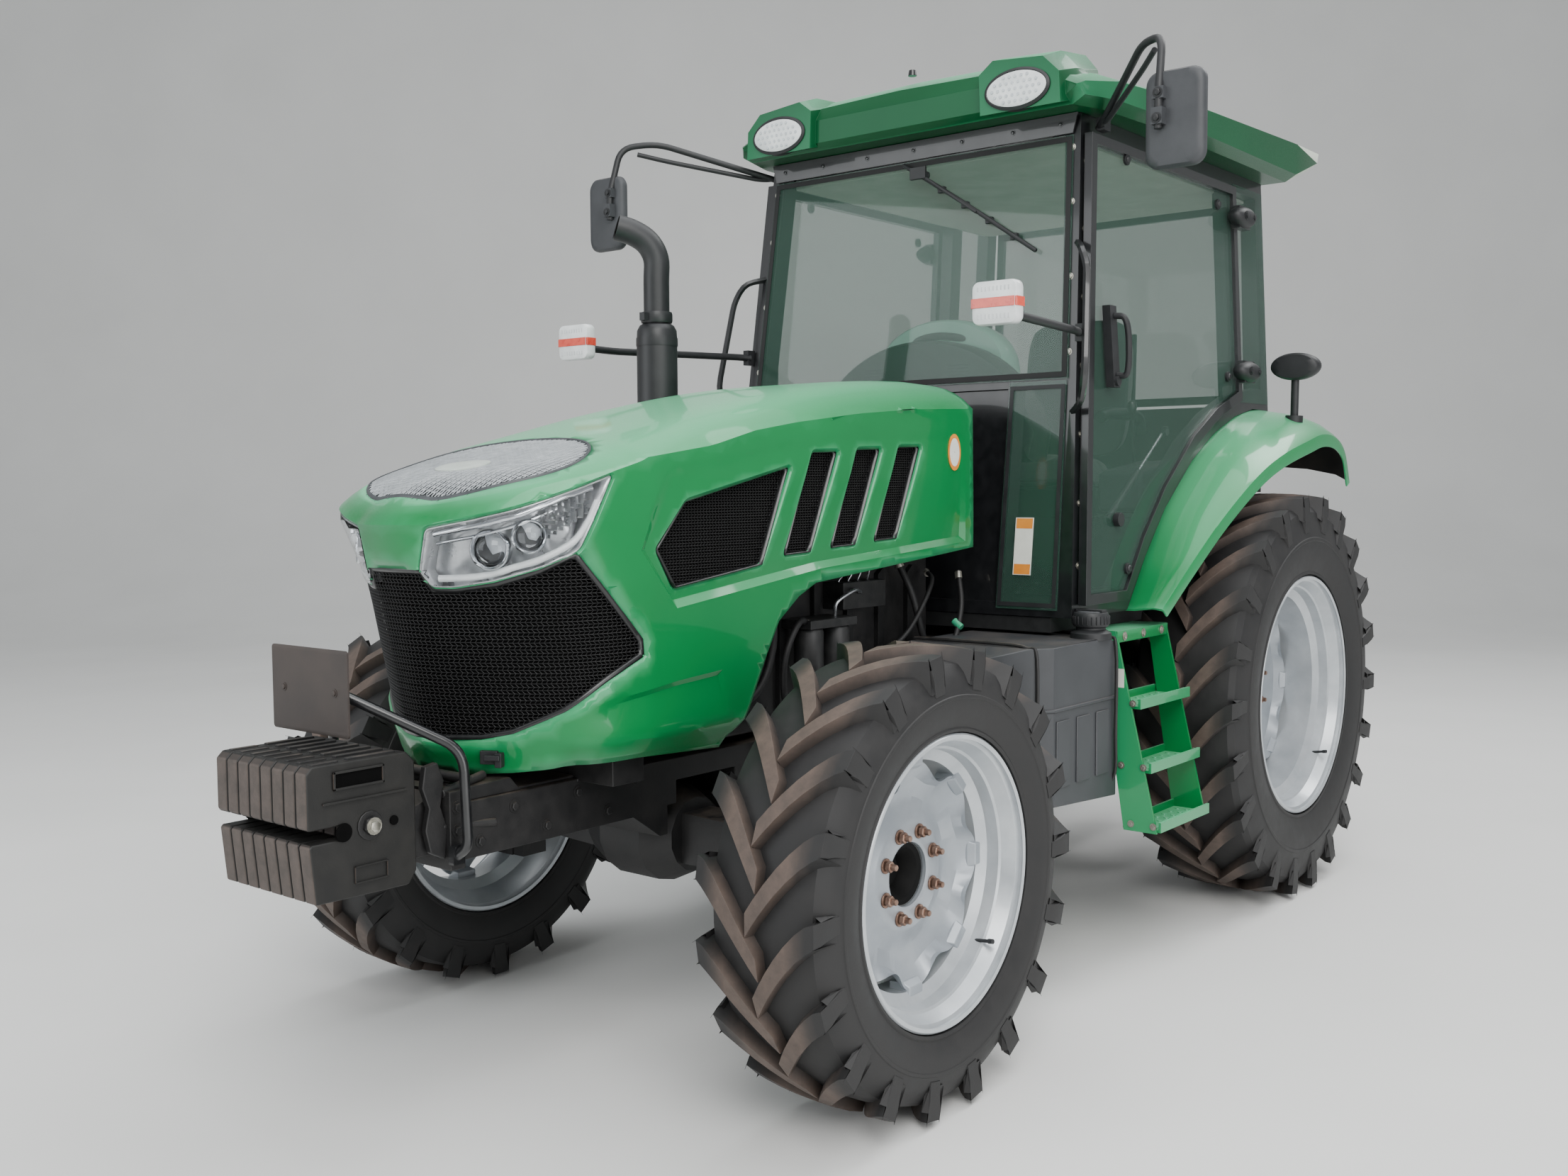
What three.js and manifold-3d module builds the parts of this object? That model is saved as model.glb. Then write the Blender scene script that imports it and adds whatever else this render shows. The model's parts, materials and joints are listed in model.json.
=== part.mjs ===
// Farm tractor: four-wheel-drive agricultural tractor with a closed cab, front
// ballast and a rear lift linkage. Millimetres, +X forward, +Y the tractor's
// left, +Z up. While the pieces are built, x = 0 is the rear axle, y = 0 the
// centre plane and z = 0 the ground; at the end the whole group is moved along
// X so that the middle of its length is at x = 0.
import * as THREE from 'three';
import Module from 'manifold-3d';
import { mergeVertices } from 'three/addons/utils/BufferGeometryUtils.js';

// ---------------------------------------------------------------- dimensions
const WHEELBASE = 2300;
const WHEEL_SEG = 22;                 // flats round each tyre, one lies down
const FLAT = Math.cos(Math.PI / WHEEL_SEG);
const FRONT_AXLE_Z = 530;             // height of the front hub
const REAR_AXLE_Z = 690;              // height of the rear hub
const FRONT_Y = 775;                  // middle of the front tyre
const REAR_Y = 716;                   // middle of the rear tyre
const FRONT_TYRE = { r: FRONT_AXLE_Z / FLAT, half: 160, bead: 305, flange: 334, rimHalf: 142 };
const REAR_TYRE = { r: REAR_AXLE_Z / FLAT, half: 186, bead: 381, flange: 408, rimHalf: 168 };
const KINGPIN_Y = 620;                // steering axis
const GAP = 0.4;                      // between pieces that touch
const LEAN = 0.0486;                  // cab sides lean in, mm of y for each mm of z
const RAKE = 0.115;                   // cab front leans back, mm of x for each mm of z
const CAB_Z0 = 1020;                  // height at which side offsets are given
const CAB_FRONT_X = 1250;             // cab front at z = 1000
const HOOD_HALF = 385;                // half width of the hood
const HOOD_WALL = 10;
const HOOD_REAR_X = 1352;
const HOOD_HINGE = [1470, 1680];      // x, z of the hood hinge line
const DOOR_HINGE = [-12, 700];        // x, and side offset, of the door hinge line
const REAR_WIN_HINGE = [-322, 2446];  // x, z of the rear window hinge line
const LIFT_SHAFT = [-370, 905];       // x, z of the lift arms' cross shaft
const LIFT_ARM_END = [-680, 985];     // x, z of the lift arms' outer pins
const LINK_PIN = [-150, 430];         // x, z of the lower links' front pins
const STEER_ARM = [-165, -35];        // steering arm end, from the kingpin

const GREEN = 0x1c9450, BLACK = 0x1b1c1e, DARK = 0x2b2d30, RUBBER = 0x232426, SILVER = 0xb9bfc4;
const GLASS = 0xb8d8cc, PLASTIC = 0x3a3d42, LAMP = 0xdfe6ea;

const wasm = await Module();
wasm.setup();

// ------------------------------------------------------------------- helpers
// A closed geometry as a solid; its faces are turned outwards when they aren't.
function solid(geometry) {
  const g = geometry.clone();
  for (const key of Object.keys(g.attributes)) if (key !== 'position') g.deleteAttribute(key);
  const m = mergeVertices(g, 1e-3);
  const pos = new Float32Array(m.attributes.position.array);
  const src = m.index.array;
  const tri = [];
  for (let i = 0; i < src.length; i += 3) {
    const [a, b, c] = [src[i], src[i + 1], src[i + 2]];
    if (a !== b && b !== c && c !== a) tri.push(a, b, c);
  }
  let volume = 0;
  const p = (i) => new THREE.Vector3(pos[3 * i], pos[3 * i + 1], pos[3 * i + 2]);
  for (let i = 0; i < tri.length; i += 3) volume += p(tri[i]).dot(p(tri[i + 1]).cross(p(tri[i + 2])));
  if (volume < 0) for (let i = 0; i < tri.length; i += 3) [tri[i + 1], tri[i + 2]] = [tri[i + 2], tri[i + 1]];
  return new wasm.Manifold(new wasm.Mesh({ numProp: 3, vertProperties: pos, triVerts: new Uint32Array(tri) }));
}
function geometryOf(manifold) {
  const mesh = manifold.getMesh();
  const g = new THREE.BufferGeometry();
  g.setAttribute('position', new THREE.BufferAttribute(new Float32Array(mesh.vertProperties), 3));
  g.setIndex(new THREE.BufferAttribute(new Uint32Array(mesh.triVerts), 1));
  g.computeVertexNormals();
  return g;
}
const join = (...s) => s.reduce((a, b) => a.add(b));
const cut = (a, ...s) => s.reduce((x, y) => x.subtract(y), a);
const both = (a, b) => a.intersect(b);
const moved = (s, matrix) => solid(geometryOf(s).applyMatrix4(matrix));
const mirrored = (s) => solid(geometryOf(s).applyMatrix4(new THREE.Matrix4().makeScale(1, -1, 1)));

function box(x0, x1, y0, y1, z0, z1) {
  const g = new THREE.BoxGeometry(x1 - x0, y1 - y0, z1 - z0);
  g.translate((x0 + x1) / 2, (y0 + y1) / 2, (z0 + z1) / 2);
  return solid(g);
}
function extruded(points, depth, matrix) {
  const shape = new THREE.Shape(points.map(([a, b]) => new THREE.Vector2(a, b)));
  const g = new THREE.ExtrudeGeometry(shape, { depth, bevelEnabled: false, steps: 1 });
  return solid(g.applyMatrix4(matrix));
}
const X = new THREE.Vector3(1, 0, 0), Y = new THREE.Vector3(0, 1, 0), Z = new THREE.Vector3(0, 0, 1);
// outline in (x, z), from y0 to y1
const prismY = (pts, y0, y1) => extruded(pts, y1 - y0,
  new THREE.Matrix4().makeTranslation(0, y1, 0).multiply(new THREE.Matrix4().makeBasis(X, Z, Y.clone().negate())));
// outline in (y, z), from x0 to x1
const prismX = (pts, x0, x1) => extruded(pts, x1 - x0,
  new THREE.Matrix4().makeTranslation(x0, 0, 0).multiply(new THREE.Matrix4().makeBasis(Y, Z, X)));
// outline in (x, y), from z0 to z1
const prismZ = (pts, z0, z1) => extruded(pts, z1 - z0, new THREE.Matrix4().makeTranslation(0, 0, z0));
// cab side pieces: outline in (x, z), between two side offsets, leaning in
const leanMatrix = new THREE.Matrix4().set(1, 0, 0, 0, 0, 1, -LEAN, LEAN * CAB_Z0, 0, 0, 1, 0, 0, 0, 0, 1);
const rakeMatrix = new THREE.Matrix4().set(1, 0, -RAKE, RAKE * 1000, 0, 1, 0, 0, 0, 0, 1, 0, 0, 0, 0, 1);
const sidePiece = (pts, n0, n1) => moved(prismY(pts, n0, n1), leanMatrix);
const frontPiece = (pts, x0, x1) => moved(prismX(pts, x0, x1), rakeMatrix);
const frontX = (z) => CAB_FRONT_X - RAKE * (z - 1000);
const sideY = (n, z) => n - LEAN * (z - CAB_Z0);

function rod(a, b, r, sides = 14) {
  const va = new THREE.Vector3(...a), vb = new THREE.Vector3(...b);
  const g = new THREE.CylinderGeometry(r, r, va.distanceTo(vb), sides);
  const q = new THREE.Quaternion().setFromUnitVectors(Y, vb.clone().sub(va).normalize());
  g.applyQuaternion(q);
  g.translate((va.x + vb.x) / 2, (va.y + vb.y) / 2, (va.z + vb.z) / 2);
  return solid(g);
}
// a bent tube: straight runs joined by rounded corners
function tube(points, r, sides = 8, corner = 3.2) {
  const path = new THREE.CurvePath();
  const v = points.map((p) => new THREE.Vector3(...p));
  const pts = [v[0]];
  for (let i = 1; i < v.length - 1; i++) {
    const back = v[i - 1].clone().sub(v[i]), on = v[i + 1].clone().sub(v[i]);
    const d = Math.min(r * corner, back.length() * 0.45, on.length() * 0.45);
    const a = v[i].clone().add(back.setLength(d)), b = v[i].clone().add(on.setLength(d));
    const curve = new THREE.QuadraticBezierCurve3(a, v[i], b);
    pts.push(...curve.getPoints(3));
  }
  pts.push(v[v.length - 1]);
  for (let i = 0; i < pts.length - 1; i++) path.add(new THREE.LineCurve3(pts[i], pts[i + 1]));
  // one ring of the section at each point, turned along the path
  const rings = [];
  let normal = null;
  for (let i = 0; i < pts.length; i++) {
    const t = new THREE.Vector3();
    if (i > 0) t.add(pts[i].clone().sub(pts[i - 1]).normalize());
    if (i < pts.length - 1) t.add(pts[i + 1].clone().sub(pts[i]).normalize());
    t.normalize();
    if (!normal) {
      const ref = Math.abs(t.z) < 0.9 ? Z : X;
      normal = ref.clone().cross(t).normalize();
    } else normal.sub(t.clone().multiplyScalar(normal.dot(t))).normalize();
    const bin = t.clone().cross(normal);
    const ring = [];
    for (let k = 0; k < sides; k++) {
      const a = (k / sides) * Math.PI * 2;
      ring.push(pts[i].clone().addScaledVector(normal, r * Math.cos(a)).addScaledVector(bin, r * Math.sin(a)).toArray());
    }
    rings.push(ring);
  }
  return loft(rings, null);
}
// a solid through closed rings with the same number of points; plane names the
// two axes in which the end rings are filled, or null for round ones
function loft(rings, plane) {
  const n = rings[0].length, pos = [], idx = [];
  rings.forEach((ring) => ring.forEach((p) => pos.push(...p)));
  for (let i = 0; i < rings.length - 1; i++) for (let j = 0; j < n; j++) {
    const a = i * n + j, b = i * n + ((j + 1) % n), c = a + n, d = b + n;
    idx.push(a, b, d, a, d, c);
  }
  const cap = (ring, base, flip) => {
    let tris;
    if (plane) {
      const ax = { x: 0, y: 1, z: 2 };
      const c2 = ring.map((p) => new THREE.Vector2(p[ax[plane[0]]], p[ax[plane[1]]]));
      tris = THREE.ShapeUtils.triangulateShape(c2, []);
      if (THREE.ShapeUtils.isClockWise(c2)) tris = tris.map(([a, b, c]) => [a, b, c]);
    } else {
      tris = [];
      for (let k = 1; k < n - 1; k++) tris.push([0, k, k + 1]);
    }
    // turn the cap so that it matches the side's winding
    const e = tris.find((t) => (t[1] - t[0] + n) % n === 1 || (t[2] - t[1] + n) % n === 1 || (t[0] - t[2] + n) % n === 1);
    const forward = !!e;
    for (const [a, b, c] of tris) {
      if (flip === forward) idx.push(base + a, base + c, base + b); else idx.push(base + a, base + b, base + c);
    }
  };
  cap(rings[0], 0, true);
  cap(rings[rings.length - 1], (rings.length - 1) * n, false);
  const g = new THREE.BufferGeometry();
  g.setAttribute('position', new THREE.Float32BufferAttribute(pos, 3));
  g.setIndex(idx);
  return solid(g);
}
// a turned solid about a line along Y through (x, z); profile in (radius, y)
function turned(profile, x, z, segments, phase = 0) {
  const g = new THREE.LatheGeometry(profile.map(([r, y]) => new THREE.Vector2(r, y)), segments, phase);
  g.translate(x, 0, z);
  return solid(g);
}

const tractor = new THREE.Group();
const inner = new THREE.Group();
tractor.add(inner);
function add(name, s, color, roughness = 0.5, metalness = 0) {
  const mesh = new THREE.Mesh(geometryOf(s), new THREE.MeshStandardMaterial({ color, roughness, metalness }));
  mesh.name = name;
  inner.add(mesh);
}
function addPair(name, left, color, roughness, metalness) {
  add(name + '_left', left, color, roughness, metalness);
  add(name + '_right', mirrored(left), color, roughness, metalness);
}

// -------------------------------------------------------------------- wheels
function rimSolid(t, discY, hubR, hubIn, x, z, yc) {
  const { bead: b, flange: f, rimHalf: h } = t;
  const profile = [
    [0, hubIn], [hubR, hubIn], [hubR, discY - 12], [b - 41, discY - 14],
    [b - 41, -h * 0.46], [b - 10, -h * 0.7], [f - 8, -h], [f, -h],
    [b - 1, -h + 11], [b - 33, -h * 0.46], [b - 33, h * 0.46], [b - 1, h - 11],
    [f, h], [f - 8, h], [b - 10, h * 0.7], [b - 41, h * 0.46],
    [b - 41, discY], [0, discY],
  ].map(([r, y]) => [r, y + yc]);
  return turned(profile, x, z, WHEEL_SEG, Math.PI / WHEEL_SEG);
}
function tyreSolid(t, x, z, yc) {
  const { r, half: w, bead: b, flange: f, rimHalf: h } = t;
  const side = [
    [b + 1, h - 13], [f + 1.2, h - 3], [f + 24, w - 6], [(r + f) / 2 - 8, w],
    [r - 52, w - 8], [r - 14, w - 26], [r, w * 0.55],
  ];
  const profile = [...side.map(([a, y]) => [a, -y]), ...side.slice().reverse()];
  profile.push(profile[0]);
  return turned(profile.map(([a, y]) => [a, y + yc]), x, z, WHEEL_SEG, Math.PI / WHEEL_SEG);
}
addPair('front_rim', rimSolid(FRONT_TYRE, 46, 92, KINGPIN_Y + 104.5 - FRONT_Y, WHEELBASE, FRONT_AXLE_Z, FRONT_Y), SILVER, 0.35, 0.4);
addPair('front_tyre', tyreSolid(FRONT_TYRE, WHEELBASE, FRONT_AXLE_Z, FRONT_Y), RUBBER, 0.9);
addPair('rear_rim', rimSolid(REAR_TYRE, 48, 120, 566.5 - REAR_Y, 0, REAR_AXLE_Z, REAR_Y), SILVER, 0.35, 0.4);
addPair('rear_tyre', tyreSolid(REAR_TYRE, 0, REAR_AXLE_Z, REAR_Y), RUBBER, 0.9);

// ------------------------------------------------------------------ driveline
{
  // front support casting that carries the axle pivot, radiator and ballast
  const rails = prismY([[1985, 620], [2120, 560], [2470, 560], [2560, 622], [3075, 622], [3075, 745], [2120, 745], [1985, 760]], -185, 185);
  const arch = join(box(2190, 2410, -260, 260, 500, 690), box(2158, 2442, -260, 260, 500, 632));

  const block = prismY([[1300, 610], [1975, 610], [1975, 770], [2560, 770], [2560, 1180], [2480, 1290], [1300, 1290]], -190, 190);
  const head = prismY([[1480, 1285], [2420, 1285], [2380, 1430], [1500, 1430]], -115, 115);
  add('engine_block', join(block, head), BLACK, 0.6, 0.3);

  const radiator = prismY([[2640, 740], [2740, 740], [2740, 1330], [2640, 1390]], -300, 300);
  // front plate and hook rail that carry the ballast
  const plate = box(3070, 3110, -190, 190, 606, 775);
  const hook = prismY([[3105, 640], [3172, 640], [3172, 750], [3105, 770]], -150, 150);
  add('front_frame', join(cut(rails, arch), radiator, plate, hook), BLACK, 0.6, 0.3);

  // clutch and gearbox housing between engine and rear axle
  const waist = prismY([[256, 500], [900, 560], [1294, 600], [1294, 950], [900, 940], [256, 950]], -175, 175);
  add('gearbox_housing', waist, BLACK, 0.6, 0.3);

  // rear axle: centre housing, two trumpets, lift shaft ears and link brackets
  const centre = prismY([[-300, 520], [-220, 470], [250, 480], [250, 955], [-300, 955]], -205, 205);
  const trumpet = turned([[0, 200], [165, 200], [150, 260], [112, 330], [105, 540], [135, 548], [135, 566], [0, 566]],
    0, REAR_AXLE_Z, 14);
  const ear = prismY([[-290, 850], [-370, 845], [-425, 880], [-425, 930], [-370, 962], [-290, 955]], 150, 185);
  const bore = rod([LIFT_SHAFT[0], -400, LIFT_SHAFT[1]], [LIFT_SHAFT[0], 400, LIFT_SHAFT[1]], 34.5, 14);
  const lug = prismY([[-205, 520], [-205, 440], [-180, 400], [-120, 400], [-95, 440], [-95, 520]], 190, 296);
  const pin = rod([LINK_PIN[0], 290, LINK_PIN[1]], [LINK_PIN[0], 352, LINK_PIN[1]], 14, 12);
  const half = join(trumpet, ear, lug, pin);
  const pto = rod([-295, 0, 640], [-352, 0, 640], 55, 14);
  const top = prismY([[-295, 800], [-345, 800], [-345, 860], [-295, 860]], -45, 45);
  // drawbar carried under the centre housing
  const bar = box(-760, 120, -38, 38, 395, 427);
  const hanger = box(-215, -120, -38, 38, 420, 490);
  const hole = rod([-715, 0, 380], [-715, 0, 440], 16, 10);
  const drawbar = cut(join(bar, hanger), hole);
  add('rear_axle_housing', join(cut(join(centre, half, mirrored(half), pto, top), bore), drawbar), BLACK, 0.6, 0.3);
}

// ----------------------------------------------------------------- front axle
{
  const zc = FRONT_AXLE_Z, xc = WHEELBASE;
  const beam = prismX([[-505, zc - 52], [-180, zc - 66], [180, zc - 66], [505, zc - 52], [505, zc + 52], [180, zc + 62],
    [-180, zc + 62], [-505, zc + 52]], xc - 55, xc + 55);
  const bulge = turned([[0, -150], [95, -150], [132, -70], [132, 70], [95, 150], [0, 150]], xc, zc, 14);
  const pivot = rod([xc - 109.5, 0, zc + 92], [xc + 109.5, 0, zc + 92], 40, 12);
  const yoke = join(
    box(xc - 42, xc + 42, 470, 520, zc - 148, zc + 148),
    box(xc - 48, xc + 48, 510, KINGPIN_Y + 42, zc + 112, zc + 148),
    box(xc - 48, xc + 48, 510, KINGPIN_Y + 42, zc - 148, zc - 112));

  // knuckle: kingpin barrel, wheel spindle housing and steering arm
  const barrel = rod([xc, KINGPIN_Y, zc - 106], [xc, KINGPIN_Y, zc + 106], 62, 18);
  const housing = turned([[0, KINGPIN_Y - 40], [95, KINGPIN_Y - 30], [100, KINGPIN_Y + 60], [84, KINGPIN_Y + 104], [0, KINGPIN_Y + 104]], xc, zc, 18);
  const arm = prismZ([[xc - 30, KINGPIN_Y - 40], [xc + STEER_ARM[0] - 20, KINGPIN_Y + STEER_ARM[1] - 26],
    [xc + STEER_ARM[0] - 26, KINGPIN_Y + STEER_ARM[1] + 18], [xc - 40, KINGPIN_Y + 20]], zc - 10, zc + 12);
  addPair('knuckle', join(barrel, housing, arm), BLACK, 0.6, 0.3);

  // double-ended steering cylinder behind the beam, and the rod through it
  const sx = xc + STEER_ARM[0], sz = zc - 45;
  const body = turned([[14.6, -190], [42, -190], [42, 190], [14.6, 190], [14.6, -190]], sx, sz, 12);
  const bracket = box(sx + 25, xc - 40, -150, 150, sz - 16, sz + 16);
  add('front_axle_beam', join(beam, bulge, pivot, yoke, mirrored(yoke), bracket, body), BLACK, 0.6, 0.3);
  add('tie_rod', rod([sx, -565, sz], [sx, 565, sz], 13, 12), SILVER, 0.3, 0.9);
}

// ------------------------------------------------------------- front ballast
{
  // eight slab weights side by side on a through rod
  const outline = [[3176, 620], [3196, 592], [3418, 596], [3430, 712], [3424, 717], [3345, 717], [3345, 745], [3428, 745], [3434, 752],
    [3434, 858], [3420, 872], [3196, 872], [3176, 850]];
  let slabs = rod([3290, -166, 735], [3290, 166, 735], 14, 10);
  for (let i = 0; i < 8; i++) slabs = slabs.add(prismY(outline, -162.5 + i * 41, -124.5 + i * 41));
  add('front_weights', slabs, BLACK, 0.6, 0.2);

  const pipe = tube([[3100, 204, 640], [3100, 236, 665], [3104, 230, 870], [3301, 60, 1003], [3301, -60, 1003], [3104, -230, 870],
    [3100, -236, 665], [3100, -204, 640]], 11, 6);
  add('number_plate', join(pipe, box(3310, 3316, -135, 135, 910, 1088)), BLACK, 0.4, 0.4);
}

// ------------------------------------------------------------------------ hood
// outline of the hood's wall seen from above at several heights, from the middle
// of the nose back to where the straight side starts
const HOOD_LEVELS = [
  [785, [[3000, 0], [2993, 50], [2980, 100], [2935, 190], [2906, 240], [2876, 288], [2838, 330], [2778, 360], [2700, 374]]],
  [870, [[3042, 0], [3033, 50], [3016, 100], [2965, 195], [2930, 250], [2895, 300], [2850, 342], [2785, 371], [2700, 385]]],
  [1150, [[3088, 0], [3083, 50], [3070, 100], [3028, 190], [2990, 250], [2948, 300], [2893, 342], [2800, 374], [2700, 385]]],
  [1240, [[3112, 0], [3109, 50], [3102, 95], [3052, 190], [3012, 250], [2965, 305], [2900, 350], [2800, 377], [2700, 385]]],
  [0, [[3132, 0], [3125, 60], [3104, 119], [3073, 214], [3033, 289], [2973, 337], [2898, 364], [2798, 379], [2698, 382]]],
];
const HOOD_CREASE = [1336, 1336, 1337, 1355, 1371, 1392, 1417, 1450, 1480];   // height of its top edge there
const HOOD_SIDE = [[2400, 1552], [2000, 1605], [1600, 1631], [HOOD_REAR_X, 1635]]; // x, height of the edge along the side
const HOOD_CROWN = [[1352, 1712], [1500, 1716], [1750, 1702], [2000, 1672], [2300, 1613], [2600, 1541], [2800, 1487], [2950, 1453],
  [3060, 1425], [3134, 1405]];
{
  const crownZ = (x) => {
    let i = 0;
    while (i < HOOD_CROWN.length - 2 && x > HOOD_CROWN[i + 1][0]) i++;
    const [a, za] = HOOD_CROWN[i], [b, zb] = HOOD_CROWN[i + 1];
    return za + (zb - za) * Math.max(0, Math.min(1, (x - a) / (b - a)));
  };
  // the whole hood as a solid, its faces moved in by t
  const hoodSolid = (t) => {
    const inward = (pts) => pts.map(([x, y], i) => {
      if (!t) return [x, y];
      const a = pts[Math.max(i - 1, 0)], b = pts[Math.min(i + 1, pts.length - 1)];
      const dx = b[0] - a[0], dy = i === 0 ? 2 * b[1] : b[1] - a[1], n = Math.hypot(i === 0 ? 0 : dx, dy);
      return [x - t * dy / n, Math.max(0, y + t * (i === 0 ? 0 : dx) / n)];
    });
    const sideX = HOOD_SIDE.map(([x]) => (t && x === HOOD_REAR_X ? x - 120 : x));
    const half = HOOD_LEVELS.map(([, pts], k) => inward([...pts, ...sideX.map((x) => [x, pts[8][1]])]));
    const edge = [...HOOD_CREASE, ...HOOD_SIDE.map(([, z]) => z)].map((z) => z - t * 0.8);
    const ring = (pts, zs) => [...pts.map(([x, y], i) => [x, y, zs[i]]).reverse(),
      ...pts.slice(1).map(([x, y], i) => [x, -y, zs[i + 1]])];
    const rings = HOOD_LEVELS.slice(0, 4).map(([z], k) => ring(half[k], half[k].map(() => (k === 0 && t ? 600 : z))));
    const top = half[4];
    rings.push(ring(top, edge));
    for (const r of [0.94, 0.82, 0.62, 0.32, 0.02]) {
      const pts = top.map(([x, y], i) => {
        const qx = i > 8 ? x : 2700 - t + (140 * (8 - i)) / 8;
        return [qx + r * (x - qx), r * y];
      });
      rings.push(ring(pts, pts.map(([x], i) => crownZ(x) - t - Math.max(0, crownZ(top[i][0]) - t - edge[i]) * r ** 5)));
    }
    rings.forEach((g) => g.forEach((p, i) => { if (i !== (g.length - 1) / 2 && Math.abs(p[1]) < 0.5) p[1] = i < g.length / 2 ? 0.5 : -0.5; }));
    return loft(rings, 'xy');
  };
  const sideOutline = [[HOOD_REAR_X - 10, 1235], [1978, 1172], [2133, 1150], [2249, 1084], [2295, 1005], [2421, 792], [2700, 800],
    [2925, 806], [2960, 790], [3300, 786], [3300, 1900], [HOOD_REAR_X - 10, 1900]];
  const outer = both(hoodSolid(0), prismY(sideOutline, -500, 500));
  let shell = cut(outer, hoodSolid(HOOD_WALL));

  // headlamps and grille wrap round the nose; side screens lie behind the vents
  const lampZone = (e) => prismY([[2803 - 2 * e, 1447 + e], [2910, 1413 + e], [3018, 1378 + e], [3075, 1355 + e], [3300, 1335 + e],
    [3300, 1203 - e], [3050, 1203 - e], [2998, 1217 - e], [2945, 1243 - e], [2890 - e, 1278 - e]], 106 - e, 500);
  const lamp = both(cut(outer, hoodSolid(34)), lampZone(0));
  addPair('headlamp', lamp, LAMP, 0.15, 0.2);
  const grilleZone = (e) => join(prismY([[2892 - e, 1271 + e], [2945, 1240 + e], [2998, 1214 + e], [3050, 1200 + e], [3300, 1200 + e],
    [3300, 858 - e], [3000, 862 - e], [2950, 881 - e], [2905, 930 - e], [2820, 990 - e], [2717 - e, 1040], [2724 - e, 1079]], -500, 500),
  box(3000, 3200, -103 - e, 103 + e, 1190, 1240 + e));
  const grille = both(shell, grilleZone(0));
  add('front_grille', grille, BLACK, 0.7, 0.2);
  const lz = lampZone(GAP);
  shell = cut(shell, lz, mirrored(lz), grilleZone(GAP));

  const hex = [[2569, 1380], [2195, 1460], [2299, 1226], [2604, 1187], [2663, 1274]];
  const slot = (x) => [[x, 1499 - (x - 2102) * 0.05], [x + 105, 1246 - (x - 2102) * 0.06], [x + 6, 1250 - (x - 2102) * 0.06], [x - 106, 1502 - (x - 2102) * 0.05]];
  const vents = [hex, slot(2102), slot(1912), slot(1722)].map((o) => prismY(o, 300, 500));
  for (const v of vents) shell = cut(shell, v, mirrored(v));
  add('hood_shell', shell, GREEN, 0.25, 0);
  const screen = prismY([[1600, 1230], [2620, 1165], [2690, 1290], [2590, 1410], [1600, 1545]], HOOD_HALF - 60, HOOD_HALF - 56);
  const rib = join(prismY([[1560, 1240], [1600, 1235], [1600, 1540], [1560, 1545]], HOOD_HALF - 60, HOOD_HALF - HOOD_WALL - 12),
    screen);
  addPair('side_screen', both(rib, hoodSolid(HOOD_WALL + 1)), BLACK, 0.7, 0.2);
}

// --------------------------------------------------------------------- exhaust
{
  const x = 1780, y = -470;
  const pipe = tube([[x, -190.5, 1090], [x, y, 1090], [x, y, 1400]], 32, 10, 2.2);
  const can = join(rod([x, y, 1300], [x, y, 1905], 62, 16));
  const stack = tube([[x, y, 1890], [x, y, 2120], [x + 95, y - 75, 2190]], 40, 10, 2.4);
  add('exhaust_stack', join(pipe, can, stack), DARK, 0.6, 0.4);
}

// ---------------------------------------------------------------- tank, ladder
{
  const plan = [[1100, 300], [1100, 700], [1130, 735], [1500, 735], [1560, 690], [1620, 560], [1620, 300]];
  const tank = both(prismZ(plan, 500, 1000),
    prismY([[1095, 560], [1130, 510], [1580, 540], [1630, 600], [1630, 930], [1560, 972], [1180, 976], [1095, 940]], 200, 800));
  const step = box(800, 1110, 300, 560, 560, 930);
  const neck = rod([1210, 692, 950], [1210, 692, 1052], 40, 14);
  add('fuel_tank', join(tank, step, neck), PLASTIC, 0.55, 0);
  const box2 = both(prismZ(plan.map(([x, y]) => [x, -y]), 500, 1000),
    prismY([[1095, 560], [1130, 510], [1580, 540], [1630, 600], [1630, 930], [1560, 972], [1180, 976], [1095, 940]], -800, -200));
  add('battery_box', join(box2, box(800, 1110, -560, -300, 560, 930)), PLASTIC, 0.55, 0);

  // step ladder: two cheek plates and three treads, leaning out to its foot
  const y = (z) => 690 + (980 - z) * 0.19;
  const cheek = (x) => prismX([[y(985) - 40, 985], [y(985) + 20, 985], [y(400) + 45, 400], [y(400) - 60, 400]], x, x + 8);
  const tread = (z) => prismX([[y(z) - 62, z], [y(z) + 58, z], [y(z) + 58, z + 30], [y(z) + 50, z + 30], [y(z) + 50, z + 8],
    [y(z) - 54, z + 8], [y(z) - 54, z + 30], [y(z) - 62, z + 30]], 744, 1086);
  const tie = box(744, 1086, 575, y(960) + 20, 950, 984);
  addPair('ladder', join(cheek(742), cheek(1080), tread(405), tread(575), tread(760), tie), GREEN, 0.35, 0);
}

// ----------------------------------------------------------------------- cab
const fenderLine = [[888, 1032], [754, 1186], [599, 1334], [378, 1489], [200, 1579], [9, 1646], [-160, 1678], [-320, 1675],
  [-430, 1620], [-500, 1480]];
const offsetLine = (line, d) => line.map(([x, z], i) => {
  const a = line[Math.max(i - 1, 0)], b = line[Math.min(i + 1, line.length - 1)];
  const t = new THREE.Vector2(b[0] - a[0], b[1] - a[1]).normalize();
  return [x + t.y * d, z - t.x * d];
});
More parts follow.
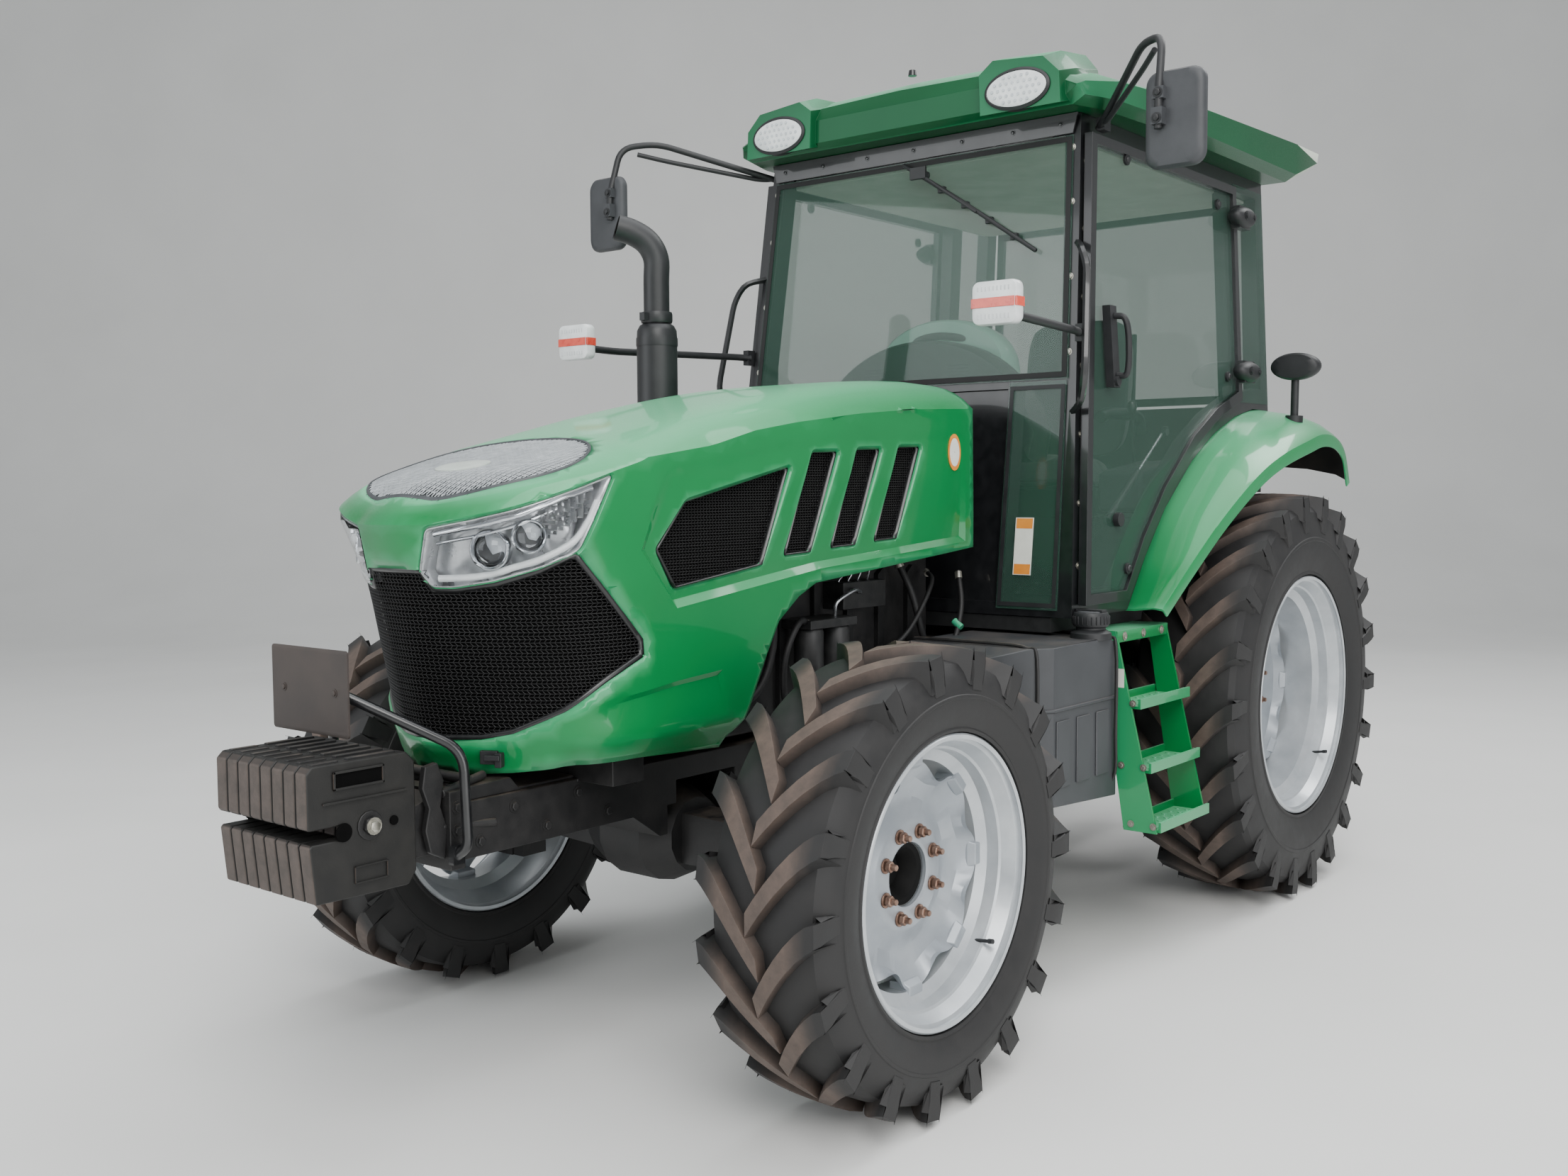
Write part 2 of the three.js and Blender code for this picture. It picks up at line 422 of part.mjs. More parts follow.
// fender sections along its arch, raised by an amount
function fenderRings(up) {
  const outerLine = [[880, 1040, 760], [751, 1179, 800], [560, 1315, 820], [340, 1440, 840], [150, 1510, 850], [-60, 1560, 860],
    [-200, 1585, 862], [-335, 1575, 862], [-430, 1525, 862], [-485, 1420, 862]];
  return fenderLine.map(([x, z], i) => {
    const a = fenderLine[Math.max(i - 1, 0)], b = fenderLine[Math.min(i + 1, 9)];
    const t = new THREE.Vector2(b[0] - a[0], b[1] - a[1]).normalize();
    const dn = [-t.y, t.x];                       // towards the wheel
    const [ox, oz, oy] = outerLine[i];
    const at = (f, d, yy) => [x + (ox - x) * f + dn[0] * d, yy, z + (oz - z) * f + dn[1] * d + up];
    const yi = sideY(601.5, z);
    const ym = yi + (oy - yi) * 0.42;
    return [at(0, 0, yi), at(0.16, 0, ym), at(0.86, 2, oy - 14), at(1, 14, oy), at(1, 44, oy), at(1, 44, oy - 12), at(1, 22, oy - 16),
      at(0.16, 13, ym), at(0, 13, yi)];
  });
}
{
  addPair('fender', loft(fenderRings(0), 'yz'), GREEN, 0.25, 0);

  // tub: floor, side walls, rear wall and seat platform
  const sill = offsetLine(fenderLine.slice(0, 8), 42);
  const wall = sidePiece([[-300, 985], [960, 985], [940, 1050], ...sill.slice(0, 7), [-300, sill[7][1]]], 575, 599.5);
  const floor = prismY([[-300, 985], [1241, 985], [1241, 1028], [-300, 1028]], -579, 579);
  const back = prismX([[-570, 985], [570, 985], [545, 1700], [-545, 1700]], -300, -276);
  const platform = box(-280, 455, -500, 500, 1020, 1300);
  const pedestal = box(150, 430, -160, 160, 1290, 1400);
  // arches over the rear tyres: a curved sheet and an upright inner wall on each side
  const disc = (r, y0, y1) => both(rod([0, y0, REAR_AXLE_Z], [0, y1, REAR_AXLE_Z], r, 40), box(-300, 900, y0 - 1, y1 + 1, 985, 1700));
  const archCut = disc(757, 509, 700);
  const arch = join(cut(disc(772, 496, 597), disc(757, 470, 610)), disc(772, 494, 510));
  const lined = cut(join(floor, wall, mirrored(wall), back, platform, pedestal), archCut, mirrored(archCut));
  add('cab_tub', join(lined, arch, mirrored(arch)), BLACK, 0.7, 0);

  // frame: pillars, rails, door sills and the bars beside the hood
  const zTop = 2500, zRail = 2438;
  const fx = (z) => frontX(z);
  const aPillar = sidePiece([[fx(1030), 1030], [fx(zTop), zTop], [fx(zTop) - 68, zTop], [fx(1030) - 68, 1030]], 600.5, 650);
  const rearPost = sidePiece([[-40, 1672], [28, 1665], [28, zTop], [-40, zTop]], 600.5, 650);
  const cornerPost = sidePiece([[-300, 1690], [-236, 1690], [-236, zTop], [-300, zTop]], 600.5, 650);
  const rail = sidePiece([[-300, zRail], [fx(zRail), zRail], [fx(zTop), zTop], [-300, zTop]], 560, 650);
  const low = offsetLine(fenderLine.slice(0, 8), 3), high = offsetLine(fenderLine.slice(0, 8), 76);
  const sillBar = sidePiece([[1235, 1030], [fx(1105), 1105], ...[[high[0][0] + 5, 1105]], ...high.slice(1, 7), [-300, high[7][1]],
    [-300, low[7][1]], ...low.slice(0, 7).reverse(), [900, 1030]], 600.5, 650);
  const half = join(aPillar, rearPost, cornerPost, rail, sillBar);
  const header = prismX([[-580, zRail], [580, zRail], [577, zTop], [-577, zTop]], fx(zTop) - 60, fx(zTop));
  const rearHeader = prismX([[-560, zRail], [560, zRail], [560, zTop], [-560, zTop]], -300, -250);
  const cowlBar = frontPiece([[-600, 1700], [600, 1700], [600, 1742], [-600, 1742]], CAB_FRONT_X - 60, CAB_FRONT_X);
  const footBar = frontPiece([[-640, 1030], [640, 1030], [640, 1068], [-640, 1068]], CAB_FRONT_X - 60, CAB_FRONT_X);
  const upright = frontPiece([[392, 1030], [418, 1030], [418, 1740], [392, 1740]], CAB_FRONT_X - 60, CAB_FRONT_X);
  const firewall = frontPiece([[-400, 1060], [400, 1060], [400, 1710], [-400, 1710]], CAB_FRONT_X - 40, CAB_FRONT_X - 10);
  const grab = tube([[1105, 584, 2120], [1180, 632, 2100], [1197, 664, 2040], [1255, 690, 1740], [1235, 670, 1650], [1168, 606, 1625]], 11, 6, 4);
  add('cab_frame', join(half, mirrored(half), header, rearHeader, cowlBar, footBar, upright, mirrored(upright), firewall,
    grab, mirrored(grab)), BLACK, 0.45, 0.1);

  // dashboard
  const dash = prismX([[-430, 1480], [430, 1480], [430, 1700], [330, 1790], [200, 1850], [60, 1878], [-60, 1878], [-200, 1850], [-330, 1790],
    [-430, 1700]], 950, 1083);
  const console = box(985, 1075, -130, 130, 1250, 1500);
  add('dashboard', join(dash, console), DARK, 0.7, 0);

  // steering wheel on its column
  const ring = new THREE.TorusGeometry(188, 13, 5, 18);
  const wheel = solid(ring);
  const spokes = join(rod([-185, 0, 0], [185, 0, 0], 9, 8), rod([0, -185, 0], [0, 0, 0], 9, 8),
    solid(new THREE.CylinderGeometry(42, 42, 30, 10).rotateX(Math.PI / 2)));
  const tilt = new THREE.Matrix4().makeTranslation(800, 0, 1800).multiply(new THREE.Matrix4().makeRotationY(-0.55))
    .multiply(new THREE.Matrix4().makeRotationZ(-Math.PI / 2));
  const column = tube([[804, 0, 1793], [880, 0, 1590], [950 - GAP, 0, 1590]], 30, 8, 1.5);
  add('steering_wheel', join(moved(join(wheel, spokes), tilt), column), BLACK, 0.7, 0);

  // seat
  const pad = prismY([[80, 1410], [500, 1405], [540, 1430], [545, 1480], [510, 1520], [90, 1505]], -235, 235);
  const backPad = prismY([[120, 1490], [-40, 1440], [-120, 1980], [-100, 2040], [-40, 2045], [-5, 2010], [70, 1640]], -225, 225);
  add('seat', join(pad, backPad), BLACK, 0.8, 0);

  // fixed glass
  add('windscreen', frontPiece([[-592, 1722], [592, 1722], [560, 2436], [-560, 2436]], CAB_FRONT_X + GAP, CAB_FRONT_X + 6.4), GLASS, 0.05, 0);
  addPair('front_quarter_glass', frontPiece([[400, 1050], [602, 1050], [588, 1718], [400, 1718]], CAB_FRONT_X + GAP, CAB_FRONT_X + 6.4), GLASS, 0.05, 0);
  addPair('rear_side_glass', sidePiece([[-286, 1700], [-24, 1700], [-24, 2460], [-286, 2460]], 650 + GAP, 656), GLASS, 0.05, 0);
}

// --------------------------------------------------------------------- doors
{
  const lower = [[1217, 1066], [940, 1066], [794, 1224], [633, 1377], [407, 1538], [222, 1634], [12, 1704]];
  const outline = [...lower, [12, 2440], [frontX(2440) - 12, 2440]];
  const inset = (d) => [[1217 - d * 1.1, 1066 + d], [955, 1066 + d], [806 + d * 0.5, 1224 + d * 1.0], [640 + d * 0.45, 1377 + d * 1.05],
    [412 + d * 0.4, 1538 + d * 1.15], [222 + d * 0.3, 1634 + d * 1.15], [12 + d, 1704 + d * 1.0], [12 + d, 2440 - d], [frontX(2440) - 12 - d, 2440 - d]];
  const frame = cut(sidePiece(outline, 656, 682), sidePiece(inset(30), 600, 720));
  const hinges = join(...[1800, 2330].map((z) => sidePiece([[-28, z - 38], [60, z - 38], [60, z + 38], [-28, z + 38]], 680, 712)));
  addPair('door_frame', join(frame, hinges), BLACK, 0.45, 0.1);
  addPair('door_glass', sidePiece(inset(30 + GAP), 664, 670), GLASS, 0.05, 0);
}

// --------------------------------------------------------------- rear window
{
  const outer = [[-552, 1712], [552, 1712], [528, 2448], [-528, 2448]];
  const innerO = [[-522, 1742], [522, 1742], [500, 2412], [-500, 2412]];
  const frame = cut(prismX(outer, -326, -306), prismX(innerO, -340, -290));
  const pull = box(-344, -324, -60, 60, 1716, 1740);
  add('rear_window_frame', join(frame, pull), BLACK, 0.45, 0.1);
  add('rear_window_glass', prismX([[-521.5, 1742.5], [521.5, 1742.5], [499.5, 2411.5], [-499.5, 2411.5]], -320, -314), GLASS, 0.05, 0);
}

// ---------------------------------------------------------------------- roof
{
  const ringAt = (x, w, zEdge, zLow, zCrown) => [[x, w - 40, zLow], [x, w, zLow + 22], [x, w + 4, zEdge], [x, w - 70, zEdge + 34],
    [x, w * 0.55, zCrown - 8], [x, 0, zCrown], [x, -w * 0.55, zCrown - 8], [x, -w + 70, zEdge + 34], [x, -w - 4, zEdge],
    [x, -w, zLow + 22], [x, -w + 40, zLow]];
  const low = 2500 + GAP;
  const body = loft([ringAt(-640, 640, 2640, 2612, 2660), ringAt(-560, 690, 2635, 2580, 2690), ringAt(-320, 700, 2628, low, 2706),
    ringAt(200, 705, 2612, low, 2718), ringAt(760, 700, 2590, low, 2716), ringAt(1050, 680, 2575, low, 2690), ringAt(1172, 640, 2560, low, 2640),
    ringAt(1194, 620, 2550, low + 20, 2600)], 'yz');
  const pod = loft([
    [[980, 300, 2560], [980, 600, 2560], [980, 580, 2640], [980, 540, 2690], [980, 360, 2695], [980, 300, 2650]],
    [[1140, 305, 2520], [1140, 605, 2520], [1140, 595, 2610], [1140, 545, 2668], [1140, 350, 2680], [1140, 300, 2640]],
    [[1218, 320, 2502], [1218, 585, 2500.6], [1218, 580, 2590], [1218, 528, 2640], [1218, 362, 2655], [1218, 315, 2620]],
  ], 'yz');
  add('roof_panel', join(body, pod, mirrored(pod)), GREEN, 0.25, 0);
}

// ------------------------------------------------- mirrors, lamps and handles
{
  const head = box(1412, 1446, 950, 1114, 2222, 2470);
  const arm = join(
    tube([[1010, 600, 2462], [1050, 640, 2478], [1330, 890, 2580], [1400, 960, 2550], [1419, 1000, 2400]], 9, 6),
    box(985, 1025, 588, 622, 2440, 2488));
  addPair('mirror', cut(join(head, arm), sidePiece([[900, 2300], [1300, 2300], [1300, 2560], [900, 2560]], 400, 650 + GAP)), PLASTIC, 0.6, 0);

  const marker = join(
    tube([[1161, 622, 1850], [1205, 640, 1852], [1700, 740, 1845], [1835, 752, 1850]], 11, 6),
    box(1820, 1862, 690, 822, 1810, 1918), box(1145, 1179, 618, 646, 1826, 1876));
  addPair('marker_lamp', cut(marker, sidePiece([[900, 1500], [1400, 1500], [1400, 2100], [900, 2100]], 400, 650 + GAP)), BLACK, 0.5, 0);


  const stem = rod([-150, 770, 1650], [-140, 775, 1790], 14, 10);
  const lampHead = loft([0, 1].map((k) => Array.from({ length: 12 }, (_, i) => {
    const a = (i / 12) * Math.PI * 2;
    return [-170 + k * 55, 778 + Math.cos(a) * 86, 1822 + Math.sin(a) * 48];
  })), 'yz');
  const foot = prismX([[745, 1641], [800, 1616], [800, 1672], [745, 1672]], -185, -105);
  const seatFace = loft(fenderRings(0.5), 'yz');
  addPair('rear_lamp', cut(join(stem, lampHead, foot), seatFace), BLACK, 0.5, 0);
}

// -------------------------------------------------------------- lift linkage
{
  const [sx, sz] = LIFT_SHAFT, [ex, ez] = LIFT_ARM_END, [px, pz] = LINK_PIN;
  const shaft = rod([sx, -262, sz], [sx, 262, sz], 32.5, 14);
  const arm = prismY([[sx + 45, sz - 40], [sx + 45, sz + 40], [sx - 20, sz + 58], [ex - 28, ez + 26], [ex - 34, ez - 16], [ex + 4, ez - 32],
    [sx - 40, sz - 40]], 240, 264);
  const pin = rod([ex, 250, ez], [ex, 302, ez], 12, 12);
  const half = join(arm, pin);
  add('lift_arms', join(shaft, half, mirrored(half)), BLACK, 0.55, 0.3);

  // lift rods hang from the arm pins; their lower forks stay open
  const low = [px - 500 + 30, pz + 66];
  const eye = rod([ex, 272, ez], [ex, 298, ez], 30, 10);
  const body = rod([ex, 285, ez - 20], [low[0] - 2, 285, low[1]], 13, 8);
  const turn = rod([ex + (low[0] - ex) * 0.3, 285, ez + (low[1] - ez) * 0.3], [ex + (low[0] - ex) * 0.62, 285, ez + (low[1] - ez) * 0.62], 22, 8);
  const foot = box(low[0] - 24, low[0] + 24, 273, 297, low[1] - 96, low[1] + 12);
  const bore = rod([ex, 200, ez], [ex, 400, ez], 13, 12);
  addPair('lift_rod', cut(join(eye, body, turn, foot), bore), BLACK, 0.5, 0.4);

  const tip = [-985, 424];
  const link = prismY([[px + 34, pz - 14], [px + 22, pz + 30], [px - 20, pz + 34], [tip[0] + 40, tip[1] + 30], [tip[0], tip[1] + 34],
    [tip[0] - 30, tip[1]], [tip[0], tip[1] - 32], [px - 20, pz - 32], [px + 22, pz - 30]], 306, 330);
  const holes = join(rod([px, 200, pz], [px, 400, pz], 15, 12), rod([tip[0] + 6, 200, tip[1]], [tip[0] + 6, 400, tip[1]], 15, 12));
  addPair('lower_link', cut(link, holes), BLACK, 0.55, 0.3);
}

// ------------------------------------------ middle of the length to the origin
const bounds = new THREE.Box3().setFromObject(inner);
inner.position.x = -Math.round((bounds.min.x + bounds.max.x) * 5) / 10;
inner.updateMatrixWorld(true);

export default tractor;
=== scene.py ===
import json
import math
import random

import bmesh
import bpy
from mathutils import Matrix, Vector, geometry, noise

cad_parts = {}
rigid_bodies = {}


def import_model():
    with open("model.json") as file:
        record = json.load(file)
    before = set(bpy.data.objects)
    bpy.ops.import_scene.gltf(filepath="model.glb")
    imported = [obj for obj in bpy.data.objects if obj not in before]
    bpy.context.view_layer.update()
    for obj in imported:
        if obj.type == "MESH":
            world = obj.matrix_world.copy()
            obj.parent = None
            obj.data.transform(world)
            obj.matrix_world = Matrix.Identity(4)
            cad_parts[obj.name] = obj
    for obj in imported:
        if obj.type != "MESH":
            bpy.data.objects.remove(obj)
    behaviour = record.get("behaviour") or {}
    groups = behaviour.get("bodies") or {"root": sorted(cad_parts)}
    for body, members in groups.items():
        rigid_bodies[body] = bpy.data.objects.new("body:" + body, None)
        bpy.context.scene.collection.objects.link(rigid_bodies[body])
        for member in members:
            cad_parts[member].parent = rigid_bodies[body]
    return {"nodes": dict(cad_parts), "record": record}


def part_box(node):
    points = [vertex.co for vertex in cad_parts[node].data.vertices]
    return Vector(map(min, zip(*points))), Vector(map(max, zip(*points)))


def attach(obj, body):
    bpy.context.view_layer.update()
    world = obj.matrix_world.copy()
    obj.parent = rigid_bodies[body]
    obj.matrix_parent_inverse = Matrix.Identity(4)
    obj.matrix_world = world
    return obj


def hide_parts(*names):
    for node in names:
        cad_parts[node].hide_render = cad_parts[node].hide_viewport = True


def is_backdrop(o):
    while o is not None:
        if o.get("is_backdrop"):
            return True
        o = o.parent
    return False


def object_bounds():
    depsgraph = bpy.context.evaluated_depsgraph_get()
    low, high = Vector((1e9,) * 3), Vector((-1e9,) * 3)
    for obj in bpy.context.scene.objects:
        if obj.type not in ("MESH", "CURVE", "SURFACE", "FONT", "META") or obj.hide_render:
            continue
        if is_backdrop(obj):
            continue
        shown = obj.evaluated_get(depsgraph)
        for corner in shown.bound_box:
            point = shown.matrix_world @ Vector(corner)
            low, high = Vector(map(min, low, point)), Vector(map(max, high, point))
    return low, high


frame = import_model()
cad_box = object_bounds()
rnd = random.Random(7)


def mid(name):
    lo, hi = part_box(name)
    return (lo + hi) / 2


# the frame's x of a point given from the rear axle
OX = mid("front_tyre_left").x - 2.300
FRONT = mid("front_tyre_left")
REAR = mid("rear_tyre_left")


def W(x, y, z):
    return Vector((x + OX, y, z))


# ------------------------------------------------------------------ materials
class Nodes:
    def __init__(self, name):
        self.mat = bpy.data.materials.new(name)
        self.mat.use_nodes = True
        self.t = self.mat.node_tree
        self.b = self.t.nodes["Principled BSDF"]
        self.tc = self.t.nodes.new("ShaderNodeTexCoord")

    def new(self, kind, **values):
        n = self.t.nodes.new(kind)
        for k, v in values.items():
            if hasattr(n, k) and not k.startswith("in_"):
                setattr(n, k, v)
            else:
                n.inputs[k.replace("in_", "").replace("_", " ")].default_value = v
        return n

    def link(self, a, b):
        self.t.links.new(a, b)

    def set(self, **values):
        for k, v in values.items():
            self.b.inputs[k.replace("_", " ")].default_value = v

    def noise(self, scale, detail=4, rough=0.6, stretch=None):
        n = self.new("ShaderNodeTexNoise")
        n.inputs["Scale"].default_value = scale
        n.inputs["Detail"].default_value = detail
        n.inputs["Roughness"].default_value = rough
        if stretch:
            m = self.new("ShaderNodeMapping")
            m.inputs["Scale"].default_value = stretch
            self.link(self.tc.outputs["Object"], m.inputs[0])
            self.link(m.outputs[0], n.inputs["Vector"])
        else:
            self.link(self.tc.outputs["Object"], n.inputs["Vector"])
        return n.outputs["Fac"]

    def ramp(self, fac, stops):
        r = self.new("ShaderNodeValToRGB")
        while len(r.color_ramp.elements) < len(stops):
            r.color_ramp.elements.new(0.5)
        for e, (p, c) in zip(r.color_ramp.elements, stops):
            e.position = p
            e.color = (*c, 1) if not isinstance(c, float) else (c, c, c, 1)
        self.link(fac, r.inputs[0])
        return r.outputs[0]

    def mix(self, fac, a, b):
        m = self.new("ShaderNodeMix")
        m.data_type = "RGBA"
        for sock, v in ((m.inputs[0], fac), (m.inputs[6], a), (m.inputs[7], b)):
            if hasattr(v, "links") or hasattr(v, "is_output"):
                self.link(v, sock)
            elif isinstance(v, tuple):
                sock.default_value = (*v, 1)
            else:
                sock.default_value = v
        return m.outputs[2]

    def bump(self, fac, strength, distance):
        b = self.new("ShaderNodeBump")
        b.inputs["Strength"].default_value = strength
        b.inputs["Distance"].default_value = distance
        self.link(fac, b.inputs["Height"])
        self.link(b.outputs[0], self.b.inputs["Normal"])

    def color(self, sock):
        self.link(sock, self.b.inputs["Base Color"])

    def rough(self, sock):
        self.link(sock, self.b.inputs["Roughness"])


def lin(r, g, b):
    return tuple(((c / 255) / 12.92 if c / 255 <= 0.04045 else ((c / 255 + 0.055) / 1.055) ** 2.4) for c in (r, g, b))


def simple(name, a, b, rough, scale=30.0, metallic=0.0, bump=(40.0, 0.15, 0.0006), coat=0.0, spec=0.5, dust=0.0, rough2=None):
    n = Nodes(name)
    f = n.noise(scale, 5)
    col = n.ramp(f, [(0.35, a), (0.68, b)])
    if dust:
        geo = n.new("ShaderNodeNewGeometry")
        sep = n.new("ShaderNodeSeparateXYZ")
        n.link(geo.outputs["Normal"], sep.inputs[0])
        up = n.ramp(sep.outputs["Z"], [(0.55, 0.0), (1.0, 1.0)])
        g = n.noise(9.0, 6, 0.7)
        both = n.new("ShaderNodeMath", operation="MULTIPLY")
        n.link(up, both.inputs[0])
        n.link(n.ramp(g, [(0.4, 0.0), (0.75, dust)]), both.inputs[1])
        col = n.mix(both.outputs[0], col, lin(120, 108, 96))
    n.color(col)
    n.rough(n.ramp(f, [(0.3, rough), (0.7, rough2 if rough2 is not None else min(1.0, rough + 0.08))]))
    n.set(Metallic=metallic, Specular_IOR_Level=spec, Coat_Weight=coat, Coat_Roughness=0.06)
    if bump:
        n.bump(n.noise(bump[0], 3), bump[1], bump[2])
    return n.mat


def paint(name, a, b, rough=0.34, coat=0.5, pale=0.6):
    n = Nodes(name)
    f = n.noise(2.2, 3)
    grain = n.noise(260.0, 2)
    col = n.ramp(f, [(0.3, a), (0.7, b)])
    geo = n.new("ShaderNodeNewGeometry")
    # painted highlight: convex edges, found by pointiness, are mixed toward a lighter mint
    edge = n.ramp(geo.outputs["Pointiness"], [(0.52, 0.0), (0.60, 0.35)])
    col = n.mix(edge, col, lin(96, 200, 150))
    # painted reflection: faces that look at the sky are mixed toward a pale mint, in place of the sky's reflection in
    # the paint
    sep = n.new("ShaderNodeSeparateXYZ")
    n.link(geo.outputs["Normal"], sep.inputs[0])
    col = n.mix(n.ramp(sep.outputs["Z"], [(0.62, 0.0), (0.88, pale * .45), (1.0, pale)]), col, lin(138, 234, 182))
    n.color(col)
    n.rough(n.ramp(grain, [(0.3, rough - 0.04), (0.7, rough + 0.05)]))
    n.set(Specular_IOR_Level=0.4, Coat_Weight=coat, Coat_Roughness=0.06, Specular_Tint=(0.35, 1.0, 0.62, 1.0))
    n.bump(grain, 0.03, 0.0003)
    return n.mat


GREEN = paint("green_paint", lin(2, 112, 56), lin(4, 121, 62))
GREEN_DARK = paint("green_paint_dark", lin(9, 92, 48), lin(13, 104, 55))
BLACK = simple("black_paint", lin(16, 17, 18), lin(24, 25, 26), 0.34, coat=0.35, bump=(300.0, 0.08, 0.0003))
CAST = simple("black_cast", lin(20, 20, 21), lin(34, 33, 33), 0.5, scale=18.0, bump=(160.0, 0.5, 0.0008), dust=0.5)
# painted shade: a darker copy of the black cast, used for the ribs, rails and cover on the engine under the hood
CAST_DEEP = simple("black_cast_deep", lin(9, 9, 10), lin(20, 20, 21), 0.55, scale=14.0, bump=(120.0, 0.5, 0.001))
SILVER = simple("rim_silver", lin(150, 156, 162), lin(170, 175, 180), 0.36, scale=6.0, metallic=0.35, bump=(500.0, 0.05, 0.0002), coat=0.25)
SILVER_EDGE = simple("rim_bright", lin(176, 181, 185), lin(196, 200, 203), 0.3, scale=9.0, metallic=0.45, bump=(500.0, 0.05, 0.0002), coat=0.3)
GREY_PLASTIC = simple("grey_plastic", lin(52, 54, 57), lin(62, 64, 67), 0.5, scale=12.0, bump=(420.0, 0.35, 0.0006), dust=0.25)
DARK_PLASTIC = simple("dark_plastic", lin(26, 27, 29), lin(36, 37, 39), 0.48, scale=20.0, bump=(380.0, 0.3, 0.0005))
MESH_BLACK = simple("black_mesh", lin(14, 14, 15), lin(26, 26, 27), 0.45, scale=60.0, bump=None)
# painted shade: near-black for the sheets and patches put where openings and hollows are dark
SHADE_BLACK = simple("painted_shade_black", lin(3, 3, 3), lin(8, 8, 8), 0.9, bump=None, spec=0.1)
SCREEN_GREY = simple("grey_screen", lin(150, 155, 158), lin(176, 180, 183), 0.42, scale=40.0, metallic=0.5, bump=None)
CHROME = simple("chrome", lin(205, 208, 212), lin(228, 230, 232), 0.08, scale=4.0, metallic=1.0, bump=None, rough2=0.16)
STEEL = simple("steel_rod", lin(165, 168, 172), lin(190, 192, 196), 0.22, scale=30.0, metallic=0.9, bump=(200.0, 0.1, 0.0003))
COPPER = simple("plated_nut", lin(120, 92, 78), lin(160, 132, 116), 0.35, scale=60.0, metallic=0.8, bump=(300.0, 0.2, 0.0004))
BOLT = simple("zinc_bolt", lin(150, 148, 138), lin(180, 178, 168), 0.32, scale=60.0, metallic=0.8, bump=(300.0, 0.2, 0.0004))
WHITE = simple("lamp_white", lin(214, 218, 219), lin(232, 235, 235), 0.3, scale=20.0, bump=None, coat=0.5)
RED = simple("reflector_red", lin(206, 62, 44), lin(226, 82, 60), 0.25, scale=60.0, bump=None, coat=0.8)
AMBER = simple("reflector_amber", lin(214, 120, 30), lin(228, 140, 46), 0.25, scale=60.0, bump=None, coat=0.8)
MINT = simple("pale_cover", lin(150, 205, 182), lin(166, 216, 196), 0.3, scale=5.0, bump=(300.0, 0.06, 0.0003), coat=0.6)
CREAM = simple("headliner", lin(196, 204, 190), lin(212, 218, 206), 0.7, scale=9.0, bump=(300.0, 0.3, 0.0006))
PLATE = simple("plate_brown", lin(48, 41, 38), lin(62, 54, 50), 0.55, scale=8.0, bump=(120.0, 0.2, 0.0006))
PINK = simple("hose_end", lin(176, 34, 60), lin(200, 48, 76), 0.45, scale=30.0, bump=None)
LABEL = simple("blank_label", lin(216, 216, 208), lin(228, 228, 220), 0.4, scale=20.0, bump=None)
LABEL_ORANGE = simple("blank_label_edge", lin(214, 130, 44), lin(226, 144, 56), 0.4, scale=20.0, bump=None)


def rubber():
    n = Nodes("tyre_rubber")
    f = n.noise(14.0, 6, 0.65)
    col = n.ramp(f, [(0.3, lin(24, 24, 25)), (0.7, lin(38, 37, 37))])
    # dusty brown on the faces that touch the ground, kept in a point attribute
    a = n.new("ShaderNodeAttribute", attribute_name="dust")
    m = n.new("ShaderNodeMath", operation="MULTIPLY")
    n.link(a.outputs["Fac"], m.inputs[0])
    n.link(n.ramp(n.noise(22.0, 6, 0.7), [(0.25, 0.45), (0.7, 1.0)]), m.inputs[1])
    col = n.mix(m.outputs[0], col, lin(94, 80, 72))
    n.color(col)
    n.rough(n.ramp(f, [(0.3, 0.52), (0.7, 0.68)]))
    n.set(Specular_IOR_Level=0.45)
    n.bump(n.noise(180.0, 4), 0.25, 0.0008)
    return n.mat


def fabric():
    n = Nodes("seat_fabric")
    mp = n.new("ShaderNodeMapping")
    mp.inputs["Scale"].default_value = (260, 260, 260)
    n.link(n.tc.outputs["Object"], mp.inputs[0])
    w = n.new("ShaderNodeTexWave", wave_type="BANDS", bands_direction="DIAGONAL")
    w.inputs["Scale"].default_value = 1.0
    w.inputs["Distortion"].default_value = 0.8
    n.link(mp.outputs[0], w.inputs["Vector"])
    f = n.noise(12.0, 5)
    col = n.ramp(f, [(0.3, lin(26, 27, 29)), (0.7, lin(40, 41, 43))])
    n.color(n.mix(w.outputs["Fac"], col, lin(52, 53, 55)))
    n.set(Roughness=0.85, Sheen_Weight=0.3)
    n.bump(w.outputs["Fac"], 0.4, 0.0006)
    return n.mat


def glass(name, tint, rough=0.02, alpha=0.28):
    # thin pane: mostly see-through, with the tint and gloss of window glass
    n = Nodes(name)
    f = n.noise(1.6, 3)
    n.color(n.ramp(f, [(0.3, tuple(c * 0.92 for c in tint)), (0.7, tint)]))
    n.set(Roughness=rough, Alpha=alpha, Specular_IOR_Level=0.5, Coat_Weight=0.35, Coat_Roughness=0.02)
    return n.mat


def clear(name, tint, rough=0.02, ior=1.2):
    n = Nodes(name)
    f = n.noise(9.0, 3)
    n.color(n.ramp(f, [(0.3, tuple(c * 0.96 for c in tint)), (0.7, tint)]))
    n.set(Roughness=rough, Transmission_Weight=1.0, IOR=ior)
    return n.mat


RUBBER = rubber()
FABRIC = fabric()
GLASS = glass("tinted_glass", lin(66, 98, 85), alpha=0.30)
LENS = clear("lamp_clear", (0.97, 0.98, 0.99), ior=1.12)
LENS_BALL = clear("lens_ball", (0.93, 0.95, 0.97), ior=1.45)

SLOT = {"green_paint": GREEN, "black_paint": BLACK, "black_cast": CAST, "rim_silver": SILVER, "tyre_rubber": RUBBER,
        "tinted_glass": GLASS, "lamp_clear": LENS, "black_mesh": MESH_BLACK, "grey_plastic": GREY_PLASTIC,
        "dark_steel": DARK_PLASTIC, "steel_rod": STEEL, "seat_fabric": FABRIC}

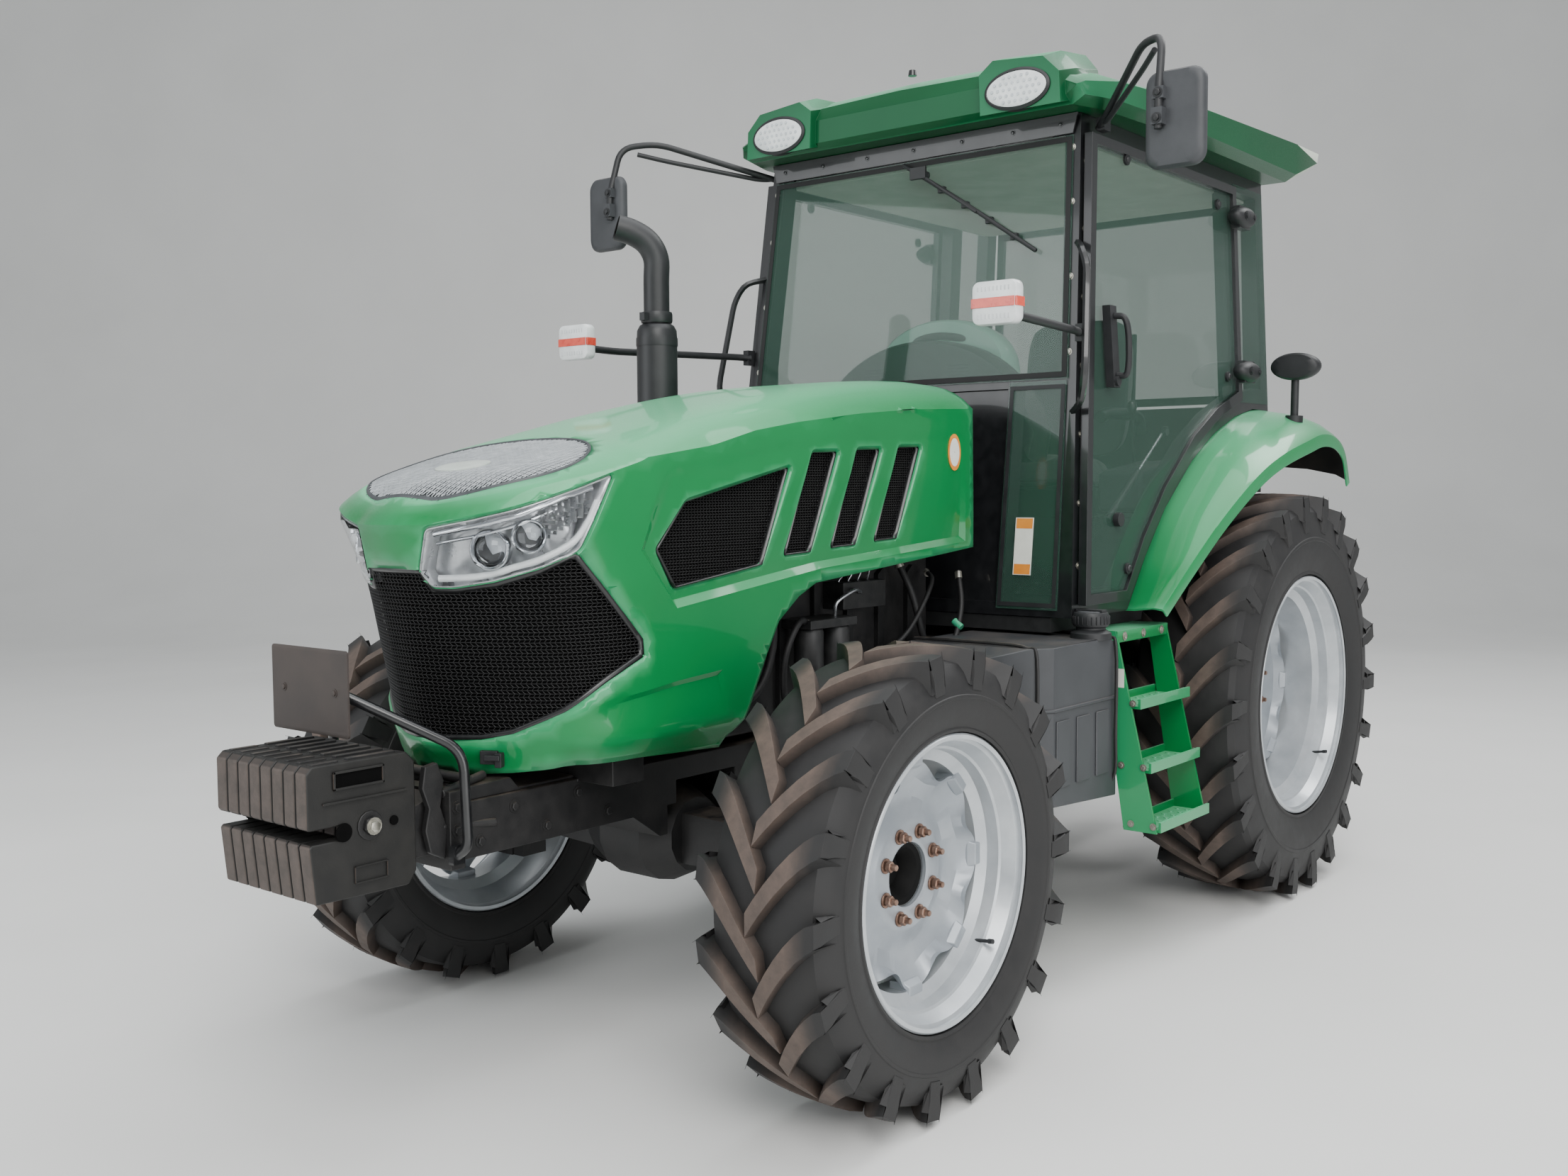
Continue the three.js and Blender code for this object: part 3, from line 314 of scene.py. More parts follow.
# --------------------------------------------------------------------- helpers
def obj(name, verts, faces, mat, body, sharp=32.0, mats=None, face_mat=None):
    me = bpy.data.meshes.new(name)
    me.from_pydata([tuple(v) for v in verts], [], faces)
    me.validate()
    me.update()
    o = bpy.data.objects.new(name, me)
    bpy.context.scene.collection.objects.link(o)
    for m in (mats or [mat]):
        me.materials.append(m)
    if face_mat:
        for p, i in zip(me.polygons, face_mat):
            p.material_index = i
    bm = bmesh.new()
    bm.from_mesh(me)
    bmesh.ops.recalc_face_normals(bm, faces=bm.faces)
    bm.to_mesh(me)
    bm.free()
    for p in me.polygons:
        p.use_smooth = True
    me.set_sharp_from_angle(angle=math.radians(sharp))
    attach(o, body)
    return o


def bevel(o, width, segments=2, angle=35.0):
    m = o.modifiers.new("edges", "BEVEL")
    m.width = width
    m.segments = segments
    m.limit_method = "ANGLE"
    m.angle_limit = math.radians(angle)
    m.harden_normals = True
    m.use_clamp_overlap = True
    return o


class Shape:
    """Collects closed bodies that are shown as one piece."""

    def __init__(self):
        self.v, self.f, self.m = [], [], []

    def add(self, verts, faces, m=0):
        k = len(self.v)
        self.v += [Vector(v) for v in verts]
        self.f += [[i + k for i in f] for f in faces]
        self.m += [m] * len(faces)
        return self

    def box(self, x0, x1, y0, y1, z0, z1, m=0, rot=None, at=None):
        vs = [Vector((x, y, z)) for z in (z0, z1) for y in (y0, y1) for x in (x0, x1)]
        if rot is not None:
            c = Vector(at) if at is not None else Vector(((x0 + x1) / 2, (y0 + y1) / 2, (z0 + z1) / 2))
            vs = [c + rot @ (v - c) for v in vs]
        return self.add(vs, [(0, 2, 3, 1), (4, 5, 7, 6), (0, 1, 5, 4), (2, 6, 7, 3), (0, 4, 6, 2), (1, 3, 7, 5)], m)

    def prism(self, poly, axis, a, b, m=0):
        """poly in the two other axes, in the order x, y, z"""
        def p(u, v, w):
            return {"x": (w, u, v), "y": (u, w, v), "z": (u, v, w)}[axis]
        n = len(poly)
        vs = [p(u, v, a) for u, v in poly] + [p(u, v, b) for u, v in poly]
        fs = [tuple(range(n))[::-1], tuple(range(n, 2 * n))] + [(i, (i + 1) % n, n + (i + 1) % n, n + i) for i in range(n)]
        return self.add(vs, fs, m)

    def rings(self, rings, closed=True, caps=True, m=0):
        n = len(rings[0])
        vs = [v for r in rings for v in r]
        fs = []
        for i in range(len(rings) - 1):
            for j in range(n if closed else n - 1):
                a, b = i * n + j, i * n + (j + 1) % n
                fs.append((a, b, b + n, a + n))
        if caps:
            fs += [tuple(range(n))[::-1], tuple(range(len(vs) - n, len(vs)))]
        return self.add(vs, fs, m)

    def rod(self, a, b, r, n=16, r2=None, m=0):
        a, b = Vector(a), Vector(b)
        d = (b - a).normalized()
        u = d.orthogonal().normalized()
        w = d.cross(u)
        rings = []
        for c, rr in ((a, r), (b, r if r2 is None else r2)):
            rings.append([c + u * rr * math.cos(t) + w * rr * math.sin(t) for t in (2 * math.pi * k / n for k in range(n))])
        return self.rings(rings, m=m)

    def bolt(self, at, axis, r=0.009, h=0.007, m=0, washer=True):
        at, d = Vector(at), Vector(axis).normalized()
        u = d.orthogonal().normalized()
        w = d.cross(u)
        def ring(rr, k, n):
            return [at + d * k + u * rr * math.cos(t) + w * rr * math.sin(t) for t in (2 * math.pi * i / n for i in range(n))]
        if washer:
            self.rings([ring(r * 1.5, 0, 14), ring(r * 1.5, h * 0.25, 14)], m=m)
        self.rings([ring(r, h * 0.2, 6), ring(r, h * 0.85, 6), ring(r * 0.8, h, 6)], m=m)
        return self

    def tube(self, pts, r, n=12, smooth=6, caps=True, m=0, taper=None):
        P = spline(pts, smooth) if smooth > 1 else [Vector(p) for p in pts]
        ts = []
        for i in range(len(P)):
            ts.append((P[min(i + 1, len(P) - 1)] - P[max(i - 1, 0)]).normalized())
        nrm = ts[0].orthogonal().normalized()
        rings = []
        for i, (p, t) in enumerate(zip(P, ts)):
            nrm = (nrm - t * nrm.dot(t)).normalized()
            bi = t.cross(nrm)
            rr = r if taper is None else r * taper(i / (len(P) - 1))
            rings.append([p + nrm * rr * math.cos(a) + bi * rr * math.sin(a) for a in (2 * math.pi * k / n for k in range(n))])
        return self.rings(rings, caps=caps, m=m)

    def lathe(self, profile, centre, n=96, m=0, closed_profile=True):
        """profile in (radius, y) about a line along Y through centre"""
        c = Vector(centre)
        rings = []
        for k in range(n):
            a = 2 * math.pi * k / n
            rings.append([Vector((c.x + r * math.cos(a), c.y + y, c.z + r * math.sin(a))) for r, y in profile])
        q = len(profile)
        vs = [v for r in rings for v in r]
        fs = []
        for k in range(n):
            for j in range(q if closed_profile else q - 1):
                a, b = k * q + j, k * q + (j + 1) % q
                c2, d2 = ((k + 1) % n) * q + (j + 1) % q, ((k + 1) % n) * q + j
                fs.append((a, b, c2, d2))
        return self.add(vs, fs, m)

    def mirror(self):
        s = Shape()
        s.v = [Vector((v.x, -v.y, v.z)) for v in self.v]
        s.f = [list(reversed(f)) for f in self.f]
        s.m = list(self.m)
        return s

    def shift(self):
        self.v = [v + Vector((OX, 0, 0)) for v in self.v]
        return self

    def join(self, other):
        k = len(self.v)
        self.v += [v.copy() for v in other.v]
        self.f += [[i + k for i in f] for f in other.f]
        self.m += other.m
        return self

    def make(self, name, mat, body, slot=None, sharp=32.0, bev=None, shift=True):
        vs = [v + Vector((OX, 0, 0)) for v in self.v] if shift else self.v
        mats = mat if isinstance(mat, list) else [mat]
        o = obj(name, vs, self.f, None, body, sharp, mats=mats, face_mat=self.m if len(mats) > 1 else None)
        if bev:
            bevel(o, *bev) if isinstance(bev, tuple) else bevel(o, bev)
        return o


def spline(pts, k):
    P = [Vector(p) for p in pts]
    if len(P) < 3:
        return [P[0].lerp(P[-1], i / k) for i in range(k + 1)]
    out = []
    for i in range(len(P) - 1):
        p0 = P[i - 1] if i else P[0] * 2 - P[1]
        p1, p2 = P[i], P[i + 1]
        p3 = P[i + 2] if i + 2 < len(P) else P[-1] * 2 - P[-2]
        for j in range(k):
            f = j / k
            out.append(0.5 * (2 * p1 + (p2 - p0) * f + (2 * p0 - 5 * p1 + 4 * p2 - p3) * f * f + (3 * p1 - p0 - 3 * p2 + p3) * f ** 3))
    out.append(P[-1])
    return out


def bend(pts, r):
    """straight runs with rounded corners of radius r"""
    P = [Vector(p) for p in pts]
    out = [P[0]]
    for i in range(1, len(P) - 1):
        a, b = P[i - 1] - P[i], P[i + 1] - P[i]
        d = min(r, a.length * 0.45, b.length * 0.45)
        p, q = P[i] + a.normalized() * d, P[i] + b.normalized() * d
        for k in range(7):
            t = k / 6
            out.append(p * (1 - t) ** 2 + P[i] * 2 * t * (1 - t) + q * t * t)
    out.append(P[-1])
    return out


def paint_nodes(mat, *names):
    for n in names:
        me = frame["nodes"][n].data
        me.materials.clear()
        me.materials.append(mat)


for sub in frame["record"]["subparts"]:
    if sub["node"] in frame["nodes"]:
        paint_nodes(SLOT[sub["material_slot"]], sub["node"])


def soften(name, piece, mat, body, width, segments=2, angle=30.0, sharp=30.0):
    """The CAD node's own shape, with its edges rounded."""
    src = frame["nodes"][name]
    me = src.data.copy()
    bm = bmesh.new()
    bm.from_mesh(me)
    bmesh.ops.remove_doubles(bm, verts=bm.verts, dist=0.00002)
    bmesh.ops.dissolve_limit(bm, angle_limit=math.radians(1.5), verts=bm.verts, edges=bm.edges)
    bmesh.ops.recalc_face_normals(bm, faces=bm.faces)
    bm.to_mesh(me)
    bm.free()
    o = bpy.data.objects.new(piece, me)
    bpy.context.scene.collection.objects.link(o)
    me.materials.clear()
    me.materials.append(mat)
    for p in me.polygons:
        p.use_smooth = True
    me.set_sharp_from_angle(angle=math.radians(sharp))
    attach(o, body)
    if width:
        bevel(o, width, segments, angle)
    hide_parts(name)
    return o

# ------------------------------------------------------------------------ hood
LEVELS = [
    (0.80, [(3.005, 0), (2.998, .05), (2.985, .10), (2.940, .19), (2.91, .24), (2.88, .288), (2.84, .333), (2.78, .362), (2.70, .374)]),
    (0.87, [(3.042, 0), (3.033, .05), (3.016, .10), (2.965, .195), (2.930, .25), (2.895, .30), (2.85, .342), (2.785, .371), (2.70, .385)]),
    (1.15, [(3.088, 0), (3.083, .05), (3.070, .10), (3.028, .19), (2.990, .25), (2.948, .30), (2.893, .342), (2.80, .374), (2.70, .385)]),
    (1.24, [(3.112, 0), (3.109, .05), (3.102, .095), (3.052, .19), (3.012, .25), (2.965, .305), (2.90, .35), (2.80, .377), (2.70, .385)]),
    (1.34, [(3.134, 0), (3.127, .06), (3.106, .119), (3.075, .215), (3.035, .29), (2.975, .338), (2.90, .365), (2.80, .380), (2.70, .385)]),
    (1.75, [(3.114, 0), (3.107, .0582), (3.086, .1154), (3.055, .2086), (3.015, .2813), (2.955, .3279), (2.88, .354), (2.78, .3686), (2.70, .380)]),
]
CREASE = [(0, 1.336), (1, 1.336), (2, 1.337), (3, 1.355), (4, 1.371), (5, 1.392), (6, 1.417), (7, 1.45), (8, 1.480), (8.16, 1.51),
          (8.273, 1.548), (8.39, 1.572), (8.59, 1.603), (8.78, 1.623), (9, 1.635)]
CROWN = [(1.352, 1.715), (1.5, 1.7186), (1.75, 1.7029), (2.0, 1.6718), (2.3, 1.6131), (2.6, 1.5413), (2.8, 1.4869), (2.95, 1.4534),
         (3.06, 1.4248), (3.134, 1.4055)]
REAR_X = 1.352


def interp(table, x):
    if x <= table[0][0]:
        return table[0][1]
    for (a, u), (b, v) in zip(table, table[1:]):
        if x <= b:
            return u + (v - u) * (x - a) / (b - a)
    return table[-1][1]


def smooth(table, x):
    n = len(table)
    i = 0
    while i < n - 2 and x > table[i + 1][0]:
        i += 1
    (xa, a), (xb, b) = table[i], table[i + 1]
    f = min(max((x - xa) / (xb - xa), 0), 1)
    h = xb - xa
    ma = (b - table[i - 1][1]) / (xb - table[i - 1][0]) * h if i else b - a
    mb = (table[i + 2][1] - a) / (table[i + 2][0] - xa) * h if i + 2 < n else b - a
    return (2 * f ** 3 - 3 * f * f + 1) * a + (f ** 3 - 2 * f * f + f) * ma + (3 * f * f - 2 * f ** 3) * b + (f ** 3 - f * f) * mb


def cr(P, t):
    n = len(P)
    i = min(max(int(t), 0), n - 2)
    f = t - i
    p1, p2 = P[i], P[i + 1]
    p0 = P[i - 1] if i else (P[1][0], -P[1][1])
    p3 = P[i + 2] if i + 2 < n else P[-1]
    return tuple(.5 * (2 * b + (c - a) * f + (2 * a - 5 * b + 4 * c - d) * f * f + (3 * b - a - 3 * c + d) * f ** 3)
                 for a, b, c, d in zip(p0, p1, p2, p3))


def plan(s, z):
    t = min(s, 8)
    k = 0
    while k < len(LEVELS) - 2 and z > LEVELS[k + 1][0]:
        k += 1
    (za, A), (zb, B) = LEVELS[k], LEVELS[k + 1]
    f = min(max((z - za) / (zb - za), -0.3), 1)
    a, b = cr(A, t), cr(B, t)
    x, y = a[0] + (b[0] - a[0]) * f, a[1] + (b[1] - a[1]) * f
    if s > 8:
        x = 2.70 - (s - 8) * (2.70 - REAR_X)
    return x, y


# arc length along the wall stands for s, so that shapes drawn on it aren't stretched
UT = [(0.0, 0.0)]
for i in range(1, 181):
    s0, s1 = (i - 1) * .05, i * .05
    a, b = plan(s0, 1.2), plan(s1, 1.2)
    UT.append((s1, UT[-1][1] + math.hypot(b[0] - a[0], b[1] - a[1])))
SU = [(u, s) for s, u in UT]
U9 = UT[-1][1]


def us(u):
    return interp(SU, u)


def su(s):
    return interp(UT, s)


def ux(x, z):
    lo, hi = 0.0, 9.0
    for _ in range(40):
        m = (lo + hi) / 2
        if plan(m, z)[0] > x:
            lo = m
        else:
            hi = m
    return su((lo + hi) / 2)


def wall(u, z, d=0.0):
    s = us(abs(u))
    x, y = plan(s, z)
    e = 0.04
    a, b = plan(max(s - e, 0), z), plan(min(s + e, 9), z)
    tx, ty = b[0] - a[0], b[1] - a[1]
    if s < e:
        tx = 0
    n = math.hypot(tx, ty) or 1
    x -= d * ty / n
    y += d * tx / n
    y = max(y, 0)
    return Vector((x, -y if u < 0 else y, z))


def crease(s):
    return interp(CREASE, s)


def roof(s, r, d=0.0):
    zc = crease(s)
    px, py = plan(s, zc)
    qx = px if s >= 8 else 2.70 + .14 * (1 - s / 8)
    return Vector((qx + r * (px - qx), r * py, smooth(CROWN, qx + r * (px - qx)) - max(0, smooth(CROWN, px) - zc) * r ** 5.05 - d))


def inside(p, poly):
    x, y = p
    c = False
    for i in range(len(poly)):
        (x0, y0), (x1, y1) = poly[i - 1], poly[i]
        if (y0 > y) != (y1 > y) and x < (x1 - x0) * (y - y0) / (y1 - y0) + x0:
            c = not c
    return c


def seg_dist(p, poly):
    best = 9.0
    for i in range(len(poly)):
        (x0, y0), (x1, y1) = poly[i - 1], poly[i]
        dx, dy = x1 - x0, y1 - y0
        q = dx * dx + dy * dy
        t = 0 if q == 0 else min(max(((p[0] - x0) * dx + (p[1] - y0) * dy) / q, 0), 1)
        best = min(best, math.hypot(p[0] - x0 - t * dx, p[1] - y0 - t * dy))
    return best


def area(poly):
    return sum(poly[i - 1][0] * poly[i][1] - poly[i][0] * poly[i - 1][1] for i in range(len(poly))) / 2


def offset(poly, d):
    """outward for d > 0"""
    if area(poly) < 0:
        return list(reversed(offset(list(reversed(poly)), d)))
    out = []
    n = len(poly)
    for i in range(n):
        a, b, c = poly[i - 1], poly[i], poly[(i + 1) % n]
        e1 = Vector((b[0] - a[0], b[1] - a[1])).normalized()
        e2 = Vector((c[0] - b[0], c[1] - b[1])).normalized()
        n1, n2 = Vector((e1.y, -e1.x)), Vector((e2.y, -e2.x))
        m = n1 + n2
        q = m.dot(n1)
        m = m / q if abs(q) > 0.25 else n1
        out.append((b[0] + m.x * d, b[1] + m.y * d))
    return out


def dense(poly, pitch, closed=True):
    out = []
    n = len(poly)
    for i in range(n if closed else n - 1):
        a, b = poly[i], poly[(i + 1) % n]
        k = max(1, int(math.ceil(math.hypot(b[0] - a[0], b[1] - a[1]) / pitch)))
        out += [(a[0] + (b[0] - a[0]) * j / k, a[1] + (b[1] - a[1]) * j / k) for j in range(k)]
    if not closed:
        out.append(poly[-1])
    return out


def rounded(poly, r, k=4):
    out = []
    n = len(poly)
    for i in range(n):
        a, b, c = Vector(poly[i - 1]), Vector(poly[i]), Vector(poly[(i + 1) % n])
        d = min(r, (a - b).length * .4, (c - b).length * .4)
        p, q = b + (a - b).normalized() * d, b + (c - b).normalized() * d
        for j in range(k + 1):
            t = j / k
            v = p * (1 - t) ** 2 + b * 2 * t * (1 - t) + q * t * t
            out.append((v.x, v.y))
    return out


def patch(outer, holes, lines, grid, clear=0.006):
    """triangles of the region inside outer and outside the holes, with the lines kept as edges"""
    pts, edges = [], []
    for loop in [outer] + holes + lines:
        k = len(pts)
        pts += [Vector(p) for p in loop]
        edges += [(k + i, k + (i + 1) % len(loop)) for i in range(len(loop))]
    for g in grid:
        if inside(g, outer) and not any(inside(g, h) for h in holes) and all(seg_dist(g, l) > clear for l in [outer] + holes + lines):
            pts.append(Vector(g))
    v, e, f, *_ = geometry.delaunay_2d_cdt(pts, edges, [], 0, 1e-6)
    keep = []
    for t in f:
        c = (sum(v[i].x for i in t) / 3, sum(v[i].y for i in t) / 3)
        if inside(c, outer) and not any(inside(c, h) for h in holes):
            keep.append(tuple(t))
    return [(p.x, p.y) for p in v], keep


def tidy(o, dist=0.0004):
    bm = bmesh.new()
    bm.from_mesh(o.data)
    bmesh.ops.remove_doubles(bm, verts=bm.verts, dist=dist)
    loose = [v for v in bm.verts if not v.link_faces]
    bmesh.ops.delete(bm, geom=loose, context="VERTS")
    bmesh.ops.recalc_face_normals(bm, faces=bm.faces)
    bm.to_mesh(o.data)
    bm.free()


def sheet_of(o, t):
    m = o.modifiers.new("sheet", "SOLIDIFY")
    m.thickness = t
    m.offset = -1
    m.use_even_offset = False
    m.use_quality_normals = True
    return o


def Z(poly):
    """(x, z) points on the side to the wall's own coordinates"""
    return [(ux(x, z), z) for x, z in poly]


LAMP = [(su(s), z) for s, z in [(2.0, 1.328), (3.1, 1.347), (4.4, 1.371), (5.9, 1.407), (6.95, 1.441), (6.15, 1.28), (5.1, 1.244),
                                (3.7, 1.217), (2.6, 1.203), (2.15, 1.203), (1.95, 1.236)]]
GRILLE_HALF = [(su(s), z) for s, z in [(0, 1.2405), (1.95, 1.2405), (2.15, 1.199), (2.6, 1.199), (3.7, 1.213), (5.1, 1.240), (6.12, 1.275),
                                       (7.75, 1.078), (7.78, 1.04), (6.7, .99), (5.3, .93), (3.3, .881), (2.5, .866), (1, .862), (0, .86)]]
BOTTOM = [(0, .788), (2, .783), (3, .79), (5, .803), (8, .805)]
SKIRT = [(2.42, .79), (2.365, .88), (2.30, 1.0), (2.249, 1.084), (2.17, 1.140), (2.10, 1.170), (REAR_X, 1.234)]

S_TOP = [i * .2 for i in range(40)] + [8 + i * .025 for i in range(41)]


def wall_half():
    top = [(su(s), crease(s)) for s in S_TOP]
    bottom = dense([(su(s), z) for s, z in BOTTOM], .03, closed=False)
    skirt = dense([(ux(x, z), z) for x, z in SKIRT], .03, closed=False)
    rear = dense([(U9, 1.234), (U9, 1.635)], .04, closed=False)[1:-1]
    nose = dense([(0, 1.336), (0, 1.2405)], .03, closed=False)[1:]
    low = dense([(0, .86), (0, .788)], .03, closed=False)[:-1]
    # the half wall goes round: bottom, skirt, rear, top edge, nose, then along the grille's own edge
    lamp = dense(rounded(LAMP, .012), .02)
    g = dense(rounded(GRILLE_HALF[1:-1], .012)[5:-5], .02, closed=False)
    g = [(su(0), 1.2405)] + [(su(.9), 1.2405)] + [GRILLE_HALF[1]] + [p for p in g] + [GRILLE_HALF[-2], (su(.5), .861)]
    outer = bottom + skirt + rear + list(reversed(top)) + nose + g[1:] + low
    cleaned = []
    for p in outer:
        if not cleaned or math.hypot(p[0] - cleaned[-1][0], p[1] - cleaned[-1][1]) > .0015:
            cleaned.append(p)
    outer = cleaned
    hexv = Z([(2.569, 1.380), (2.195, 1.461), (2.299, 1.226), (2.604, 1.187), (2.663, 1.274)])
    slots = [Z([(x, 1.499 - (x - 2.102) * .05), (x + .105, 1.246 - (x - 2.102) * .06), (x + .006, 1.250 - (x - 2.102) * .06),
                (x - .106, 1.502 - (x - 2.102) * .05)]) for x in (2.102, 1.912, 1.722)]
    vents = [dense(rounded(v, .010), .03) for v in [hexv] + slots]
    vent_rims = [offset(v, .009) for v in vents]
    zone = Z([(2.645, 1.452), (2.725, 1.274), (2.613, 1.140), (2.082, 1.205), (1.395, 1.252), (1.395, 1.560), (1.9, 1.560), (2.25, 1.520)])
    zone_out = dense(zone, .03)
    zone_in = dense(offset(zone, -.017), .03)
    facet = Z([(2.90, .912), (2.80, .951), (2.61, .975), (2.46, .985), (2.43, .868), (2.60, .850), (2.895, .866)])
    facet_out, facet_in = dense(facet, .03), dense(offset(facet, -.012), .03)
    lamp_rim = offset(lamp, .007)
    grid = [(i * .024 + (.012 if j % 2 else 0), .78 + j * .021) for i in range(90) for j in range(43)]
    pts, tris = patch(outer, [lamp] + vents, [lamp_rim] + vent_rims + [zone_out, zone_in, facet_out, facet_in], grid)
    keys = lambda loops: {(round(p[0], 5), round(p[1], 5)) for l in loops for p in l}
    hole_edge, gedge, ledge = keys(vents), keys([g]), keys([lamp])

    def depth(p):
        k = (round(p[0], 5), round(p[1], 5))
        d = 0.0
        if inside(p, zone):
            t = min(max((p[1] - 1.19) / .27, 0), 1)
            d += (.016 * (1 - t) ** 1.2 + .002) * min(seg_dist(p, zone) / .0165, 1)
        if inside(p, facet):
            d += .0065 * min(max((p[0] - su(5.8)) / .1, .2), 1) * min(seg_dist(p, facet) / .0115, 1) * min(max((p[1] - .880) / .070, 0), 1)
        if p[1] < .856 and p[0] > su(4.4):
            # the lower edge rolls under, clear of the tyre at full lock
            d += .038 * min((.856 - p[1]) / .050, 1) ** 1.2 * min((p[0] - su(4.4)) / (su(5.4) - su(4.4)), 1)
        if k in hole_edge:
            d += .007
        if k in ledge or k in gedge:
            d += .006
        return d
    return [wall(p[0], p[1], depth(p)) for p in pts], tris


def roof_half():
    L = .385
    # outline of the oval intake in the roof's own coordinates
    oval = []
    for k in range(49):
        a = math.pi * k / 48
        X, Y = 2.862 + .216 * math.cos(a), .296 * math.sin(a)
        lo, hi = 0.0, 8.999
        for _ in range(44):
            m = (lo + hi) / 2
            px, py = plan(m, crease(m))
            qx = px if m >= 8 else 2.70 + .14 * (1 - m / 8)
            if (X - qx) * py - Y * (px - qx) > 0:
                hi = m
            else:
                lo = m
        m = (lo + hi) / 2
        px, py = plan(m, crease(m))
        qx = px if m >= 8 else 2.70 + .14 * (1 - m / 8)
        r = math.hypot(X - qx, Y) / math.hypot(px - qx, py)
        oval.append((su(m), (1 - r) * L))
    oval[0] = (0.0, oval[0][1])
    top = [(su(s), 0.0) for s in S_TOP]
    rear = [(U9, L * k / 12) for k in range(1, 12)]
    mid_x = [2.646 - (2.646 - REAR_X) * k / 40 for k in range(1, 41)]
    ridge = [(ux(x, 1.5), L) for x in reversed(mid_x)]
    ridge[0] = (U9, L)
    last = (ux(2.646, 1.5), L)
    oval[-1] = last
    outer = top + rear + ridge + list(reversed(oval)) + [(0.0, oval[0][1] * k / 3) for k in (2, 1)]
    rows = [.008, .02, .04, .065, .095, .13, .17, .215, .265, .32, .355]
    grid = [(i * .03 + (.015 if j % 2 else 0), r) for i in range(70) for j, r in enumerate(rows)]
    pts, tris = patch(outer, [], [], grid, .004)
    out = []
    for u, w in pts:
        s, r = us(u), 1 - w / L
        out.append(roof(s, r))
    # points along the oval's edge on the roof, returned as well
    return out, tris, [roof(us(u), 1 - w / L) for u, w in oval]


def both_sides(verts, tris):
    n = len(verts)
    vs = list(verts) + [Vector((v.x, -v.y, v.z)) for v in verts]
    return vs, tris + [(a + n, c + n, b + n) for a, b, c in tris]


wv, wt = wall_half()
rv, rt, OVAL = roof_half()
n = len(wv)
half_v = wv + rv
half_t = wt + [tuple(i + n for i in t) for t in rt]
hv, hf = both_sides(half_v, half_t)
hood = obj("hood_panels", [v + Vector((OX, 0, 0)) for v in hv], hf, GREEN, "hood", sharp=26)
tidy(hood, .0007)
for p in hood.data.polygons:
    p.use_smooth = True
hood.data.set_sharp_from_angle(angle=math.radians(24))
sheet_of(hood, .006)
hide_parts("hood_shell")


def lattice(name, poly, pu, pz, place, body, wire=.0017, mat=MESH_BLACK, skew=.5):
    """a woven screen: cells of a grid inside poly, opened up to wires"""
    u0, u1 = min(p[0] for p in poly), max(p[0] for p in poly)
    z0, z1 = min(p[1] for p in poly), max(p[1] for p in poly)
    nu, nz = int((u1 - u0) / pu) + 1, int((z1 - z0) / pz) + 1
    idx, vs, fs = {}, [], []

    def vert(i, j):
        if (i, j) not in idx:
            idx[i, j] = len(vs)
            vs.append(place(u0 + (i + (skew if j % 2 else 0)) * pu, z0 + j * pz) + Vector((OX, 0, 0)))
        return idx[i, j]
    for i in range(nu):
        for j in range(nz):
            if inside((u0 + (i + .5 + skew / 2) * pu, z0 + (j + .5) * pz), poly):
                fs.append((vert(i, j), vert(i + 1, j), vert(i + 1, j + 1), vert(i, j + 1)))
    o = obj(name, vs, fs, mat, body, sharp=60)
    m = o.modifiers.new("wires", "WIREFRAME")
    m.thickness = wire
    m.use_even_offset = False
    return o


def surface(name, poly, place, mat, body, pitch=.03, thick=0, shift=True):
    d = dense(poly, pitch)
    u0, u1 = min(p[0] for p in poly), max(p[0] for p in poly)
    z0, z1 = min(p[1] for p in poly), max(p[1] for p in poly)
    grid = [(u0 + i * pitch, z0 + j * pitch) for i in range(int((u1 - u0) / pitch) + 2) for j in range(int((z1 - z0) / pitch) + 2)]
    pts, tris = patch(d, [], [], grid)
    o = obj(name, [place(*p) + Vector((OX, 0, 0)) for p in pts], tris, mat, body, sharp=40)
    tidy(o, .0002)
    for p in o.data.polygons:
        p.use_smooth = True
    if thick:
        sheet_of(o, thick)
    return o


# ---- front grille: screen in a frame, with painted shade: a near-black sheet behind it
full = GRILLE_HALF[:-1] + [(su(.5), .861)]
full = [(-u, z) for u, z in reversed(full) if u > 1e-6] + [p for p in full if p[0] > 1e-6]
grille_poly = offset(full, .004)
shade_sheet = surface("grille_backing", offset(full, -.004), lambda u, z: wall(u, z, .030), SHADE_BLACK, "hood", .04, .002)
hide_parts("front_grille")
lattice("grille_screen", grille_poly, .0125, .0075, lambda u, z: wall(u, z, .011), "hood", .0024)
# frame round the grille, black, just inside the paint
def rim_strip(name, poly, place_out, place_in, mat, body, width, closed=True):
    o1, o2 = dense(poly, .02), None
    inner = offset(o1, -width)
    vs, fs = [], []
    n = len(o1)
    for a, b in zip(o1, inner):
        vs += [place_out(*a), place_in(*b)]
    for i in range(n if closed else n - 1):
        a, b = 2 * i, 2 * ((i + 1) % n)
        fs.append((a, b, b + 1, a + 1))
    o = obj(name, [v + Vector((OX, 0, 0)) for v in vs], fs, mat, body, sharp=50)
    sheet_of(o, .003)
    return o


rim_strip("grille_frame", full, lambda u, z: wall(u, z, .005), lambda u, z: wall(u, z, .012), BLACK, "hood", .012)

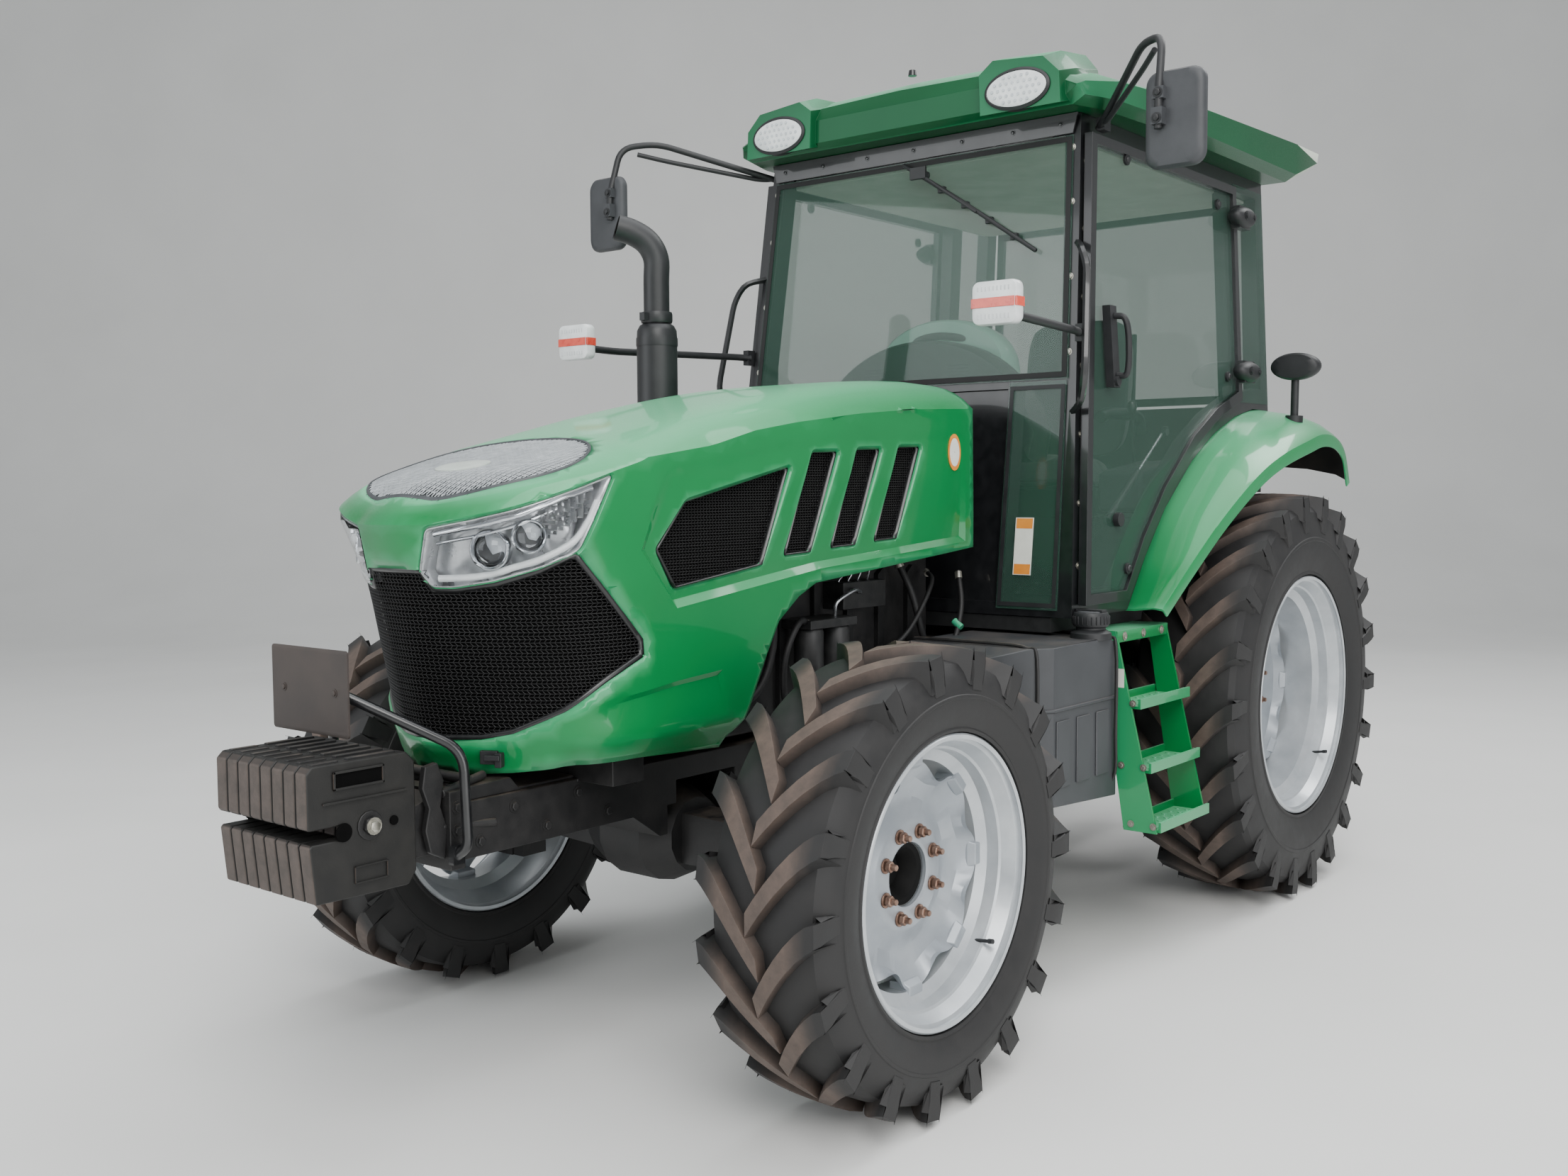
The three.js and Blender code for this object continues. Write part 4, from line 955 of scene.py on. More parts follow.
# ---- side vents
HEX = Z([(2.569, 1.380), (2.195, 1.461), (2.299, 1.226), (2.604, 1.187), (2.663, 1.274)])
SLOTS = [Z([(x, 1.499 - (x - 2.102) * .05), (x + .105, 1.246 - (x - 2.102) * .06), (x + .006, 1.250 - (x - 2.102) * .06),
            (x - .106, 1.502 - (x - 2.102) * .05)]) for x in (2.102, 1.912, 1.722)]
for side, sg in (("left", 1), ("right", -1)):
    for k, v in enumerate([HEX] + SLOTS):
        P = [(u * sg, z) for u, z in v]
        lattice(f"vent_screen_{k}_{side}", P, .0105, .0065, lambda u, z: wall(u, z, .026), "hood", .0020)
        # painted shade: a near-black sheet behind each vent's screen
        surface(f"vent_backing_{k}_{side}", P, lambda u, z: wall(u, z, .040), SHADE_BLACK, "hood", .05)
        rim_strip(f"vent_reveal_{k}_{side}", offset(P, .002), lambda u, z: wall(u, z, .012), lambda u, z: wall(u, z, .040), BLACK, "hood",
                  .0005)

# ---- oval intake on top of the nose
def oval_at(rx, ry, a, up=0.0):
    X, Y = 2.862 + rx * math.cos(a), ry * math.sin(a)
    # nearest roof height by the crown and its side fall
    lo, hi = 0.0, 8.999
    y = abs(Y)
    for _ in range(40):
        m = (lo + hi) / 2
        px, py = plan(m, crease(m))
        qx = px if m >= 8 else 2.70 + .14 * (1 - m / 8)
        if (X - qx) * py - y * (px - qx) > 0:
            hi = m
        else:
            lo = m
    m = (lo + hi) / 2
    px, py = plan(m, crease(m))
    qx = px if m >= 8 else 2.70 + .14 * (1 - m / 8)
    r = min(math.hypot(X - qx, y) / math.hypot(px - qx, py), 1)
    z = roof(m, r).z
    return Vector((X, Y, z + up))


def ring_of(rx, ry, up, n=96):
    return [oval_at(rx, ry, 2 * math.pi * k / n, up) for k in range(n)]


s = Shape()
s.rings([ring_of(.2165, .2965, -.014), ring_of(.2165, .2965, .0015), ring_of(.2145, .2945, .004), ring_of(.2105, .2905, .003), ring_of(.2085, .2885, -.012)],
        caps=False)
s.make("intake_ring", simple("intake_ring_grey", lin(60, 63, 66), lin(74, 77, 80), .45, bump=(300.0, .1, .0004)), "hood", "grey_plastic", 40)


def oval_surface(f, up):
    vs = [oval_at(.001, .001, 0, up)]
    fs = []
    K = 14
    for j in range(1, K + 1):
        vs += [oval_at(.210 * f * j / K, .290 * f * j / K, 2 * math.pi * k / 96, up) for k in range(96)]
    for k in range(96):
        fs.append((0, 1 + k, 1 + (k + 1) % 96))
    for j in range(1, K):
        for k in range(96):
            a, b = 1 + (j - 1) * 96 + k, 1 + (j - 1) * 96 + (k + 1) % 96
            fs.append((a, a + 96, b + 96, b))
    return vs, fs


# painted shade: a near-black sheet under the intake's screen
vs, fs = oval_surface(1, -.012)
obj("intake_backing", [v + Vector((OX, 0, 0)) for v in vs], fs, SHADE_BLACK, "hood")
E2 = [(2.862 + .2095 * math.cos(2 * math.pi * k / 64), .2895 * math.sin(2 * math.pi * k / 64)) for k in range(64)]


def _roofxy(X, Y, up=-.001):
    dx, dy = X - 2.862, Y
    r = math.hypot(dx, dy)
    a = math.atan2(dy, dx)
    return oval_at(r, r, a, up)


lat = lattice("intake_screen", E2, .0135, .0085, _roofxy, "hood", .0042, SCREEN_GREY)
# painted highlight: a pale oval lying over the middle of the intake's screen
s = Shape()
s.rings([[_roofxy(2.905 + .052 * k * math.cos(a), .075 * k * math.sin(a), .002 + h) for a in (2 * math.pi * i / 40 for i in range(40))]
         for k, h in ((1.0, -.003), (1.0, .001), (.93, .002), (.5, .002), (.02, .002))])
s.make("intake_patch", simple("intake_painted_highlight", lin(190, 200, 192), lin(206, 214, 207), .35, bump=None, coat=.4), "hood", "green_paint")

# ---- headlamps
SATIN = simple("lamp_satin", lin(188, 190, 192), lin(214, 216, 218), .26, scale=40.0, metallic=.55, bump=None, coat=.4)
for side, sg in (("left", 1), ("right", -1)):
    P = [(u * sg, z) for u, z in rounded(LAMP, .012)]
    lens = surface("lamp_cover_" + side, offset(P, .001), lambda u, z: wall(u, z, .003), LENS, "hood", .02, .0025)
    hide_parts("headlamp_" + side)
    floor_poly = offset(P, -.004)
    rim_strip("lamp_reveal_" + side, P, lambda u, z: wall(u, z, .005), lambda u, z: wall(u, z, .055), SATIN, "hood", .006)
    surface("lamp_back_" + side, floor_poly, lambda u, z: wall(u, z, .052 + .010 * math.sin(u * 70) * (1 if z < 1.33 else .3)), SATIN, "hood",
            .012)
    s = Shape()
    # two projectors: a bright barrel with a ball lens, the second one smaller
    for sv, zz, rr in ((3.55, 1.284, .033), (4.75, 1.312, .028)):
        u = su(sv) * sg
        c, n0 = wall(u, zz, .022), (wall(u, zz, 0) - wall(u, zz, .01)).normalized()
        w1 = n0.orthogonal().normalized()
        w2 = n0.cross(w1)
        prof = [(rr * 1.32, -.020), (rr * 1.32, .004), (rr * 1.22, .008), (rr * 1.12, .004), (rr * 1.05, -.006), (rr * 1.0, -.020)]
        s.rings([[c + n0 * h + (w1 * math.cos(a) + w2 * math.sin(a)) * q for a in (2 * math.pi * k / 40 for k in range(40))] for q, h in prof],
                caps=False, m=0)
        ball = [(rr * math.cos(t), -.010 + rr * .62 * math.sin(t)) for t in (0, .3, .6, .9, 1.2, 1.45, 1.56)]
        s.rings([[c + n0 * h + (w1 * math.cos(a) + w2 * math.sin(a)) * q for a in (2 * math.pi * k / 40 for k in range(40))] for q, h in ball],
                caps=True, m=1)
        s.rings([[c + n0 * h + (w1 * math.cos(a) + w2 * math.sin(a)) * q for a in (2 * math.pi * k / 40 for k in range(40))]
                 for q, h in ((rr * .96, -.022), (.001, -.024))], caps=False, m=2)
    s.make("lamp_projectors_" + side, [CHROME, LENS_BALL, DARK_PLASTIC], "hood", "lamp_clear", 40)
    # stepped reflector blocks towards the rear and a light bar along the lower edge
    s = Shape()
    for k in range(7):
        sv = 5.25 + k * .19
        for j in range(3):
            zz = 1.315 + (sv - 5.2) * .045 + j * .030
            if inside((su(sv), zz), offset([(abs(u), z) for u, z in P], -.014)):
                u = su(sv) * sg
                a, b = wall(u - .010 * sg, zz - .011, .020), wall(u + .010 * sg, zz + .011, .020)
                c = [wall(u - .010, zz - .011, .018), wall(u + .010, zz - .011, .018), wall(u + .010, zz + .011, .018), wall(u - .010, zz + .011, .018)]
                q = [wall(u - .007, zz - .008, .034), wall(u + .007, zz - .008, .034), wall(u + .007, zz + .008, .034), wall(u - .007, zz + .008, .034)]
                s.rings([[wall(u + e * .011, zz + f * .012, .036) for e, f in ((-1, -1), (1, -1), (1, 1), (-1, 1))], c, q], caps=False)
    s.make("lamp_reflectors_" + side, SATIN, "hood", "lamp_clear", 30)
    bar = [(2.35, 1.222), (3.0, 1.225), (3.7, 1.233), (4.4, 1.247), (5.1, 1.262), (5.7, 1.283), (6.1, 1.305), (6.4, 1.345), (6.6, 1.385)]
    s = Shape().tube([wall(su(a) * sg, z, .012) for a, z in bar], .0075, 10, 5)
    s.make("lamp_bar_" + side, WHITE, "hood", "lamp_clear", 50)
    brow = [(2.2, 1.316), (3.1, 1.333), (4.4, 1.357), (5.6, 1.388), (6.5, 1.413)]
    s = Shape().tube([wall(su(a) * sg, z, .016) for a, z in brow], .006, 8, 5)
    s.tube([wall(su(a) * sg, z - .020, .030) for a, z in brow[:4]], .004, 8, 5)
    s.make("lamp_brow_" + side, CHROME, "hood", "lamp_clear", 50)

# latch under the grille
for sg in (1, -1):
    c = wall(su(2.6) * sg, .826, -.004)
    nrm = (wall(su(2.6) * sg, .826, -.01) - wall(su(2.6) * sg, .826, 0)).normalized()
    if sg > 0:
        s = Shape()
        t = Vector((0, 0, 1)).cross(nrm).normalized()
        for a, b, z0, z1, h in ((-.020, .020, .812, .842, .012), (-.006, .030, .822, .834, .024), (.016, .032, .806, .838, .018)):
            base = [c + t * a, c + t * b]
            vs = []
            for zz in (z0, z1):
                for q in base:
                    vs += [Vector((q.x, q.y, zz)) - nrm * .004, Vector((q.x, q.y, zz)) + nrm * h]
            s.add(vs, [(0, 1, 3, 2), (4, 6, 7, 5), (0, 4, 5, 1), (2, 3, 7, 6), (0, 2, 6, 4), (1, 5, 7, 3)])
        s.make("hood_latch", DARK_PLASTIC, "hood", "grey_plastic", bev=.002)

# ---------------------------------------------------------------------- wheels
def set_dust(o, values):
    a = o.data.attributes.new("dust", "FLOAT", "POINT")
    a.data.foreach_set("value", values)


def tyre(name, c, R, half, bead, lugs, lug_h, body, side):
    # carcass
    h = half
    depth = R - bead
    fl, rh = bead + .0215, h - .018
    prof = [(bead + .006, rh - .040), (bead + .012, rh - .024), (fl + .003, rh - .014), (fl + .0035, rh + .001), (bead + .032, h * .91),
            (bead + .036, h * .895), (bead + .10 * depth + .03, h * .935), (bead + .36 * depth, h * .985), (bead + .46 * depth, h * .990),
            (bead + .47 * depth, h * 1.0), (bead + .50 * depth, h * 1.0), (bead + .51 * depth, h * .985),
            (bead + .62 * depth, h * .962), (R - lug_h - .030, h * .90), (R - lug_h - .012, h * .82), (R - lug_h - .004, h * .66),
            (R - lug_h, h * .35), (R - lug_h + .001, 0)]
    full = prof + [(r, -y) for r, y in reversed(prof[:-1])]
    inner = [(bead + .012, -h * .6), (R - lug_h - .03, -h * .55), (R - lug_h - .03, h * .55), (bead + .012, h * .6)]
    s = Shape()
    s.lathe(full + inner, c, 120)
    o = s.make(f"{name}_carcass", RUBBER, body, "tyre_rubber", 26, shift=False)
    set_dust(o, [0.0] * len(o.data.vertices))
    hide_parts(name)
    # bars
    vs, fs, dust = [], [], []
    T = [0, .12, .26, .42, .58, .74, .88, 1.0, 1.07, 1.15, 1.26]
    sweep = h * 1.18 / R
    for sg in (1, -1):
        for k in range(lugs):
            a0 = 2 * math.pi * (k + (0.5 if sg < 0 else 0)) / lugs
            base = len(vs)
            for t in T:
                tt = min(t, 1.0)
                arc = sweep * (1 - (1 - tt) ** 1.35) + (t - tt) * .05
                ang = a0 + arc
                y = sg * (-.012 + (h * .985 + .012) * tt)
                slope = (1 - tt) ** .35
                wt = (.039 + .013 * tt) * (1 + .30 * slope) * (1.0 if t < 1.1 else .85)
                wb = wt + .016
                top = R - .010 * tt ** 3
                low = R - lug_h - .010
                if t > .7:
                    low = R - lug_h - .012 - .045 * min((t - .7) / .3, 1)
                if t > 1.0:
                    f = (t - 1.0) / .26
                    top = R - .010 - (depth * .40) * f ** 1.1
                    low = top - .02
                    y = sg * h * (.985 + .012 * math.sin(min(f, 1) * math.pi))
                # outer side is kept inside the tyre's width
                for w, r, yy, d in ((-wb, low, y, 0.0), (-wt, top, y, 1.0), (wt, top, y, 1.0), (wb, low, y, 0.0)):
                    if t > 1.0:
                        # on the sidewall the bar stands out sideways instead
                        if d == 0.0:
                            yy = y - sg * .014
                            r = top
                        aa = ang + w / 2 / R
                    else:
                        aa = ang + w / 2 / R
                    vs.append(Vector((c.x + r * math.cos(aa), c.y + yy, c.z + r * math.sin(aa))))
                    dust.append(d * (1.0 if t <= .58 else max(.0, 1.0 - 4.2 * (t - .58))))
            m = len(T)
            for i in range(m - 1):
                for j in range(4):
                    p, q = base + i * 4 + j, base + i * 4 + (j + 1) % 4
                    fs.append((p, q, q + 4, p + 4))
            fs.append((base + 3, base + 2, base + 1, base))
            e = base + (m - 1) * 4
            fs.append((e, e + 1, e + 2, e + 3))
    o = obj(f"{name}_bars", vs, fs, RUBBER, body, sharp=38)
    set_dust(o, dust)
    bevel(o, .0045, 2, 38)
    # the rounded mesh is kept inside the tyre's own radius and width
    view = bpy.context.evaluated_depsgraph_get()
    kept = bpy.data.meshes.new_from_object(o.evaluated_get(view))
    o.modifiers.clear()
    o.data = kept
    for v in kept.vertices:
        dx, dz = v.co.x - c.x, v.co.z - c.z
        r = math.hypot(dx, dz)
        if r > R:
            v.co.x, v.co.z = c.x + dx * R / r, c.z + dz * R / r
        v.co.y = min(max(v.co.y, c.y - h * .999), c.y + h * .999)


HUB_BLACK = simple("hub_shadow", lin(8, 8, 8), lin(16, 16, 15), .7, scale=30.0, bump=(200.0, .2, .0005), spec=.2)


def rim(name, c, flange, half, bead, disc_y, disc_r, hub_r, body, hub_in, studs=8):
    # rolled flange, stepped barrel, drop centre
    f = flange
    prof = [(f - .004, half + .000), (f, half - .004), (f - .001, half - .012), (f - .010, half - .016), (bead + .006, half - .022),
            (bead - .006, half - .048), (bead - .012, half - .052), (bead - .016, half - .082), (bead - .042, half - .098),
            (bead - .044, -half * .25), (bead - .020, -half * .45), (bead - .014, -half + .05), (bead + .006, -half + .022),
            (f - .010, -half + .016), (f - .001, -half + .012), (f, -half + .004), (f - .004, -half)]
    thick = []
    n = len(prof)
    for i, (r, y) in enumerate(prof):
        thick.append((r - .009, y * .985))
    s = Shape()
    s.lathe(prof + list(reversed(thick)), c, 120)
    o = s.make(f"{name}_barrel", SILVER_EDGE, body, "rim_silver", 28, shift=False)
    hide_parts(name)
    # dished disc with a wavy edge
    K = 160
    R2 = bead - .050
    radii = [(hub_r, -.004), (hub_r, .000), (hub_r + .006, .003), (.082 * disc_r / .12 + .0, .003), (disc_r, .003), (disc_r + .010, -.001),
             (disc_r + .030, -.014), (disc_r + .055, -.020), (R2 - .040, -.010), (R2 - .014, .010), (R2 - .002, .016)]
    rings = []
    for k in range(K):
        a = 2 * math.pi * k / K
        wob = .5 + .5 * math.cos(8 * a)
        row = []
        for i, (r, y) in enumerate(radii):
            rr, yy = r, y
            if i >= 8:
                g = (i - 7) / 3
                rr = r - .042 * g * (1 - wob) ** 1.5
                yy = y + .010 * g * (1 - wob)
            row.append((rr, yy, a))
        rings.append(row)
    vs = []
    for row in rings:
        for r, y, a in row:
            vs.append(Vector((c.x + r * math.cos(a), c.y + disc_y + y, c.z + r * math.sin(a))))
        for r, y, a in reversed(row):
            vs.append(Vector((c.x + r * math.cos(a), c.y + disc_y + y - .009, c.z + r * math.sin(a))))
    q = 2 * len(radii)
    fs = []
    for k in range(K):
        for j in range(q):
            a, b = k * q + j, k * q + (j + 1) % q
            fs.append((a, b, ((k + 1) % K) * q + (j + 1) % q, ((k + 1) % K) * q + j))
    obj(f"{name}_disc", vs, fs, SILVER, body, sharp=30)
    # clamps between disc and barrel
    s = Shape()
    for k in range(8):
        a = 2 * math.pi * k / 8
        u = Vector((math.cos(a), 0, math.sin(a)))
        t = Vector((-math.sin(a), 0, math.cos(a)))
        o0 = Vector((c.x, c.y + disc_y, c.z))
        pts = []
        for yy, r0, r1, w in ((-.030, R2 - .020, R2 + .010, .032), (.006, R2 - .024, R2 + .010, .032), (.024, R2 - .012, R2 + .010, .026)):
            pts.append([o0 + u * r0 + t * w + Vector((0, yy, 0)), o0 + u * r1 + t * w + Vector((0, yy, 0)),
                        o0 + u * r1 - t * w + Vector((0, yy, 0)), o0 + u * r0 - t * w + Vector((0, yy, 0))])
        s.rings(pts)
    s.make(f"{name}_clamps", SILVER, body, "rim_silver", 40, (.003, 2), shift=False)
    s = Shape()
    for k in range(studs):
        a = 2 * math.pi * (k + .5) / studs
        p = Vector((c.x + disc_r * .84 * math.cos(a), c.y + disc_y + .003, c.z + disc_r * .84 * math.sin(a)))
        s.rod(p, p + Vector((0, .005, 0)), .0175, 20)
        s.bolt(p + Vector((0, .004, 0)), (0, 1, 0), .0135, .016, washer=False)
        s.rod(p + Vector((0, .018, 0)), p + Vector((0, .032, 0)), .0078, 12, .007)
    s.make(f"{name}_nuts", COPPER, body, "rim_silver", 30, (.0012, 1, 40), shift=False)
    # hub seen through the hole
    s = Shape()
    prof = [(.001, hub_in), (hub_r - .003, hub_in), (hub_r - .002, -.012), (hub_r - .014, -.016), (hub_r * .55, -.040), (hub_r * .5, -.055), (.001, -.055)]
    s.lathe([(r, y + disc_y) for r, y in prof], c, 48, closed_profile=False)
    s.make(f"{name}_hub", HUB_BLACK, body, "black_cast", 30, shift=False)
    # valve stem
    s = Shape()
    a = math.radians(222)
    u = Vector((math.cos(a), 0, math.sin(a)))
    p = Vector((c.x, c.y + half - .075, c.z)) + u * (bead - .018)
    s.rod(p, p + Vector((0, .045, 0)) - u * .012, .0045, 10)
    s.rod(p + Vector((0, .045, 0)) - u * .012, p + Vector((0, .058, 0)) - u * .015, .0062, 10)
    s.make(f"{name}_valve", DARK_PLASTIC, body, "rim_silver", 40, shift=False)


def flip(o):
    """does nothing and is not called; the right-hand wheel pieces are mirrored in the loop below"""


for side, sg in (("left", 1), ("right", -1)):
    cf = Vector((FRONT.x, FRONT.y * sg, FRONT.z))
    cr2 = Vector((REAR.x, REAR.y * sg, REAR.z))
    before = set(bpy.data.objects)
    L = Vector((FRONT.x, FRONT.y, FRONT.z))
    Rr = Vector((REAR.x, REAR.y, REAR.z))
    tyre("front_tyre_" + side, L, .530, .160, .312, 18, .030, "front_wheel_" + side, side)
    rim("front_rim_" + side, L, .334, .142, .315, .026, .121, .074, "front_wheel_" + side, -.075)
    tyre("rear_tyre_" + side, Rr, .690, .186, .388, 22, .034, "rear_wheel_" + side, side)
    rim("rear_rim_" + side, Rr, .408, .168, .389, -.050, .150, .080, "rear_wheel_" + side, -.060)
    if sg < 0:
        for o in set(bpy.data.objects) - before:
            if o.type == "MESH":
                o.data.transform(Matrix.Diagonal((1, -1, 1, 1)))
                o.data.flip_normals()

# ------------------------------------------------------------------------- cab
LEAN, RAKE = .0486, .115


def side_y(n, z):
    return n - LEAN * (z - 1.02)


def front_x(z, d=0.0):
    return 1.250 + d - RAKE * (z - 1.0)


PILLAR = simple("cab_black", lin(17, 18, 20), lin(25, 26, 28), 0.3, coat=0.5, bump=(300.0, 0.06, 0.0003))
soften("cab_frame", "cab_frame_bars", PILLAR, "chassis", .005, 2, 35)
soften("cab_tub", "cab_tub_panels", simple("tub_black", lin(20, 21, 22), lin(30, 31, 32), .6, bump=(220.0, .3, .0006)), "chassis", .006, 2, 35)
soften("rear_window_frame", "rear_window_bars", PILLAR, "rear_window", .004, 2, 35)
for sd in ("left", "right"):
    soften("door_frame_" + sd, "door_bars_" + sd, PILLAR, "door_" + sd, .004, 2, 35)
    for nd, bd in (("lower_link_", "lower_links"), ("lift_rod_", "lift_rods"), ("knuckle_", "steering_")):
        soften(nd + sd, nd + sd + "_body", CAST, bd + (sd if bd == "steering_" else ""), .004, 2, 35)
for nd, w in (("front_frame", .008), ("engine_block", .010), ("gearbox_housing", .014), ("rear_axle_housing", .010), ("front_axle_beam", .010)):
    soften(nd, nd + "_body", CAST, "chassis", w, 2, 35)
soften("lift_arms", "lift_arms_body", CAST, "lift_arms", .004, 2, 35)

# ---- roof: the CAD shape with rounded edges, cream underside, black header, lamps
# painted shade: a darker copy of the green paint for the roof, for its front that faces down and forward
ROOF_GREEN = paint("roof_green", lin(3, 62, 32), lin(5, 71, 38), .38, .16, .5)
roof_shell = soften("roof_panel", "roof_shell", ROOF_GREEN, "chassis", .014, 3, 24, 34)
roof_shell.data.materials.append(CREAM)
for p in roof_shell.data.polygons:
    at_row, facing = roof_shell.matrix_world @ p.center, roof_shell.matrix_world.to_3x3() @ p.normal
    if at_row.x - OX < -.22 and facing.z < -.12:
        p.material_index = 1
s = Shape()
s.prism([(-.60, 2.585), (.60, 2.585), (.645, 2.603), (-.645, 2.603)], "x", -.62, -.34)
s.make("roof_lining_rear", CREAM, "chassis", "green_paint", bev=.006)
s = Shape()
# tubes along the top of the roof's front and sides are laid out, then dropped: the Shape is replaced before it is made
for sg in (1, -1):
    s.tube([(1.192, .0 * sg, 2.6365), (1.192, .25 * sg, 2.628)], .004, 8, 4)
s = Shape()
for sg in (1, -1):
    c0 = Vector((1.2185, .446 * sg, 2.560))
    # black ring, white face and rows of small lamps
    def ov(rx, rz, x, n=48):
        return [c0 + Vector((x, rx * math.cos(2 * math.pi * k / n), rz * math.sin(2 * math.pi * k / n))) for k in range(n)]
    s.rings([ov(.108, .060, -.020), ov(.108, .060, .004), ov(.101, .053, .008), ov(.098, .050, .006)], caps=False, m=0)
    s.rings([ov(.099, .051, -.004), ov(.098, .050, .0075), ov(.085, .042, .011), ov(.04, .02, .012), ov(.002, .001, .0122)], caps=False, m=1)
    for i in range(-4, 5):
        for j in range(-2, 3):
            y, z = i * .0195 + (.0097 if j % 2 else 0), j * .0175
            if (y / .084) ** 2 + (z / .040) ** 2 < 1:
                p = c0 + Vector((.0105, y, z))
                s.rod(p, p + Vector((.0032, 0, 0)), .0052, 10, .0045, m=2)
s.make("roof_lamps", [DARK_PLASTIC, WHITE, simple("led_dot", lin(176, 182, 186), lin(196, 202, 206), .2, bump=None, coat=.6)], "chassis", "lamp_clear", 40)
# header trim under the roof and small fittings on top
s = Shape()
s.prism([(-.56, 2.4405), (.56, 2.4405), (.575, 2.4985), (-.575, 2.4985)], "x", 1.088, 1.094)
for y in (-.52, -.36, -.18, 0, .18, .36, .52):
    s.bolt((1.094, y, 2.470), (1, 0, 0), .006, .004)
s.rod((1.10, 0, 2.6985), (1.10, 0, 2.7160), .014, 14, .011)
s.make("header_trim", PILLAR, "chassis", "black_paint", bev=.002)

# ---- windscreen surround, wiper and rubber edges
s = Shape()
def ws(y, z, d):
    return Vector((front_x(z, d), y, z))
def strip(path, d0, d1, w):
    # a flat strip on the windscreen plane along path (y, z), drawn inwards by w
    inner = offset(path, -w)
    n = len(path)
    for i in range(n):
        a, b, c, e = path[i], path[(i + 1) % n], inner[(i + 1) % n], inner[i]
        s.rings([[ws(*a, d0), ws(*b, d0), ws(*c, d0), ws(*e, d0)], [ws(*a, d1), ws(*b, d1), ws(*c, d1), ws(*e, d1)]])
strip([(-.588, 1.727), (.588, 1.727), (.558, 2.432), (-.558, 2.432)], .0068, .0082, .016)
s.make("windscreen_edge", simple("black_rubber", lin(14, 14, 15), lin(22, 22, 23), .6), "chassis", "black_paint", bev=None)
for sd, sg in (("left", 1), ("right", -1)):
    s = Shape()
    strip([(.404 * sg, 1.058), (.598 * sg, 1.058), (.586 * sg, 1.706), (.404 * sg, 1.706)], .0068, .0082, .012)
    s.make("quarter_edge_" + sd, DARK_PLASTIC, "chassis", "black_paint")

s = Shape()
a, p, b = ws(-.028, 2.399, .036), ws(.049, 2.380, .030), ws(.470, 2.103, .024)
s.rod(ws(.049, 2.385, .0), ws(.049, 2.385, .050), .013, 16)
s.box(front_x(2.385, .044), front_x(2.385, .056), .020, .078, 2.366, 2.404)
s.tube([ws(.049, 2.385, .046), ws(.16, 2.310, .044), ws(.262, 2.240, .036)], .0055, 8, 3)
s.tube([ws(-.028, 2.425, .022), ws(.049, 2.378, .028), ws(.22, 2.270, .030), ws(.470, 2.103, .022)], .0075, 8, 4)
for k in range(5):
    f = .12 + k * .18
    q = ws(-.028, 2.425, .018).lerp(ws(.470, 2.103, .016), f)
    s.box(q.x - .007, q.x + .010, q.y - .012, q.y + .012, q.z - .010, q.z + .010)
s.make("wiper", DARK_PLASTIC, "chassis", "grey_plastic", 40, (.002, 1))

# blank sticker places on the quarter glass and the hood's side
s = Shape()
s.rings([[ws(y, z, .0085) for y, z in ((.452, 1.150), (.512, 1.150), (.512, 1.318), (.452, 1.318))],
         [ws(y, z, .0092) for y, z in ((.452, 1.150), (.512, 1.150), (.512, 1.318), (.452, 1.318))]], m=0)
for z0, z1 in ((1.152, 1.182), (1.286, 1.316)):
    s.rings([[ws(y, z, .0092) for y, z in ((.455, z0), (.509, z0), (.509, z1), (.455, z1))],
             [ws(y, z, .0097) for y, z in ((.455, z0), (.509, z0), (.509, z1), (.455, z1))]], m=1)
s.make("quarter_blank_label", [LABEL, LABEL_ORANGE], "chassis", "lamp_clear")
s = Shape()
for r0, r1, h, m in ((.052, .040, .0009, 1), (.040, .002, .0010, 0)):
    c = wall(U9 - .100, 1.508, 0)
    ring = lambda r, h: [wall(U9 - .100 + r * .62 * math.cos(a), 1.508 + r * math.sin(a), -h) for a in (2 * math.pi * k / 40 for k in range(40))]
    s.rings([ring(r0, -.001), ring(r0, h), ring(r1, h), ring(r1, -.001)], caps=False, m=m)
s.make("hood_blank_label", [LABEL, LABEL_ORANGE], "hood", "lamp_clear")
